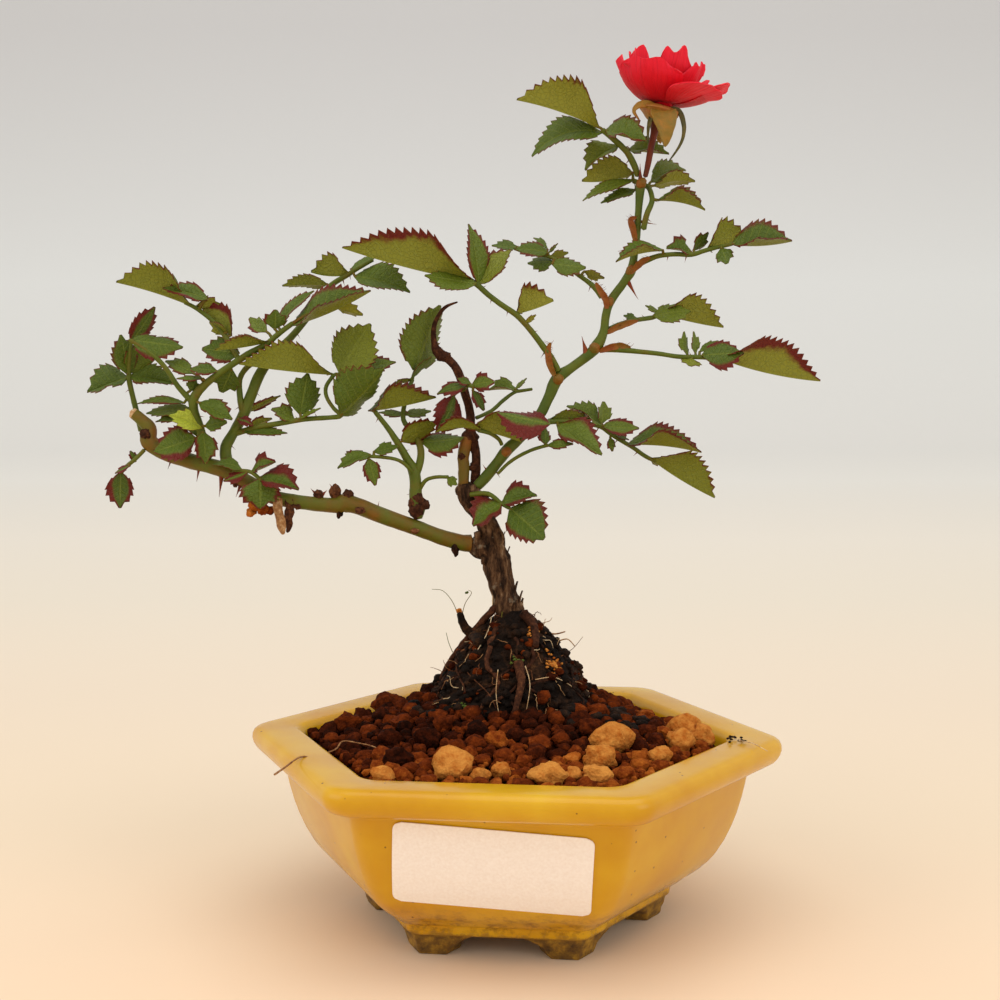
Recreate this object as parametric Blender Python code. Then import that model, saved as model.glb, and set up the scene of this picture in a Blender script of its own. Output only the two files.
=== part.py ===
"""Rose bonsai with one red bloom, in a hexagonal glazed pot.

Sizes are millimetres and become metres where a mesh is made. The pot's centre is the origin
while the pieces are made, with the feet on z = 0, and one empty carries them all so that the
finished part stands with its bounding box centred over the world origin.

The plant is laid out by places (x, z) read across the trunk's plane from one named viewpoint in
front of the pot. A place that lies deeper or nearer moves along its line of sight, so the
plant keeps its outline from the front whatever depth a shoot is given.
"""

import math
import random

import bmesh
import bpy
from mathutils import Matrix, Vector, noise

MM = 0.001
GAP = 0.35
DRAW = random.Random(7)

# Pot
RIM_RADIUS = 65.0
POT_HEIGHT = 43.7
RIM_ROUND = 6.5
BODY_ROUND = 6.5
TURN = math.radians(-6.2)
CORNER_STEPS = 2
RING_POINTS = 6 * (CORNER_STEPS + 1)
INNER_RADIUS = 52.5
FOOT_RING_RADIUS = 38.6
FOOT_RING_WALL = 4.0
FOOT_HEIGHT = 5.2
FOOT_RING_TOP = 7.8
FOOT_SET_BACK = 3.0
FOOT_DEPTH = 5.2
FLOOR_TOP = 12.5
FLOOR_UNDER = 7.6
DRAIN_RADIUS = 8.0
SIN60 = math.sin(math.radians(60))

# Drain screen and label
SCREEN_SIZE = 26.0
SCREEN_THICK = 0.8
SCREEN_HOLES = 3
LABEL_WIDTH = 42.0
LABEL_HEIGHT = 19.0
LABEL_THICK = 0.6
LABEL_CORNER_CUT = 0.35
LABEL_TILT = math.radians(-3.4)
LABEL_MIDDLE = (0.4, 25.1)

# Soil and root mound
SOIL_RIM_Z = 41.0
SOIL_HILL = 9.0
SOIL_SLOPE = 14.0
SOIL_HILL_RADIUS = 34.0
SOIL_BOTTOM = 13.95
SOIL_RADIUS = INNER_RADIUS - 1.0 - GAP / SIN60
MOUND_X = 0.0
MOUND_Y = 19.5
PLUG_RADIUS = 21.6
PLUG_BOTTOM = 33.0
GRANULES = 34

# Viewpoint and the plane in which the plant's places are read
EYE = Vector((-3.0, -341.0, 127.0))
PLANE_Y = 20.0
READING_FLOOR = 1.5

# Blades
LEAF_THICK = 0.66
PETAL_THICK = 0.7
LEAST_FOLD = math.radians(27)
TOOTH_PITCH = 6.0
MOST_TEETH = 5
BUD_LEAF = 6.3
STALK_SEAT = 1.0


def clear_scene():
    for thing in list(bpy.data.objects):
        bpy.data.objects.remove(thing)


def srgb(value):
    """Linear colour of a six-digit hex value."""
    channels = [int(value[i : i + 2], 16) / 255 for i in (0, 2, 4)]
    return [c / 12.92 if c <= 0.04045 else ((c + 0.055) / 1.055) ** 2.4 for c in channels] + [1.0]


def material(name, colour, roughness, metallic=0.0):
    made = bpy.data.materials.new(name)
    made.use_nodes = True
    shader = made.node_tree.nodes["Principled BSDF"]
    shader.inputs["Base Color"].default_value = srgb(colour)
    shader.inputs["Roughness"].default_value = roughness
    shader.inputs["Metallic"].default_value = metallic
    made.diffuse_color = srgb(colour)
    return made


def seen(x, z, depth=0.0):
    """A place read at (x, z) in the trunk's plane, moved along its line of sight by depth."""
    in_plane = Vector((x, PLANE_Y, z))
    reach = 1 + depth / (PLANE_Y - EYE.y)
    return EYE + (in_plane - EYE) * reach - Vector((0, 0, READING_FLOOR))


def mesh_object(name, points, faces):
    """An object from points in millimetres."""
    mesh = bpy.data.meshes.new(name)
    mesh.from_pydata([[c * MM for c in p] for p in points], [], faces)
    mesh.update()
    made = bpy.data.objects.new(name, mesh)
    bpy.context.collection.objects.link(made)
    return made


def loft(name, rings, closed_ring=False):
    """A closed solid through rings of equal count: capped at both ends, or joined end to end."""
    count = len(rings[0])
    points = [p for ring in rings for p in ring]
    faces = []
    spans = len(rings) if closed_ring else len(rings) - 1
    for row in range(spans):
        low = row * count
        high = (row + 1) % len(rings) * count
        for i in range(count):
            j = (i + 1) % count
            faces.append([low + i, low + j, high + j, high + i])
    if not closed_ring:
        faces.append(list(range(count))[::-1])
        faces.append([len(points) - count + i for i in range(count)])
    return mesh_object(name, points, faces)


def ball(name, middle, radii, seed, levels=1, rough=0.18):
    """An uneven lump, such as a clay granule, a bud or a knot."""
    made = mesh_object(name, [], [])
    bm = bmesh_of_ball(levels)
    turn = Matrix.Rotation(seed * 2.4, 3, "Z") @ Matrix.Rotation(seed * 1.3, 3, "X")
    for vertex in bm.verts:
        swell = 1 + rough * noise.noise(vertex.co * 1.7 + Vector((seed * 3.1, 0, seed)))
        place = turn @ Vector([c * r * swell for c, r in zip(vertex.co, radii)])
        vertex.co = (place + Vector(middle)) * MM
    bm.to_mesh(made.data)
    bm.free()
    return made


def bmesh_of_ball(levels):
    bm = bmesh.new()
    bmesh.ops.create_icosphere(bm, subdivisions=levels, radius=1.0)
    return bm


def frames_along(route):
    """(tangent, side, up) at each point of a route, carried along without twist."""
    found = []
    side = None
    for i, place in enumerate(route):
        ahead = route[min(i + 1, len(route) - 1)]
        behind = route[max(i - 1, 0)]
        tangent = (ahead - behind).normalized()
        if side is None:
            start = Vector((0, 1, 0)) if abs(tangent.y) < 0.9 else Vector((1, 0, 0))
            side = (start - tangent * start.dot(tangent)).normalized()
        else:
            side = (side - tangent * side.dot(tangent)).normalized()
        found.append((tangent, side, tangent.cross(side)))
    return found


def smooth_route(stations, steps):
    """Catmull-Rom points through (x, z, depth, radius) stations, steps to a span."""
    if steps == 1:
        return [tuple(s) for s in stations]
    made = []
    for i in range(len(stations) - 1):
        a = stations[max(i - 1, 0)]
        b, c = stations[i], stations[i + 1]
        d = stations[min(i + 2, len(stations) - 1)]
        for k in range(steps):
            t = k / steps
            made.append(
                tuple(
                    0.5 * (2 * q + (r - p) * t + (2 * p - 5 * q + 4 * r - s) * t * t
                           + (3 * q - p - 3 * r + s) * t ** 3)
                    for p, q, r, s in zip(a, b, c, d)
                )
            )
    made.append(tuple(stations[-1]))
    return made


def tube(name, stations, sides=6, steps=1, bark=0.0, seed=0):
    """A stem along (x, z, depth, radius) stations; bark is the share by which its skin swells."""
    route = smooth_route(stations, steps)
    places = [seen(x, z, depth) for x, z, depth, radius in route]
    rings = []
    for i, (tangent, side, up) in enumerate(frames_along(places)):
        ring = []
        for k in range(sides):
            turn = 2 * math.pi * k / sides
            out = side * math.cos(turn) + up * math.sin(turn)
            swell = 1 + bark * noise.noise(places[i] * 0.31 + out * 1.9 + Vector((seed, 0, 0)))
            ring.append(places[i] + out * route[i][3] * swell)
        rings.append(ring)
    return loft(name, rings)


def thorn(name, base, tip, radius):
    """A prickle: a cone from a base (x, z, depth) inside its stem to its point."""
    start, end = seen(*base), seen(*tip)
    tangent, side, up = frames_along([start, end])[0]
    ring = [start + (side * math.cos(t) + up * math.sin(t)) * radius
            for t in (0, math.pi / 2, math.pi, 3 * math.pi / 2)]
    points = ring + [end]
    return mesh_object(name, points, [[3, 2, 1, 0], [0, 1, 4], [1, 2, 4], [2, 3, 4], [3, 0, 4]])


def sheet(name, points, triangles, thick):
    """A closed blade of even thickness about a triangulated surface, alike on both faces."""
    normals = [Vector((0, 0, 0)) for p in points]
    faces = []
    for a, b, c in triangles:
        normal = (points[b] - points[a]).cross(points[c] - points[a]).normalized()
        faces.append(normal)
        for corner in (a, b, c):
            normals[corner] += normal
    normals = [n.normalized() for n in normals]
    stretch = [1.0] * len(points)
    for (a, b, c), normal in zip(triangles, faces):
        for corner in (a, b, c):
            stretch[corner] = max(stretch[corner], min(1.7, 1 / max(0.3, normals[corner].dot(normal))))
    half = thick / 2
    count = len(points)
    top = [p + n * half * s for p, n, s in zip(points, normals, stretch)]
    under = [p - n * half * s for p, n, s in zip(points, normals, stretch)]
    solid_faces = [list(t) for t in triangles]
    solid_faces += [[a + count, c + count, b + count] for a, b, c in triangles]
    edges = {}
    for a, b, c in triangles:
        for edge in ((a, b), (b, c), (c, a)):
            edges[edge] = True
    for a, b in list(edges):
        if (b, a) not in edges:
            solid_faces += [[b, a, a + count], [b, a + count, b + count]]
    return mesh_object(name, top + under, solid_faces)


def breadth(share):
    """Half width of a rose leaflet at a share of its length, as a share of its widest."""
    return math.sin(math.pi * share ** 0.82) ** (0.7 + 0.3 * share) if 0 < share < 1 else 0.0


def leaflet(name, stalk, leaf, seed):
    """One leaflet: a folded, toothed blade on a flat stalk that starts at stalk on its stem.

    leaf is (base x, base z, tip x, tip z, half width, near, far, bow, base depth, tip depth).
    near and far are how far the edge of the half nearer the eye, and of the other half, stands
    off the midrib as seen: above it on a leaflet that runs sideways, to its right on one that
    runs up or down. bow is the midrib's rise on the same side.
    """
    base_x, base_z, tip_x, tip_z, half, near, far, bow, base_depth, tip_depth = leaf
    base = seen(base_x, base_z, base_depth)
    tip = seen(tip_x, tip_z, tip_depth)
    run = Vector((tip_x - base_x, 0, tip_z - base_z))
    normal = Vector((-run.z, 0, run.x)).normalized()
    if (abs(run.x) >= abs(run.z) and normal.z < 0) or (abs(run.x) < abs(run.z) and normal.x < 0):
        normal = -normal
    away = Vector((0, 1, 0))
    angle_near = math.asin(max(-1, min(1, near / half)))
    angle_far = math.pi - math.asin(max(-1, min(1, far / half)))
    middle = (angle_near + angle_far) / 2
    fold = max(LEAST_FOLD, (angle_far - angle_near) / 2)

    def side(turn):
        return normal * math.sin(turn) - away * math.cos(turn)

    length = (tip - base).length
    teeth = max(2, min(MOST_TEETH, round(length / TOOTH_PITCH)))
    facing = side(middle)
    arch = facing * length * 0.03 * math.sin(seed * 1.7)

    def rib(share):
        return base.lerp(tip, share) + (normal * bow + arch) * 4 * share * (1 - share)

    def edge(share, sign, scale):
        opened = math.pi / 2 + (fold - math.pi / 2) * min(1, share / 0.35)
        return rib(share) + side(middle + sign * opened) * half * breadth(share) * scale

    flat = side(middle + math.pi / 2) * 0.55
    points = [stalk - flat, stalk, stalk + flat, base - flat, base, base + flat]
    triangles = []

    def strip(first, second):
        a, b, c = first
        d, e, f = second
        triangles.extend([(a, b, e), (a, e, d), (b, c, f), (b, f, e)])

    previous = (3, 4, 5)
    strip((0, 1, 2), previous)
    if length < BUD_LEAF:
        points += [edge(0.4, -1, 1), rib(0.4), edge(0.4, 1, 1)]
        strip(previous, (6, 7, 8))
        previous = (6, 7, 8)
        teeth = 1
    for k in range(1, teeth + 1):
        share = k / teeth
        if k == teeth:
            points.append(tip)
            end = len(points) - 1
            a, b, c = previous
            triangles.extend([(a, b, end), (b, c, end)])
            break
        tooth = share - 0.25 / teeth
        row = len(points)
        points += [edge(share, -1, 0.9), rib(share), edge(share, 1, 0.9)]
        points += [edge(tooth, -1, 1.12), edge(tooth, 1, 1.12)]
        a, b, c = previous
        triangles.extend([(a, b, row + 1), (a, row + 1, row + 3), (row + 3, row + 1, row)])
        triangles.extend([(b, c, row + 4), (b, row + 4, row + 1), (row + 1, row + 4, row + 2)])
        previous = (row, row + 1, row + 2)
    a, b, c = triangles[-1]
    if (points[b] - points[a]).cross(points[c] - points[a]).dot(facing) < 0:
        triangles = [(c, b, a) for a, b, c in triangles]
    return sheet(name, points, triangles, LEAF_THICK)


def nearest_on(routes, x, z, depth):
    """The place and depth on the routes' axes that is nearest to a reading (x, z)."""
    best = None
    for route in routes:
        for a, b in zip(route, route[1:]):
            span_x, span_z = b[0] - a[0], b[1] - a[1]
            square = span_x ** 2 + span_z ** 2
            share = ((x - a[0]) * span_x + (z - a[1]) * span_z) / square if square else 0
            most = 1 - STALK_SEAT / max(STALK_SEAT, math.sqrt(square)) if b is route[-1] else 1
            share = max(0, min(most, share))
            spot = [p + (q - p) * share for p, q in zip(a, b)]
            off = (spot[0] - x) ** 2 + (spot[1] - z) ** 2 + 0.05 * (spot[2] - depth) ** 2
            if best is None or off < best[0]:
                best = (off, spot)
    return best[1]


def keep_largest(mesh_owner):
    """Drops loose scrap and closed-off hollows that a union can leave behind."""
    bm = bmesh.new()
    bm.from_mesh(mesh_owner.data)
    bmesh.ops.dissolve_limit(bm, angle_limit=math.radians(1.5), verts=bm.verts, edges=bm.edges)
    bmesh.ops.triangulate(bm, faces=bm.faces)
    groups = []
    waiting = set(bm.faces)
    while waiting:
        stack = [waiting.pop()]
        group = []
        while stack:
            face = stack.pop()
            group.append(face)
            for edge in face.edges:
                for other in edge.link_faces:
                    if other in waiting:
                        waiting.remove(other)
                        stack.append(other)
        volume = sum(
            f.verts[0].co.dot(f.verts[1].co.cross(f.verts[2].co)) / 6 for f in group
        )
        groups.append((volume, group))
    groups.sort(key=lambda item: item[0])
    for volume, group in groups[:-1]:
        middle = sum((f.calc_center_median() for f in group), Vector()) / len(group) / MM
        print("dropped from", mesh_owner.name, round(volume / MM ** 3, 2), "mm3", len(group),
              "faces at", [round(c, 1) for c in middle])
        bmesh.ops.delete(bm, geom=group, context="FACES")
    loose = [v for v in bm.verts if not v.link_faces]
    bmesh.ops.delete(bm, geom=loose, context="VERTS")
    bm.to_mesh(mesh_owner.data)
    bm.free()


def fused(name, pieces, skin, smooth=50):
    """One body from overlapping closed pieces, by a single union over a collection."""
    made = pieces[0]
    made.name = made.data.name = name
    if len(pieces) > 1:
        others = bpy.data.collections.new(name + "_pieces")
        for piece in pieces[1:]:
            bpy.context.collection.objects.unlink(piece)
            others.objects.link(piece)
        union = made.modifiers.new("union", "BOOLEAN")
        union.operation = "UNION"
        union.operand_type = "COLLECTION"
        union.collection = others
        union.solver = "MANIFOLD"
        graph = bpy.context.evaluated_depsgraph_get()
        joined = bpy.data.meshes.new_from_object(made.evaluated_get(graph))
        made.modifiers.clear()
        made.data = joined
        joined.name = name
        for piece in list(others.objects):
            bpy.data.objects.remove(piece)
        bpy.data.collections.remove(others)
    keep_largest(made)
    made.data.materials.clear()
    made.data.materials.append(skin)
    made.data.shade_smooth()
    made.data.set_sharp_from_angle(angle=math.radians(smooth))
    return made


def hexagon(radius, rounding, z, about=(0.0, 0.0)):
    """A ring of the pot's plan: a hexagon by its sharp corner radius, with round corners."""
    ring = []
    reach = radius - rounding / SIN60
    for corner in range(6):
        heading = math.radians(60) * corner + TURN
        for k in range(CORNER_STEPS + 1):
            turn = heading + math.radians(60) * (k / CORNER_STEPS - 0.5)
            ring.append(Vector((
                about[0] + reach * math.cos(heading) + rounding * math.cos(turn),
                about[1] + reach * math.sin(heading) + rounding * math.sin(turn),
                z,
            )))
    return ring


def circle(radius, z, about=(0.0, 0.0)):
    """A round ring with as many points as a hexagon ring, and lined up with it."""
    return [
        Vector((about[0] + radius * math.cos(t), about[1] + radius * math.sin(t), z))
        for t in (TURN + 2 * math.pi * (k - CORNER_STEPS / 2) / RING_POINTS for k in range(RING_POINTS))
    ]


# Outer profile of the pot's body: height, corner radius. It swells and then tucks under.
BODY_PROFILE = [
    (8.0, 40.4), (9.6, 42.3), (11.2, 44.8), (13.0, 47.0), (15.0, 49.0), (17.5, 50.7), (20.3, 52.3),
    (22.6, 53.5), (25.5, 54.5), (29.5, 55.8), (33.0, 56.6), (36.2, 57.2), (37.2, 58.4),
]
# The lip, soft as a cushion, from its underside to where its flat top ends
LIP_PROFILE = [(37.4, 62.6), (38.6, 64.3), (41.0, RIM_RADIUS), (42.8, 64.5), (POT_HEIGHT, 62.8)]
# The inside, from the lip's inner edge down to the floor
INSIDE_PROFILE = [
    (POT_HEIGHT, 53.1), (42.5, 51.9), (36.0, 51.5), (28.0, 49.5), (21.0, 45.5), (15.6, 39.0),
    (FLOOR_TOP, 34.5),
]


def body_radius(z):
    for (low, small), (high, large) in zip(BODY_PROFILE, BODY_PROFILE[1:]):
        if low <= z <= high:
            return small + (large - small) * (z - low) / (high - low)
    return BODY_PROFILE[-1][1]


def make_foot(heading):
    """A bracket foot: a chevron under a corner that narrows on its inner ends and leans in."""
    levels = [(0.0, 6.0, 0.0), (2.0, 7.0, 0.6), (3.7, 9.6, 1.2), (FOOT_HEIGHT + 0.6, 14.0, 1.8)]
    rings = []
    for z, reach, lean in levels:
        outer = FOOT_RING_RADIUS - FOOT_SET_BACK + lean
        inner = outer - FOOT_DEPTH
        ring = []
        for radius, order in ((outer, (1, 0, -1)), (inner, (-1, 0, 1))):
            corner = Vector((radius * math.cos(heading), radius * math.sin(heading), z))
            for way in order:
                along = heading + way * math.radians(120)
                step = Vector((math.cos(along), math.sin(along), 0)) * (reach if way else 0)
                ring.append(corner + step)
        rings.append(ring[::-1])
    return loft("foot", rings)


def make_pot(skin):
    """The body with its lip and drain hole, drawn as one closed band of rings, and six feet."""
    inside = FOOT_RING_RADIUS - FOOT_RING_WALL
    rings = [hexagon(inside - 0.5, 3, FLOOR_UNDER), hexagon(inside, 3, FOOT_HEIGHT),
             hexagon(FOOT_RING_RADIUS, 4, FOOT_HEIGHT), hexagon(FOOT_RING_RADIUS, 4, FOOT_RING_TOP)]
    rings += [hexagon(radius, BODY_ROUND, z) for z, radius in BODY_PROFILE]
    rings += [hexagon(radius, RIM_ROUND, z) for z, radius in LIP_PROFILE]
    rings += [hexagon(radius, 3.2, z) for z, radius in INSIDE_PROFILE]
    rings += [circle(DRAIN_RADIUS, FLOOR_TOP), circle(DRAIN_RADIUS, FLOOR_UNDER)]
    body = loft("pot", rings, closed_ring=True)
    feet = [make_foot(math.radians(60) * corner + TURN) for corner in range(6)]
    return fused("pot", [body] + feet, skin, smooth=35)


def make_screen(skin):
    """The plastic mesh over the drain hole, a square grid of bars."""
    bar = 1.2
    pitch = (SCREEN_SIZE - bar) / SCREEN_HOLES
    low, high = FLOOR_TOP + GAP - 0.05, FLOOR_TOP + GAP - 0.05 + SCREEN_THICK
    pieces = []
    for k in range(SCREEN_HOLES + 1):
        off = -SCREEN_SIZE / 2 + bar / 2 + k * pitch
        for lengthways in (True, False):
            a, b = (SCREEN_SIZE / 2, bar / 2) if lengthways else (bar / 2, SCREEN_SIZE / 2)
            x, y = (0, off) if lengthways else (off, 0)
            low_ring = [Vector((x - a, y - b, low)), Vector((x + a, y - b, low)),
                        Vector((x + a, y + b, low)), Vector((x - a, y + b, low))]
            pieces.append(loft("bar", [low_ring, [p + Vector((0, 0, high - low)) for p in low_ring]]))
    return fused("drain_screen", pieces, skin, smooth=30)


def make_label(skin):
    """Blank paper that bends with the pot's front face."""
    heading = math.radians(270) + TURN
    out = Vector((math.cos(heading), math.sin(heading), 0))
    along = Vector((-out.y, out.x, 0))
    columns = [-0.5, -0.47, 0.47, 0.5]
    rows = [-0.5, -0.44, -0.3, -0.15, 0.0, 0.15, 0.3, 0.44, 0.5]
    rings = []
    for lift in (GAP, GAP + LABEL_THICK):
        grid = {}
        for i, across in enumerate(columns):
            for j, up in enumerate(rows):
                at_corner = abs(across) == 0.5 and abs(up) == 0.5
                cut = LABEL_CORNER_CUT if at_corner else 0.0
                u = across * LABEL_WIDTH - math.copysign(cut, across)
                v = up * LABEL_HEIGHT - math.copysign(cut, up)
                x = LABEL_MIDDLE[0] + u * math.cos(LABEL_TILT) - v * math.sin(LABEL_TILT)
                z = LABEL_MIDDLE[1] + u * math.sin(LABEL_TILT) + v * math.cos(LABEL_TILT)
                reach = body_radius(z) * SIN60 + lift
                grid[i, j] = out * reach + along * x + Vector((0, 0, z))
        rings.append(grid)
    wide, tall = len(columns), len(rows)
    points = [rings[k][i, j] for k in (0, 1) for i in range(wide) for j in range(tall)]

    def index(k, i, j):
        return k * wide * tall + i * tall + j

    faces = []
    for i in range(wide - 1):
        for j in range(tall - 1):
            faces.append([index(1, i, j), index(1, i + 1, j), index(1, i + 1, j + 1), index(1, i, j + 1)])
            faces.append([index(0, i, j), index(0, i, j + 1), index(0, i + 1, j + 1), index(0, i + 1, j)])
    for i in range(wide - 1):
        faces.append([index(0, i, 0), index(0, i + 1, 0), index(1, i + 1, 0), index(1, i, 0)])
        faces.append([index(0, i + 1, tall - 1), index(0, i, tall - 1),
                      index(1, i, tall - 1), index(1, i + 1, tall - 1)])
    for j in range(tall - 1):
        faces.append([index(0, 0, j + 1), index(0, 0, j), index(1, 0, j), index(1, 0, j + 1)])
        faces.append([index(0, wide - 1, j), index(0, wide - 1, j + 1),
                      index(1, wide - 1, j + 1), index(1, wide - 1, j)])
    return fused("label", [mesh_object("label", points, faces)], skin, smooth=30)


def wall_distance(x, y):
    """How far a place lies inside the soil's own outer wall, in plan."""
    heading = math.atan2(y, x) - TURN - math.radians(30)
    heading = (heading + math.radians(30)) % math.radians(60) - math.radians(30)
    return SOIL_RADIUS * SIN60 - math.hypot(x, y) * math.cos(heading)


def soil_height(x, y):
    """The compost surface: a hill about the mound that sinks to the wall, uneven by a few tenths."""
    off = math.hypot(x - MOUND_X, y - MOUND_Y)
    slope = max(0.0, min(1.0, wall_distance(x, y) / SOIL_SLOPE))
    hill = SOIL_HILL * math.exp(-((off / SOIL_HILL_RADIUS) ** 2)) * slope * slope * (3 - 2 * slope)
    return SOIL_RIM_Z + hill + 0.6 * noise.noise(Vector((x * 0.11, y * 0.11, 3.0)))


def raised(ring):
    return [Vector((p.x, p.y, soil_height(p.x, p.y))) for p in ring]


def make_soil(skin):
    hole = (MOUND_X, MOUND_Y)
    wall = SOIL_RADIUS
    rings = [
        circle(0.3, SOIL_BOTTOM),
        circle(15, SOIL_BOTTOM),
        hexagon(wall - 15.2, 3.2, SOIL_BOTTOM + 0.4),
        hexagon(wall - 13.2, 3.2, 16.2),
        hexagon(wall - 6.4, 3.2, 21.4),
        hexagon(wall - 2.3, 3.2, 28.2),
        hexagon(wall - 0.3, 3.2, 36.0),
        raised(hexagon(wall - 0.4, 3.2, 0)),
        raised(hexagon(wall - 6, 3.2, 0, (0.5, 1))),
        raised(circle(38, 0, (0.5, 2))),
        raised(circle(31, 0, (0.5, 10))),
        raised(circle(PLUG_RADIUS + 4.0, 0, hole)),
        raised(circle(PLUG_RADIUS + GAP, 0, hole)),
        circle(PLUG_RADIUS + GAP, PLUG_BOTTOM - GAP, hole),
        circle(0.5, PLUG_BOTTOM - GAP, hole),
    ]
    pieces = [loft("soil", rings)]
    placed = []
    while len(placed) < GRANULES:
        size = DRAW.choice((3.0, 3.4, 3.8, 4.4, 2.6))
        x, y = DRAW.uniform(-52, 52), DRAW.uniform(-46, 46)
        if wall_distance(x, y) < size * 1.12:
            continue
        if math.hypot(x - MOUND_X, y - MOUND_Y) < PLUG_RADIUS + GAP + size * 1.12:
            continue
        near = min((math.hypot(x - a, y - b) - size - c for a, b, c in placed), default=9)
        if near < -size * 0.55:
            continue
        placed.append((x, y, size))
        radii = [size * DRAW.uniform(0.85, 1.05), size * DRAW.uniform(0.8, 1), size * DRAW.uniform(0.7, 0.85)]
        middle = (x, y, soil_height(x, y) + size * 0.12)
        pieces.append(ball("granule", middle, radii, len(placed), levels=1, rough=0.12))
    return fused("soil", pieces, skin, smooth=30)


# The mound's radius at heights above the pot's feet, read off its two sides
MOUND_PROFILE = [
    (46.4, 20.9), (49.0, 20.2), (51.5, 18.9), (54.0, 17.4), (57.0, 15.4), (60.0, 12.9), (62.5, 10.8),
    (65.0, 8.6), (67.3, 6.4), (68.8, 4.7),
]
MOUND_SIDES = 16
MOUND_ROOTS = 8
GOLDEN = math.radians(137.5)
TRUNK_HOLE = 3.6
TRUNK_FOOT_Z = 60.0


def mound_radius(z):
    for (low, wide), (high, narrow) in zip(MOUND_PROFILE, MOUND_PROFILE[1:]):
        if low <= z <= high:
            return wide + (narrow - wide) * (z - low) / (high - low)
    return MOUND_PROFILE[0][1] if z < MOUND_PROFILE[0][0] else MOUND_PROFILE[-1][1]


def mound_ring(radius, z, rough=0.0, hub=(MOUND_X, MOUND_Y)):
    made = []
    for k in range(MOUND_SIDES):
        turn = 2 * math.pi * k / MOUND_SIDES
        out = Vector((math.cos(turn), math.sin(turn), 0))
        swell = 1 + rough * noise.noise(out * 3.1 + Vector((0, 0, z * 0.23)))
        made.append(Vector((hub[0], hub[1], z)) + out * radius * swell)
    return made


def surface_root(order):
    """A root that runs down the mound's side, half sunk in it, and wanders as it goes."""
    heading = order * GOLDEN
    top = 66.0 - 2.2 * (order % 3)
    stations = []
    for step in range(5):
        z = top - (top - 48.0) * step / 4
        turn = heading + 0.22 * math.sin(step * 1.9 + order * 2.3)
        off = mound_radius(z) + 0.1 + 0.05 * order
        place = Vector((MOUND_X + off * math.cos(turn), MOUND_Y + off * math.sin(turn), z))
        stations.append((place, 1.0 - 0.09 * step - 0.12 * (order % 2)))
    places = [place for place, radius in stations]
    rings = []
    for (place, radius), (tangent, side, up) in zip(stations, frames_along(places)):
        rings.append([place + (side * math.cos(t) + up * math.sin(t)) * radius
                      for t in (2 * math.pi * k / 4 for k in range(4))])
    return loft("root", rings)


def make_mound(skin):
    """The root ball: a plug in the soil, a rough cone of roots over it, a plain hole for the trunk."""
    trunk_place = seen(0.9, 66, 0)
    hole = (trunk_place.x, trunk_place.y)
    rings = [mound_ring(PLUG_RADIUS - 2, PLUG_BOTTOM), mound_ring(PLUG_RADIUS - GAP, PLUG_BOTTOM + 3),
             mound_ring(PLUG_RADIUS - GAP, 44.8)]
    rings += [mound_ring(radius, z, 0.15) for z, radius in MOUND_PROFILE]
    rings += [mound_ring(TRUNK_HOLE, 68.4, hub=hole), mound_ring(TRUNK_HOLE, TRUNK_FOOT_Z - GAP, hub=hole),
              mound_ring(0.4, TRUNK_FOOT_Z - GAP, hub=hole)]
    pieces = [loft("mound", rings)]
    roots = [
        [(-5.4, 69.5, -2, 1.0), (-8, 67, -3, 1.1), (-11, 64.3, -3, 1.4), (-13.6, 61.3, -3, 1.4),
         (-15.8, 57.5, -3, 1.3), (-17.4, 53.5, -3, 1.1), (-18.6, 50, -3, 0.9)],
        [(4.6, 69.2, -1, 0.8), (6.2, 66.6, -1, 1.0), (9.2, 64.4, 0, 1.1), (12.8, 61.4, 0, 1.1),
         (15.8, 57.4, 0, 1.0), (18.0, 52.5, 0, 0.9)],
    ]
    pieces += [tube("root", root, sides=5) for root in roots]
    pieces += [surface_root(order) for order in range(MOUND_ROOTS)]
    stub = [(-9.9, 64.4, -2, 1.9), (-12.2, 66.8, -2, 1.8), (-13.2, 69.0, -2, 1.5), (-13.2, 71.0, -2, 1.2)]
    pieces.append(tube("stub", stub, sides=6, bark=0.3))
    lumps = [(8.5, 49.6, -18, 2.2), (14.2, 49.2, -14, 1.9), (-16, 52.5, -9.5, 2.4), (8.8, 60.6, -9.5, 1.6),
             (1.5, 57.5, -16, 1.6), (-8.5, 55.5, -14.0, 1.8), (-12.5, 50.0, -15.5, 1.9),
             (-18.5, 54.0, 3, 2.3)]
    for k, (x, z, depth, size) in enumerate(lumps):
        pieces.append(ball("lump", seen(x, z, depth), (size, size, size * 0.85), k + 11, rough=0.2))
    return fused("root_mound", pieces, skin, smooth=40)


def make_trunk(skin):
    """Bark-covered trunk from its foot in the mound to the dark node that the old stems leave."""
    trunk = [(0.9, TRUNK_FOOT_Z + READING_FLOOR, 0, 2.4), (0.9, 66.0, 0, 2.5), (0.5, 70.2, 0, 2.7),
             (-0.9, 72.6, 0, 3.7), (-1.8, 75.6, 0, 3.1), (-2.8, 79, 0, 3.2), (-3.9, 83.5, 0, 3.5),
             (-4.9, 88, 0, 3.1), (-5.6, 92, 0, 2.5), (-7.6, 95.6, 0, 2.3), (-10.4, 98.6, 0, 2.2),
             (-11.3, 100.8, 0, 2.5), (-11.0, 103.0, 0, 2.5)]
    collar = [(-4.6, 87.4, 0, 3.1), (-8.2, 87.7, -0.1, 2.8), (-10.0, 88.2, -0.3, 2.3)]
    pieces = [tube("trunk", trunk, sides=9, bark=0.2, seed=4), tube("collar", collar, sides=7, bark=0.1)]
    return fused("trunk", pieces, skin, smooth=60)


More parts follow.
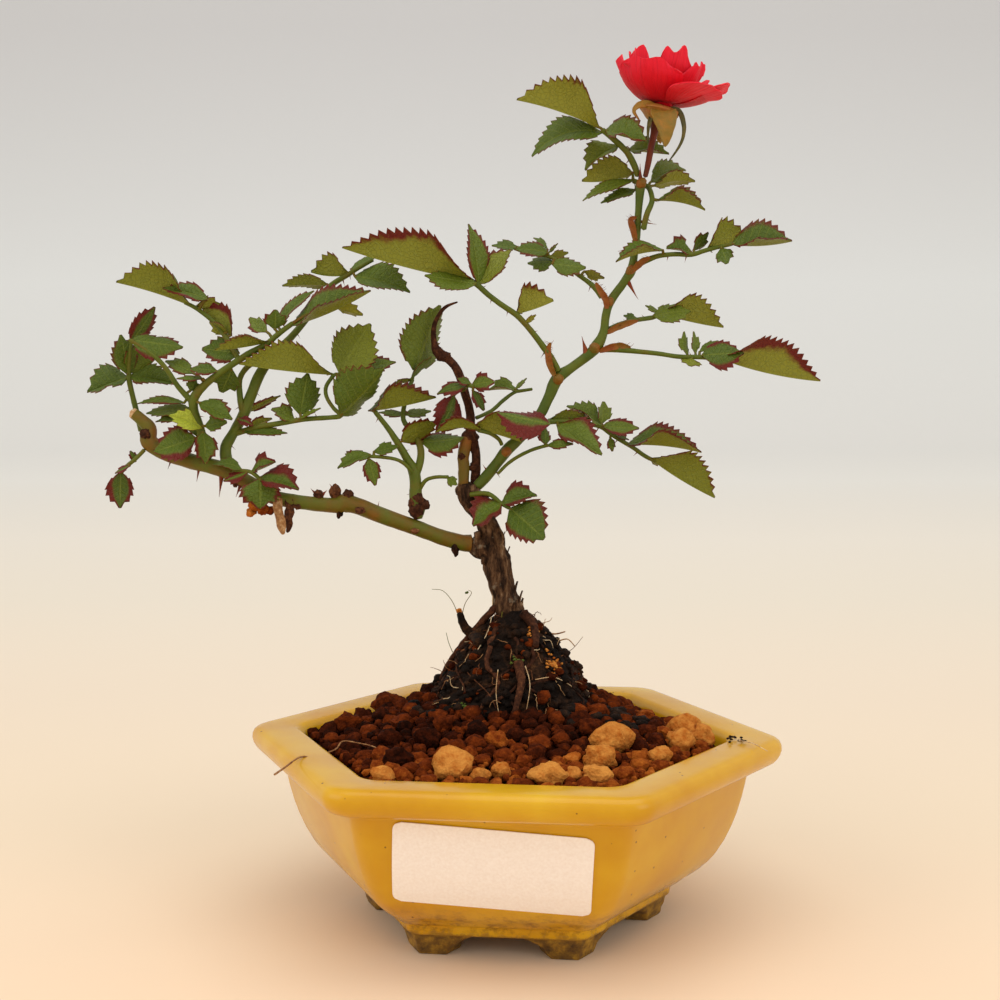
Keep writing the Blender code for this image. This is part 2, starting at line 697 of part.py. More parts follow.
BRANCH = [
    (-10.35, 88.24, -0.35, 2.25), (-13, 88.5, -0.7, 2.1), (-18, 89.9, -1.4, 1.95), (-24, 92.2, -2.4, 1.95),
    (-32, 95.0, -3.6, 2.0), (-39, 97.8, -4.6, 2.1), (-42, 98.4, -5.0, 2.3), (-44, 97.9, -5.2, 2.0),
    (-48, 98.1, -5.6, 1.8), (-54, 98.8, -6.2, 1.75), (-60, 100.0, -6.8, 1.8), (-66, 103.4, -7.2, 1.9),
    (-71, 106.2, -7.5, 2.0), (-76, 107.9, -7.8, 1.9), (-82, 109.4, -8.0, 1.9), (-87.5, 111.4, -8.0, 1.9),
    (-90.9, 114.0, -8.0, 2.1), (-90.9, 117.2, -8.0, 1.8), (-92.7, 119.3, -8.0, 1.5),
    (-94.8, 121.0, -8.0, 1.4),
]


def make_branch(skin):
    """The old left branch: node swellings, a cut end, dead buds, a gall, thorns and a dead husk."""
    pieces = [tube("branch", BRANCH, sides=7, bark=0.08)]
    knots = [
        (-13.8, 86.6, -1.6, 1.1, 1.7), (-41.2, 100.4, -5, 1.5, 1.6), (-44.4, 100.9, -5.2, 1.3, 2.2),
        (-48.6, 100.6, -5.6, 1.3, 1.2), (-43.2, 96.0, -5.6, 0.9, 1.0), (-91.8, 115.8, -9.6, 1.3, 1.5),
        (-64.6, 98.4, -8.2, 1.7, 1.4), (-62.6, 97.2, -8.4, 1.7, 1.5), (-65.6, 96.5, -8.0, 1.4, 1.3),
        (-60.9, 96.9, -8.0, 1.3, 1.2), (-69.4, 103.6, -8, 1.2, 1.2),
    ]
    for k, (x, z, depth, wide, tall) in enumerate(knots):
        pieces.append(ball("knot", seen(x, z, depth), (wide, wide, tall), k + 3, levels=1, rough=0.35))
    pieces.append(tube("gall_root", [(-61.5, 100, -7.2, 1.2), (-63.5, 97.6, -8.1, 1.1)], sides=5))
    husk = [(-57.2, 99.6, -8.4), (-58.6, 98.4, -8.4), (-58.1, 94, -8.8), (-57.8, 90.6, -8.6),
            (-56.0, 90.9, -8.2), (-56.2, 93, -8.2), (-55.8, 97, -8.0), (-56.0, 99.8, -7.4)]
    strips = [(0, 1, 2), (0, 2, 7), (7, 2, 6), (6, 2, 5), (5, 2, 3), (5, 3, 4)]
    pieces.append(sheet("husk", [seen(*p) for p in husk], strips, 0.8))
    thorns = [
        ((-78.2, 108.6, -8), (-79.2, 104.4, -8.5), 0.7), ((-72.8, 105.5, -8), (-73.6, 100.6, -8.5), 0.7),
        ((-68.0, 103.2, -8), (-69.4, 100.8, -9.2), 0.6),
        ((-49.3, 100.8, -5.6), (-50.6, 102.2, -5.6), 0.6),
        ((-47.6, 100.6, -5.6), (-46.4, 101.6, -5.6), 0.6),
        ((-44.4, 101.4, -5.2), (-45.8, 103.4, -5.2), 0.9),
    ]
    pieces += [thorn("thorn", *spec) for spec in thorns]
    return fused("branch_left", pieces, skin, smooth=50)


def make_old_stems(skin):
    """The olive stem and the dark red-brown one, joined at a knot, and the shrivelled top."""
    olive = [(-12.2, 103.4, -0.4, 1.2), (-12.1, 107, -0.4, 1.5), (-12.2, 110.5, -0.4, 1.5),
             (-11.2, 114.6, -0.2, 1.6)]
    dark = [(-9.5, 103.4, 0.9, 1.0), (-9.0, 107, 0.9, 1.1), (-9.1, 111, 0.7, 1.1), (-10.2, 115, 0.2, 1.5),
            (-10.4, 119, 0.6, 1.1), (-10.9, 123, 1.2, 1.1), (-12.3, 128, 1.8, 1.1), (-13.6, 131.6, 2.0, 1.05),
            (-16.2, 134.7, 2.0, 1.1), (-18.6, 136.3, 2.0, 1.3), (-19.4, 138.5, 2.0, 0.8),
            (-19.4, 142.5, 2.0, 0.65),
            (-18.2, 145.5, 2.0, 0.6), (-16.4, 147.5, 2.0, 0.5), (-13.6, 148.6, 2.0, 0.4)]
    pieces = [tube("dark", dark, sides=6, bark=0.15), tube("olive", olive, sides=6),
              ball("knot", seen(-10.8, 115.0, 0.1), (2.1, 1.9, 1.6), 5, levels=1),
              ball("stub", seen(-17.2, 135.2, 2.0), (2.0, 1.3, 1.2), 8, levels=1, rough=0.4)]
    return fused("old_stems", pieces, skin, smooth=50)


SHOOT = [
    (-8.7, 102.7, -1.7, 1.3), (-6.6, 105.0, -1.6, 1.4), (-3.6, 108.7, -1.4, 1.35), (-1.2, 111.8, -1.2, 1.45),
    (2.6, 115.4, -0.9, 1.35), (6.6, 120.0, -0.5, 1.4), (9.2, 125.0, 0.0, 1.35), (11.3, 129.6, 0.4, 1.45),
    (15.2, 132.6, 0.8, 1.2), (18.8, 135.3, 1.2, 1.25), (21.2, 137.8, 1.5, 1.4), (22.8, 141.2, 1.8, 1.1),
    (23.4, 145.5, 2.2, 1.1), (24.6, 149, 2.5, 1.05), (27.6, 153.2, 2.8, 1.05), (29.6, 156.4, 3.1, 1.15),
    (30.3, 160, 3.3, 0.95), (30.9, 165, 3.6, 0.95), (31.3, 171, 3.9, 0.9), (31.8, 178.2, 4.2, 1.2),
]


def make_shoot(skin):
    """The long green shoot, its prickles and the bristled stipules at its nodes."""
    pieces = [tube("shoot", SHOOT, sides=6)]
    thorns = [((18.6, 135.6, 1.1), (17.4, 140.8, 1), 0.9),
              ((28.6, 153.9, 2.9), (26.0, 152.6, 2.4), 0.6), ((28.4, 154.2, 2.8), (31.4, 149.9, 2.9), 0.8),
              ((30.3, 162.1, 3.3), (26.2, 161.6, 2.6), 0.6), ((31.3, 168.4, 3.8), (35.8, 168.3, 3.4), 0.45),
              ((-5.8, 106.0, -1.6), (-7.4, 108.6, -1.8), 0.5),
              ((-4.6, 107.4, -1.4), (-3.0, 105.2, -1.6), 0.5),
              ((31.7, 177.8, 4.2), (31.6, 183.2, 3.4), 0.8)]
    pieces += [thorn("prickle", *spec) for spec in thorns]
    wings = [
        [(29.2, 166.2, 3.2), (29.2, 168.8, 3.0), (30.8, 168.0, 3.6), (30.6, 163.8, 3.4)],
        [(23.8, 146.6, 1.9), (23.8, 148.4, 1.6), (21.0, 152.8, 1.0), (22.2, 149.4, 1.4)],
    ]
    for wing in wings:
        pieces.append(sheet("stipule", [seen(*p) for p in wing], [(0, 1, 3), (1, 2, 3)], 0.7))
    return fused("shoot_right", pieces, skin, smooth=50)


def make_spray(name, stems, leaves, skin, sides=4, lumps=()):
    """A leafy stem: its stalks, and its leaflets, each on a short stalk from the nearest axis.

    Each leaf ends in its own depth beyond the stalk's at its base, and the tip's beyond that.
    """
    pieces = [tube("stem", stem, sides=sides) for stem in stems]
    for k, (x, z, depth, size) in enumerate(lumps):
        pieces.append(ball("lump", seen(x, z, depth), (size, size, size), k))
    for k, leaf in enumerate(leaves):
        *shape, base_off, tip_off = leaf
        spot = nearest_on(stems, shape[0], shape[1], base_off)
        base_depth = spot[2] + base_off
        whole = (*shape, base_depth, base_depth + tip_off)
        stalk = seen(spot[0], spot[1], spot[2])
        pieces.append(leaflet("leaflet", stalk, whole, k + len(name)))
    return fused(name, pieces, skin, smooth=40)


# Each spray: its stalks as (x, z, depth, radius) stations, then its leaflets as leaflet() reads them
SPRAYS = {
    "spray_top": {
        "stems": [[(31.0, 179.6, 5.0, 0.7), (30.2, 182.0, 4.6, 0.85), (28.3, 185.4, 3.6, 0.8),
                   (24.8, 188.7, 2.4, 0.75), (22.3, 190.7, 1.6, 0.7)]],
        "leaves": [
            (21.3, 191.4, 1.0, 198.0, 8.8, 8.0, 6.8, 0.5, -0.5, -4.0),
            (22.0, 190.2, 4.8, 184.2, 5.6, -2.6, 4.6, 3.0, 0.4, 5.0),
            (23.2, 190.6, 33.2, 188.0, 6.7, -1.2, 6.1, -0.2, -0.8, -5.0),
            (26.0, 186.9, 18.1, 180.8, 4.9, -0.5, 4.6, 0.2, 0.6, 5.0),
            (28.8, 186.0, 38.8, 184.8, 4.3, -0.3, 3.9, 0.0, 5.2, 1.6),
        ],
    },
    "spray_upper": {
        "stems": [[(32.6, 166.6, 2.2, 0.75), (33.3, 170.0, 1.9, 0.75), (34.6, 173.2, 2.4, 0.7),
                   (34.4, 175.2, 4.2, 0.65), (33.6, 176.8, 6.4, 0.65), (31.5, 177.8, 7.4, 0.65),
                   (29.9, 178.4, 7.6, 0.65)]],
        "leaves": [
            (29.8, 180.2, 17.2, 178.2, 6.3, 5.8, 2.6, -0.7, 0.6, 3.0),
            (30.2, 178.5, 17.4, 173.4, 3.0, -1.4, 1.7, 0.6, 0.0, -5.0),
            (30.5, 176.2, 21.9, 172.9, 3.0, -1.1, 1.8, 0.1, -0.4, -2.0),
            (36.0, 173.7, 47.8, 171.1, 4.7, 2.9, 4.3, 1.1, -0.5, -4.0),
            (35.2, 177.2, 45.3, 178.2, 3.4, 2.3, -1.0, 0.7, 1.5, 2.0),
            (34.4, 178.2, 43.0, 180.8, 4.6, -1.0, 4.0, 0.6, 1.5, 7.0),
        ],
    },
    "spray_right_upper": {
        "stems": [[(31.3, 157.9, 2.0, 0.8), (33.4, 158.9, 1.2, 0.75), (36.4, 160.0, 0.2, 0.65),
                   (40.5, 160.4, -1.0, 0.6), (44.5, 160.3, -2.2, 0.6), (47.5, 161.2, -3.0, 0.6),
                   (50.5, 162.0, -3.8, 0.55), (54.5, 162.9, -4.6, 0.5)]],
        "leaves": [
            (54.6, 162.9, 69.5, 163.6, 6.9, 1.4, 6.4, -0.4, -0.2, -4.0),
            (48.6, 161.8, 58.7, 163.9, 6.8, 6.3, 2.8, 0.2, 0.4, 3.0),
            (51.9, 161.8, 53.4, 158.0, 2.9, -2.5, 2.5, 0.0, -0.6, -4.5),
            (45.0, 161.4, 48.7, 165.8, 2.3, -1.6, 1.4, 0.0, 0.6, 1.5),
            (44.4, 161.0, 38.2, 161.8, 4.1, -0.5, 3.8, 0.2, 0.6, 3.0),
            (37.4, 161.4, 25.7, 158.4, 4.0, 1.4, 3.5, 0.8, -1.6, -3.6),
        ],
    },
    "spray_right_middle": {
        "stems": [[(24.5, 141.9, 2.6, 0.8), (27.0, 143.1, 3.4, 0.7), (31.0, 144.2, 4.4, 0.6),
                   (35.0, 144.8, 5.6, 0.6), (37.0, 145.8, 6.4, 0.5)]],
        "leaves": [
            (31.0, 144.6, 27.7, 145.3, 1.4, -0.9, 1.0, 0.0, 0.0, 1.0),
            (35.2, 145.2, 44.5, 146.4, 3.3, -2.6, 2.4, 0.0, -0.6, -2.5),
            (36.6, 146.1, 33.1, 147.8, 1.2, -0.8, 0.6, 0.0, 0.0, 1.0),
            (36.9, 146.0, 52.7, 142.3, 6.9, 6.4, 4.2, 0.1, 0.8, 3.0),
        ],
    },
    "spray_right_lower": {
        "stems": [[(23.2, 136.9, 1.2, 0.75), (28.0, 136.7, -0.2, 0.7), (36.0, 135.9, -2.4, 0.6),
                   (41.5, 135.1, -3.8, 0.6), (46.0, 135.0, -4.8, 0.6), (52.5, 134.6, -5.8, 0.5)]],
        "leaves": [
            (43.8, 135.5, 42.9, 141.4, 2.4, -1.9, 0.8, 0.0, 0.3, 1.5),
            (45.8, 135.8, 45.2, 141.4, 1.9, -0.8, 1.5, 0.0, 0.6, 3.0),
            (44.9, 134.6, 44.4, 132.7, 2.6, 2.3, -2.2, 0.0, -0.5, -2.0),
            (47.5, 135.4, 57.9, 136.0, 4.2, -3.8, 3.1, 0.0, -0.8, -3.0),
            (51.6, 134.9, 77.1, 129.0, 9.1, 8.3, 5.8, -0.2, 0.5, 4.0),
            (46.8, 136.3, 51.6, 139.0, 1.5, -0.9, 1.0, 0.2, 0.8, 1.5),
        ],
    },
    "spray_arch": {
        "stems": [[(11.4, 131.7, -0.4, 0.9), (9.6, 135.0, -1.4, 0.9), (7.0, 138.6, -2.4, 0.8),
                   (4.0, 142.4, -3.4, 0.75), (1.0, 145.5, -4.4, 0.75), (-3.0, 148.2, -5.6, 0.7),
                   (-6.0, 150.5, -6.4, 0.7), (-8.6, 152.8, -7.0, 0.7), (-11.5, 154.8, -7.6, 0.6)]],
        "leaves": [
            (-9.8, 153.8, -42.3, 162.0, 9.5, 8.7, 6.6, 0.3, 0.2, -5.0),
            (-9.2, 153.0, -21.8, 155.2, 3.8, -2.7, 2.3, 0.0, -1.8, -4.0),
            (-8.3, 153.2, -10.9, 167.9, 4.2, -1.6, 3.4, 0.0, 0.2, 2.5),
            (-8.0, 153.2, -0.1, 161.5, 4.6, 1.8, -4.0, 0.0, 0.2, 4.0),
            (1.2, 145.9, 10.4, 148.9, 6.6, 6.1, 3.2, 0.0, 0.3, 3.0),
            (3.2, 143.4, 6.0, 145.5, 1.0, 0.6, -0.7, 0.0, -0.2, -0.8),
        ],
    },
    "spray_centre_upper": {
        "stems": [[(22.3, 149.9, 3.4, 0.75), (20.5, 152.2, 4.2, 0.7), (18.3, 154.0, 5.0, 0.6),
                   (15.0, 156.3, 6.2, 0.55), (12.0, 158.2, 7.2, 0.5), (9.0, 159.9, 8.2, 0.5),
                   (4.0, 160.8, 9.6, 0.5), (0.6, 161.8, 10.4, 0.45)]],
        "leaves": [
            (1.4, 162.2, -5.1, 162.5, 2.3, -1.0, 1.8, 0.0, 0.3, 2.5),
            (8.8, 160.8, 0.6, 161.7, 2.8, -1.9, 2.3, 0.1, -1.4, -2.0),
            (8.8, 161.6, 5.2, 164.4, 1.4, -0.6, 1.0, 0.3, 0.6, 1.5),
            (9.0, 160.6, 11.4, 163.1, 0.8, -0.4, 0.4, 0.0, 0.0, 0.6),
            (9.6, 159.9, 14.0, 160.8, 1.5, 1.1, -1.1, 0.0, 0.7, 1.5),
            (10.2, 158.5, 3.8, 158.2, 2.9, -2.5, 1.4, 0.0, 0.0, 3.0),
            (10.0, 158.0, 18.4, 157.1, 3.3, -2.9, 2.1, 0.0, -1.2, -4.0),
            (18.0, 156.2, 23.0, 154.5, 1.7, 0.9, -1.2, 0.0, 0.6, 1.5),
        ],
    },
    "spray_right_low": {
        "stems": [[(8.9, 118.8, 0.5, 0.7), (12.0, 119.0, 1.6, 0.7), (16.0, 118.8, 3.0, 0.65),
                   (20.0, 118.2, 4.2, 0.6), (22.5, 117.5, 5.0, 0.6), (25.0, 115.7, 5.6, 0.6),
                   (28.0, 113.8, 6.2, 0.55), (30.5, 112.3, 6.8, 0.55), (33.5, 110.2, 7.6, 0.55),
                   (36.0, 109.0, 8.2, 0.5)]],
        "leaves": [
            (35.0, 109.6, 51.0, 99.7, 8.0, 7.5, 4.4, -0.7, 0.2, 3.0),
            (29.0, 113.2, 47.6, 111.1, 6.1, 3.5, 5.5, 0.3, -0.5, -4.0),
            (22.8, 117.8, 31.9, 117.2, 3.1, -1.9, 2.4, 0.0, -1.0, -3.0),
            (22.6, 118.2, 13.6, 122.7, 4.6, 0.6, 3.9, 0.0, 0.4, 3.0),
            (22.4, 118.4, 22.8, 124.0, 3.0, -1.4, 2.5, 0.0, 0.6, 3.0),
            (9.4, 119.4, 19.6, 119.5, 3.0, 2.4, 1.0, 0.0, 0.8, 4.0),
            (11.4, 118.0, 22.6, 110.5, 6.3, -0.9, 5.6, 0.0, -1.4, -6.0),
            (24.6, 114.9, 25.2, 111.4, 1.6, -1.2, 1.2, 0.0, -0.3, -1.0),
            (26.0, 115.4, 29.4, 114.3, 1.0, -0.5, 0.5, 0.0, -0.3, -1.5),
            (9.2, 118.2, -3.8, 121.2, 5.9, -5.2, 1.5, 0.0, -7.0, -2.8),
        ],
    },
    "spray_low_small": {
        "stems": [[(-3.5, 105.9, -3.1, 0.4), (-1.0, 108.4, -3.4, 0.45), (2.0, 110.4, -3.8, 0.45),
                   (5.5, 112.0, -4.3, 0.45), (9.0, 113.0, -4.7, 0.45)]],
        "leaves": [
            (8.8, 112.9, 15.4, 113.3, 1.8, -1.0, 1.4, 0.0, 0.0, -2.0),
            (8.4, 113.2, 8.2, 117.6, 2.4, -2.1, 1.3, 0.0, 0.2, 1.2),
        ],
    },
    "spray_trunk": {
        "stems": [[(-10.4, 100.6, -3.2, 0.6), (-6.0, 100.8, -5.0, 0.6), (-2.6, 98.3, -5.6, 0.5),
                   (-0.6, 97.2, -5.8, 0.5)]],
        "leaves": [
            (-2.8, 98.2, -9.8, 92.6, 6.0, -1.2, 5.4, 0.0, -0.4, -3.0),
            (-2.4, 98.6, 6.4, 100.2, 4.6, -0.4, 4.2, 0.0, 0.6, 3.0),
            (-0.4, 97.0, 8.2, 89.3, 6.8, -4.4, 6.3, 0.0, -0.4, -3.0),
        ],
    },
    "spray_centre_front": {
        "stems": [[(-2.6, 113.2, -3.4, 0.5), (-3.4, 114.6, -4.6, 0.5), (-5.6, 116.0, -5.8, 0.5),
                   (-8.4, 116.7, -6.6, 0.5)]],
        "leaves": [
            (-8.0, 117.2, -19.3, 116.2, 3.8, 2.7, -0.6, 1.0, -0.6, -3.0),
            (-10.4, 117.6, 2.4, 113.8, 5.7, 5.1, 3.4, -0.1, 0.4, 0.6),
        ],
    },
    "spray_centre": {
        "stems": [[(-12.2, 126.8, -0.2, 0.55), (-11.0, 127.9, -2.0, 0.55), (-9.6, 127.6, -3.0, 0.5)]],
        "leaves": [
            (-11.3, 127.9, -18.8, 125.7, 2.6, -1.7, 1.5, 0.3, -0.3, -3.0),
            (-9.9, 128.0, -4.4, 128.8, 3.0, -2.2, 2.6, 0.2, 0.0, -2.0),
            (-10.4, 128.4, -13.6, 129.7, 1.5, -1.1, 1.2, 0.0, -0.2, -1.0),
            (-14.6, 125.4, -19.0, 116.6, 4.1, -3.2, 3.3, 0.6, -2.0, -3.4),
            (-9.8, 126.6, -7.0, 121.6, 2.2, -1.5, 1.7, 0.0, 0.0, 1.0),
        ],
    },
    "sprig_centre": {
        "stems": [[(-9.0, 119.8, 1.0, 0.5), (-6.5, 120.9, 2.0, 0.5), (-4.6, 122.0, 3.0, 0.5),
                   (-2.2, 124.2, 4.0, 0.5), (0.6, 126.2, 5.0, 0.45), (2.4, 126.6, 5.4, 0.45),
                   (5.0, 127.0, 6.0, 0.4)]],
        "leaves": [
            (1.4, 126.8, -5.9, 126.7, 3.2, 0.6, 2.9, 0.1, 0.4, 2.0),
            (0.8, 127.0, 3.7, 129.8, 0.9, -0.5, 0.5, 0.0, 0.0, 0.6),
        ],
    },
    "shoots_middle": {
        "stems": [
            [(-24.0, 94.9, -2.5, 1.5), (-23.6, 97.4, -2.6, 1.9), (-24.2, 100.4, -2.7, 1.7),
             (-24.2, 103.0, -2.8, 1.5), (-24.6, 106.4, -2.9, 1.5), (-26.2, 109.4, -3.2, 1.1),
             (-28.4, 113.2, -3.6, 0.9), (-31.0, 117.2, -4.0, 0.7), (-34.2, 121.3, -4.4, 0.6)],
            [(-24.2, 105.6, -2.9, 1.1), (-23.0, 109.0, -2.4, 1.0), (-23.0, 112.6, -1.8, 0.9),
             (-24.6, 116.0, -1.0, 0.7), (-27.2, 119.4, -0.2, 0.65), (-26.6, 124.5, 1.0, 0.6),
             (-24.9, 129.4, 2.2, 0.55)],
            [(-24.4, 104.6, -3.2, 0.5), (-25.6, 107.0, -4.4, 0.5), (-28.4, 109.2, -5.4, 0.45),
             (-32.5, 110.0, -6.4, 0.45), (-36.4, 110.2, -7.0, 0.45)],
            [(-23.4, 101.6, -2.8, 0.6), (-21.6, 104.2, -3.6, 0.5), (-19.0, 105.0, -4.2, 0.45),
             (-16.0, 105.0, -4.8, 0.45)],
        ],
        "lumps": [(-22.2, 98.0, -2.8, 1.1), (-23.6, 99.6, -3.8, 1.2)],
        "leaves": [
            (-24.3, 131.6, -17.8, 147.9, 7.2, -6.6, 2.9, 0.0, 0.3, 3.0),
            (-25.2, 129.6, -20.0, 135.1, 1.3, -0.7, 0.6, 0.0, -0.6, -1.0),
            (-24.9, 129.5, -29.8, 128.3, 1.2, 0.7, -0.5, 0.0, 0.2, -1.0),
            (-35.8, 121.7, -18.9, 124.9, 6.2, 5.0, 5.8, -0.8, 0.0, 3.0),
            (-27.6, 114.0, -18.6, 118.8, 4.4, 3.2, -2.6, 0.2, -0.4, 2.0),
            (-22.6, 113.8, -12.0, 115.0, 4.4, -3.9, 1.7, -0.1, 0.6, -1.0),
            (-26.9, 120.8, -20.2, 121.5, 1.9, -1.4, 0.9, 0.0, 0.6, 2.0),
            (-26.6, 120.6, -33.4, 121.2, 1.4, -0.9, 0.8, 0.0, 0.6, 2.0),
            (-34.6, 111.4, -28.4, 112.7, 2.2, -1.2, 1.8, 0.0, 0.4, 1.5),
            (-35.6, 110.6, -43.8, 107.1, 2.7, -0.6, 2.5, 0.3, -0.4, -2.0),
            (-39.0, 110.2, -41.6, 111.4, 1.1, -0.8, 0.8, 0.0, 0.2, 0.8),
            (-36.0, 109.6, -34.3, 102.8, 2.6, -2.0, 2.1, 0.0, -0.3, -1.0),
            (-16.2, 104.9, -13.8, 103.0, 1.6, -1.2, 1.2, 0.0, -0.1, -0.8),
        ],
    },
    "shoot_left": {
        "stems": [
            [(-71.6, 109.2, -7.4, 1.5), (-71.7, 112.6, -7.2, 1.4), (-69.6, 116.4, -6.6, 1.25),
             (-67.2, 120.6, -6.0, 1.35), (-65.2, 125.6, -5.2, 1.35), (-62.8, 131.0, -4.0, 1.3),
             (-59.4, 135.6, -2.6, 1.1), (-55.4, 139.6, -1.2, 0.9), (-51.4, 144.2, 0.0, 0.8),
             (-47.6, 150.0, 0.8, 0.75), (-44.8, 152.9, 1.0, 0.7), (-41.4, 155.0, 0.8, 0.65),
             (-38.2, 157.0, 0.4, 0.55), (-34.6, 159.0, 0.0, 0.5)],
            [(-67.2, 120.6, -6.2, 0.9), (-68.0, 125.0, -5.6, 0.8), (-68.0, 129.5, -4.6, 0.7),
             (-66.0, 132.6, -3.4, 0.7), (-62.8, 134.4, -2.6, 0.8)],
            [(-69.8, 115.8, -6.8, 0.8), (-64.0, 117.4, -8.0, 0.75), (-58.0, 118.5, -9.0, 0.7),
             (-52.0, 119.5, -9.8, 0.65), (-46.0, 119.9, -10.2, 0.6), (-42.8, 120.4, -10.2, 0.6),
             (-44.6, 122.2, -9.8, 0.5), (-46.4, 125.2, -9.0, 0.5), (-46.4, 127.8, -8.4, 0.5),
             (-44.6, 130.4, -7.8, 0.5)],
        ],
        "leaves": [
            (-42.8, 130.8, -35.2, 143.3, 6.8, 5.8, -6.2, 0.0, 0.4, 3.0),
            (-43.4, 130.8, -28.9, 133.7, 4.2, -2.2, 2.9, 0.2, 1.6, 2.0),
            (-42.8, 120.6, -31.9, 132.2, 7.9, -7.3, 1.1, 0.0, -0.6, -3.0),
            (-45.0, 130.8, -68.2, 133.2, 7.5, 6.9, 4.8, -0.2, -0.2, -5.0),
            (-53.0, 120.8, -51.0, 131.0, 4.5, -4.0, 3.6, 0.0, 0.4, 1.5),
            (-54.6, 119.3, -60.3, 122.0, 2.8, -1.2, 2.4, 0.3, 0.2, 2.0),
            (-53.2, 119.6, -47.8, 122.3, 1.1, -0.5, 0.6, 0.0, -0.6, -1.5),
            (-66.4, 121.4, -57.8, 125.4, 1.8, 1.0, -0.9, 0.2, 0.8, 3.0),
            (-66.0, 117.4, -60.0, 119.7, 1.8, 1.5, -0.6, 0.2, 0.4, 2.0),
            (-67.4, 116.5, -56.2, 116.0, 1.9, -0.8, 1.5, -0.2, -0.8, -2.0),
            (-46.0, 153.0, -57.2, 152.6, 3.1, 2.5, -0.6, 0.0, 0.4, 3.0),
            (-40.4, 155.6, -50.0, 156.0, 5.7, 5.2, 3.0, -0.4, 0.4, 3.0),
            (-40.0, 156.7, -33.2, 160.2, 1.9, -1.0, 1.4, 0.0, 0.6, 1.5),
            (-39.0, 154.9, -25.3, 150.9, 5.2, -1.7, 4.9, 0.3, -0.6, -4.0),
            (-68.6, 119.4, -64.8, 117.8, 1.5, -1.0, 1.3, 0.3, -2.2, -1.0),
        ],
    },
    "cluster_left": {
        "stems": [
            [(-75.8, 110.2, -8.8, 1.3), (-77.2, 114.0, -9.2, 1.2), (-78.4, 118.0, -9.6, 1.1),
             (-79.6, 122.0, -10.0, 1.1), (-79.4, 125.0, -10.2, 1.2), (-76.4, 128.4, -10.4, 0.95),
             (-71.6, 132.0, -10.4, 0.85), (-66.0, 135.6, -10.2, 0.85), (-61.2, 138.2, -9.8, 0.75),
             (-58.4, 140.6, -9.4, 0.7), (-54.6, 143.4, -8.8, 0.6)],
            [(-79.6, 123.4, -10.2, 0.8), (-83.4, 127.6, -11.0, 0.65), (-86.0, 131.6, -11.6, 0.6),
             (-88.6, 134.6, -12.0, 0.6), (-92.0, 137.1, -12.6, 0.5), (-95.4, 139.3, -13.0, 0.45)],
            [(-68.2, 134.4, -9.8, 0.7), (-70.6, 138.6, -7.6, 0.65), (-73.6, 143.0, -6.4, 0.6),
             (-78.0, 146.7, -5.6, 0.55), (-81.4, 148.5, -5.2, 0.5)],
        ],
        "leaves": [
            (-80.0, 147.9, -98.5, 153.5, 8.0, 7.1, 5.4, -0.1, 0.2, -4.0),
            (-75.8, 149.3, -87.0, 152.0, 3.2, -1.2, 2.7, 0.4, -1.8, -2.0),
            (-78.4, 147.6, -71.8, 147.6, 3.0, 2.5, -0.5, 0.0, 0.3, 2.0),
            (-70.0, 140.4, -77.3, 147.3, 5.1, 4.7, -1.0, 0.0, 0.8, 3.0),
            (-71.0, 141.2, -75.4, 143.8, 2.5, 0.7, -2.1, 0.0, -0.3, 1.0),
            (-54.8, 142.9, -35.0, 151.4, 6.7, 2.1, 6.2, -0.4, 0.0, -3.0),
            (-43.4, 147.2, -37.1, 145.4, 2.4, 2.0, -0.7, 0.0, 2.0, 1.5),
            (-58.4, 142.4, -49.1, 151.4, 2.8, -1.0, 2.3, 0.4, 1.4, 3.0),
            (-60.8, 138.9, -74.2, 136.7, 3.4, 2.7, 2.9, -0.5, -0.5, -2.0),
            (-68.2, 136.0, -77.4, 137.0, 4.2, -2.9, 3.7, 0.1, 0.6, 2.0),
            (-61.2, 141.3, -65.5, 144.7, 2.7, -2.1, 1.8, 0.0, 0.6, 1.5),
            (-59.2, 142.0, -58.9, 146.8, 3.0, -2.6, 2.6, 0.0, -0.6, -1.0),
            (-70.0, 131.8, -72.8, 126.2, 3.6, -3.1, 3.1, 0.0, 0.6, 2.0),
            (-94.8, 139.2, -82.0, 137.4, 4.6, -4.1, 2.0, 0.3, 0.5, 3.0),
            (-79.6, 131.0, -86.6, 134.0, 2.6, -1.5, 1.8, 0.2, 0.6, 2.0),
            (-73.8, 131.5, -80.4, 131.9, 2.3, -1.5, 1.8, 0.1, -0.6, -1.5),
            (-77.2, 129.6, -83.9, 129.6, 1.3, -0.7, 0.7, 0.2, -0.8, -2.0),
            (-79.4, 114.7, -89.9, 111.4, 4.9, -3.9, 4.5, 0.0, -0.8, -3.0),
            (-77.4, 116.2, -77.0, 108.3, 3.3, -1.8, 3.1, 0.0, -1.6, -1.5),
            (-77.6, 117.4, -85.9, 120.4, 3.0, -1.7, 2.7, 0.2, -0.8, -2.5),
            (-76.8, 117.8, -71.3, 118.8, 2.6, -1.6, 2.4, 0.1, -1.4, -2.0),
            (-78.2, 123.6, -70.0, 119.3, 3.5, -1.0, 3.1, 0.0, -1.2, -1.5),
            (-82.0, 123.6, -93.9, 123.3, 1.7, -0.6, 1.2, 0.3, 0.8, 2.0),
            (-80.4, 122.0, -91.6, 120.9, 2.4, -1.4, 1.6, 0.2, 1.2, 3.0),
            (-80.6, 120.6, -89.3, 118.8, 1.8, -0.8, 1.4, 0.3, 0.6, 1.4),
            (-80.4, 126.6, -79.0, 129.6, 1.7, -1.4, 1.4, 0.0, 0.4, 1.0),
            (-78.8, 115.2, -82.9, 118.4, 1.2, -0.6, 0.8, 0.4, 0.4, 1.0),
        ],
    },
    "spray_left_low": {
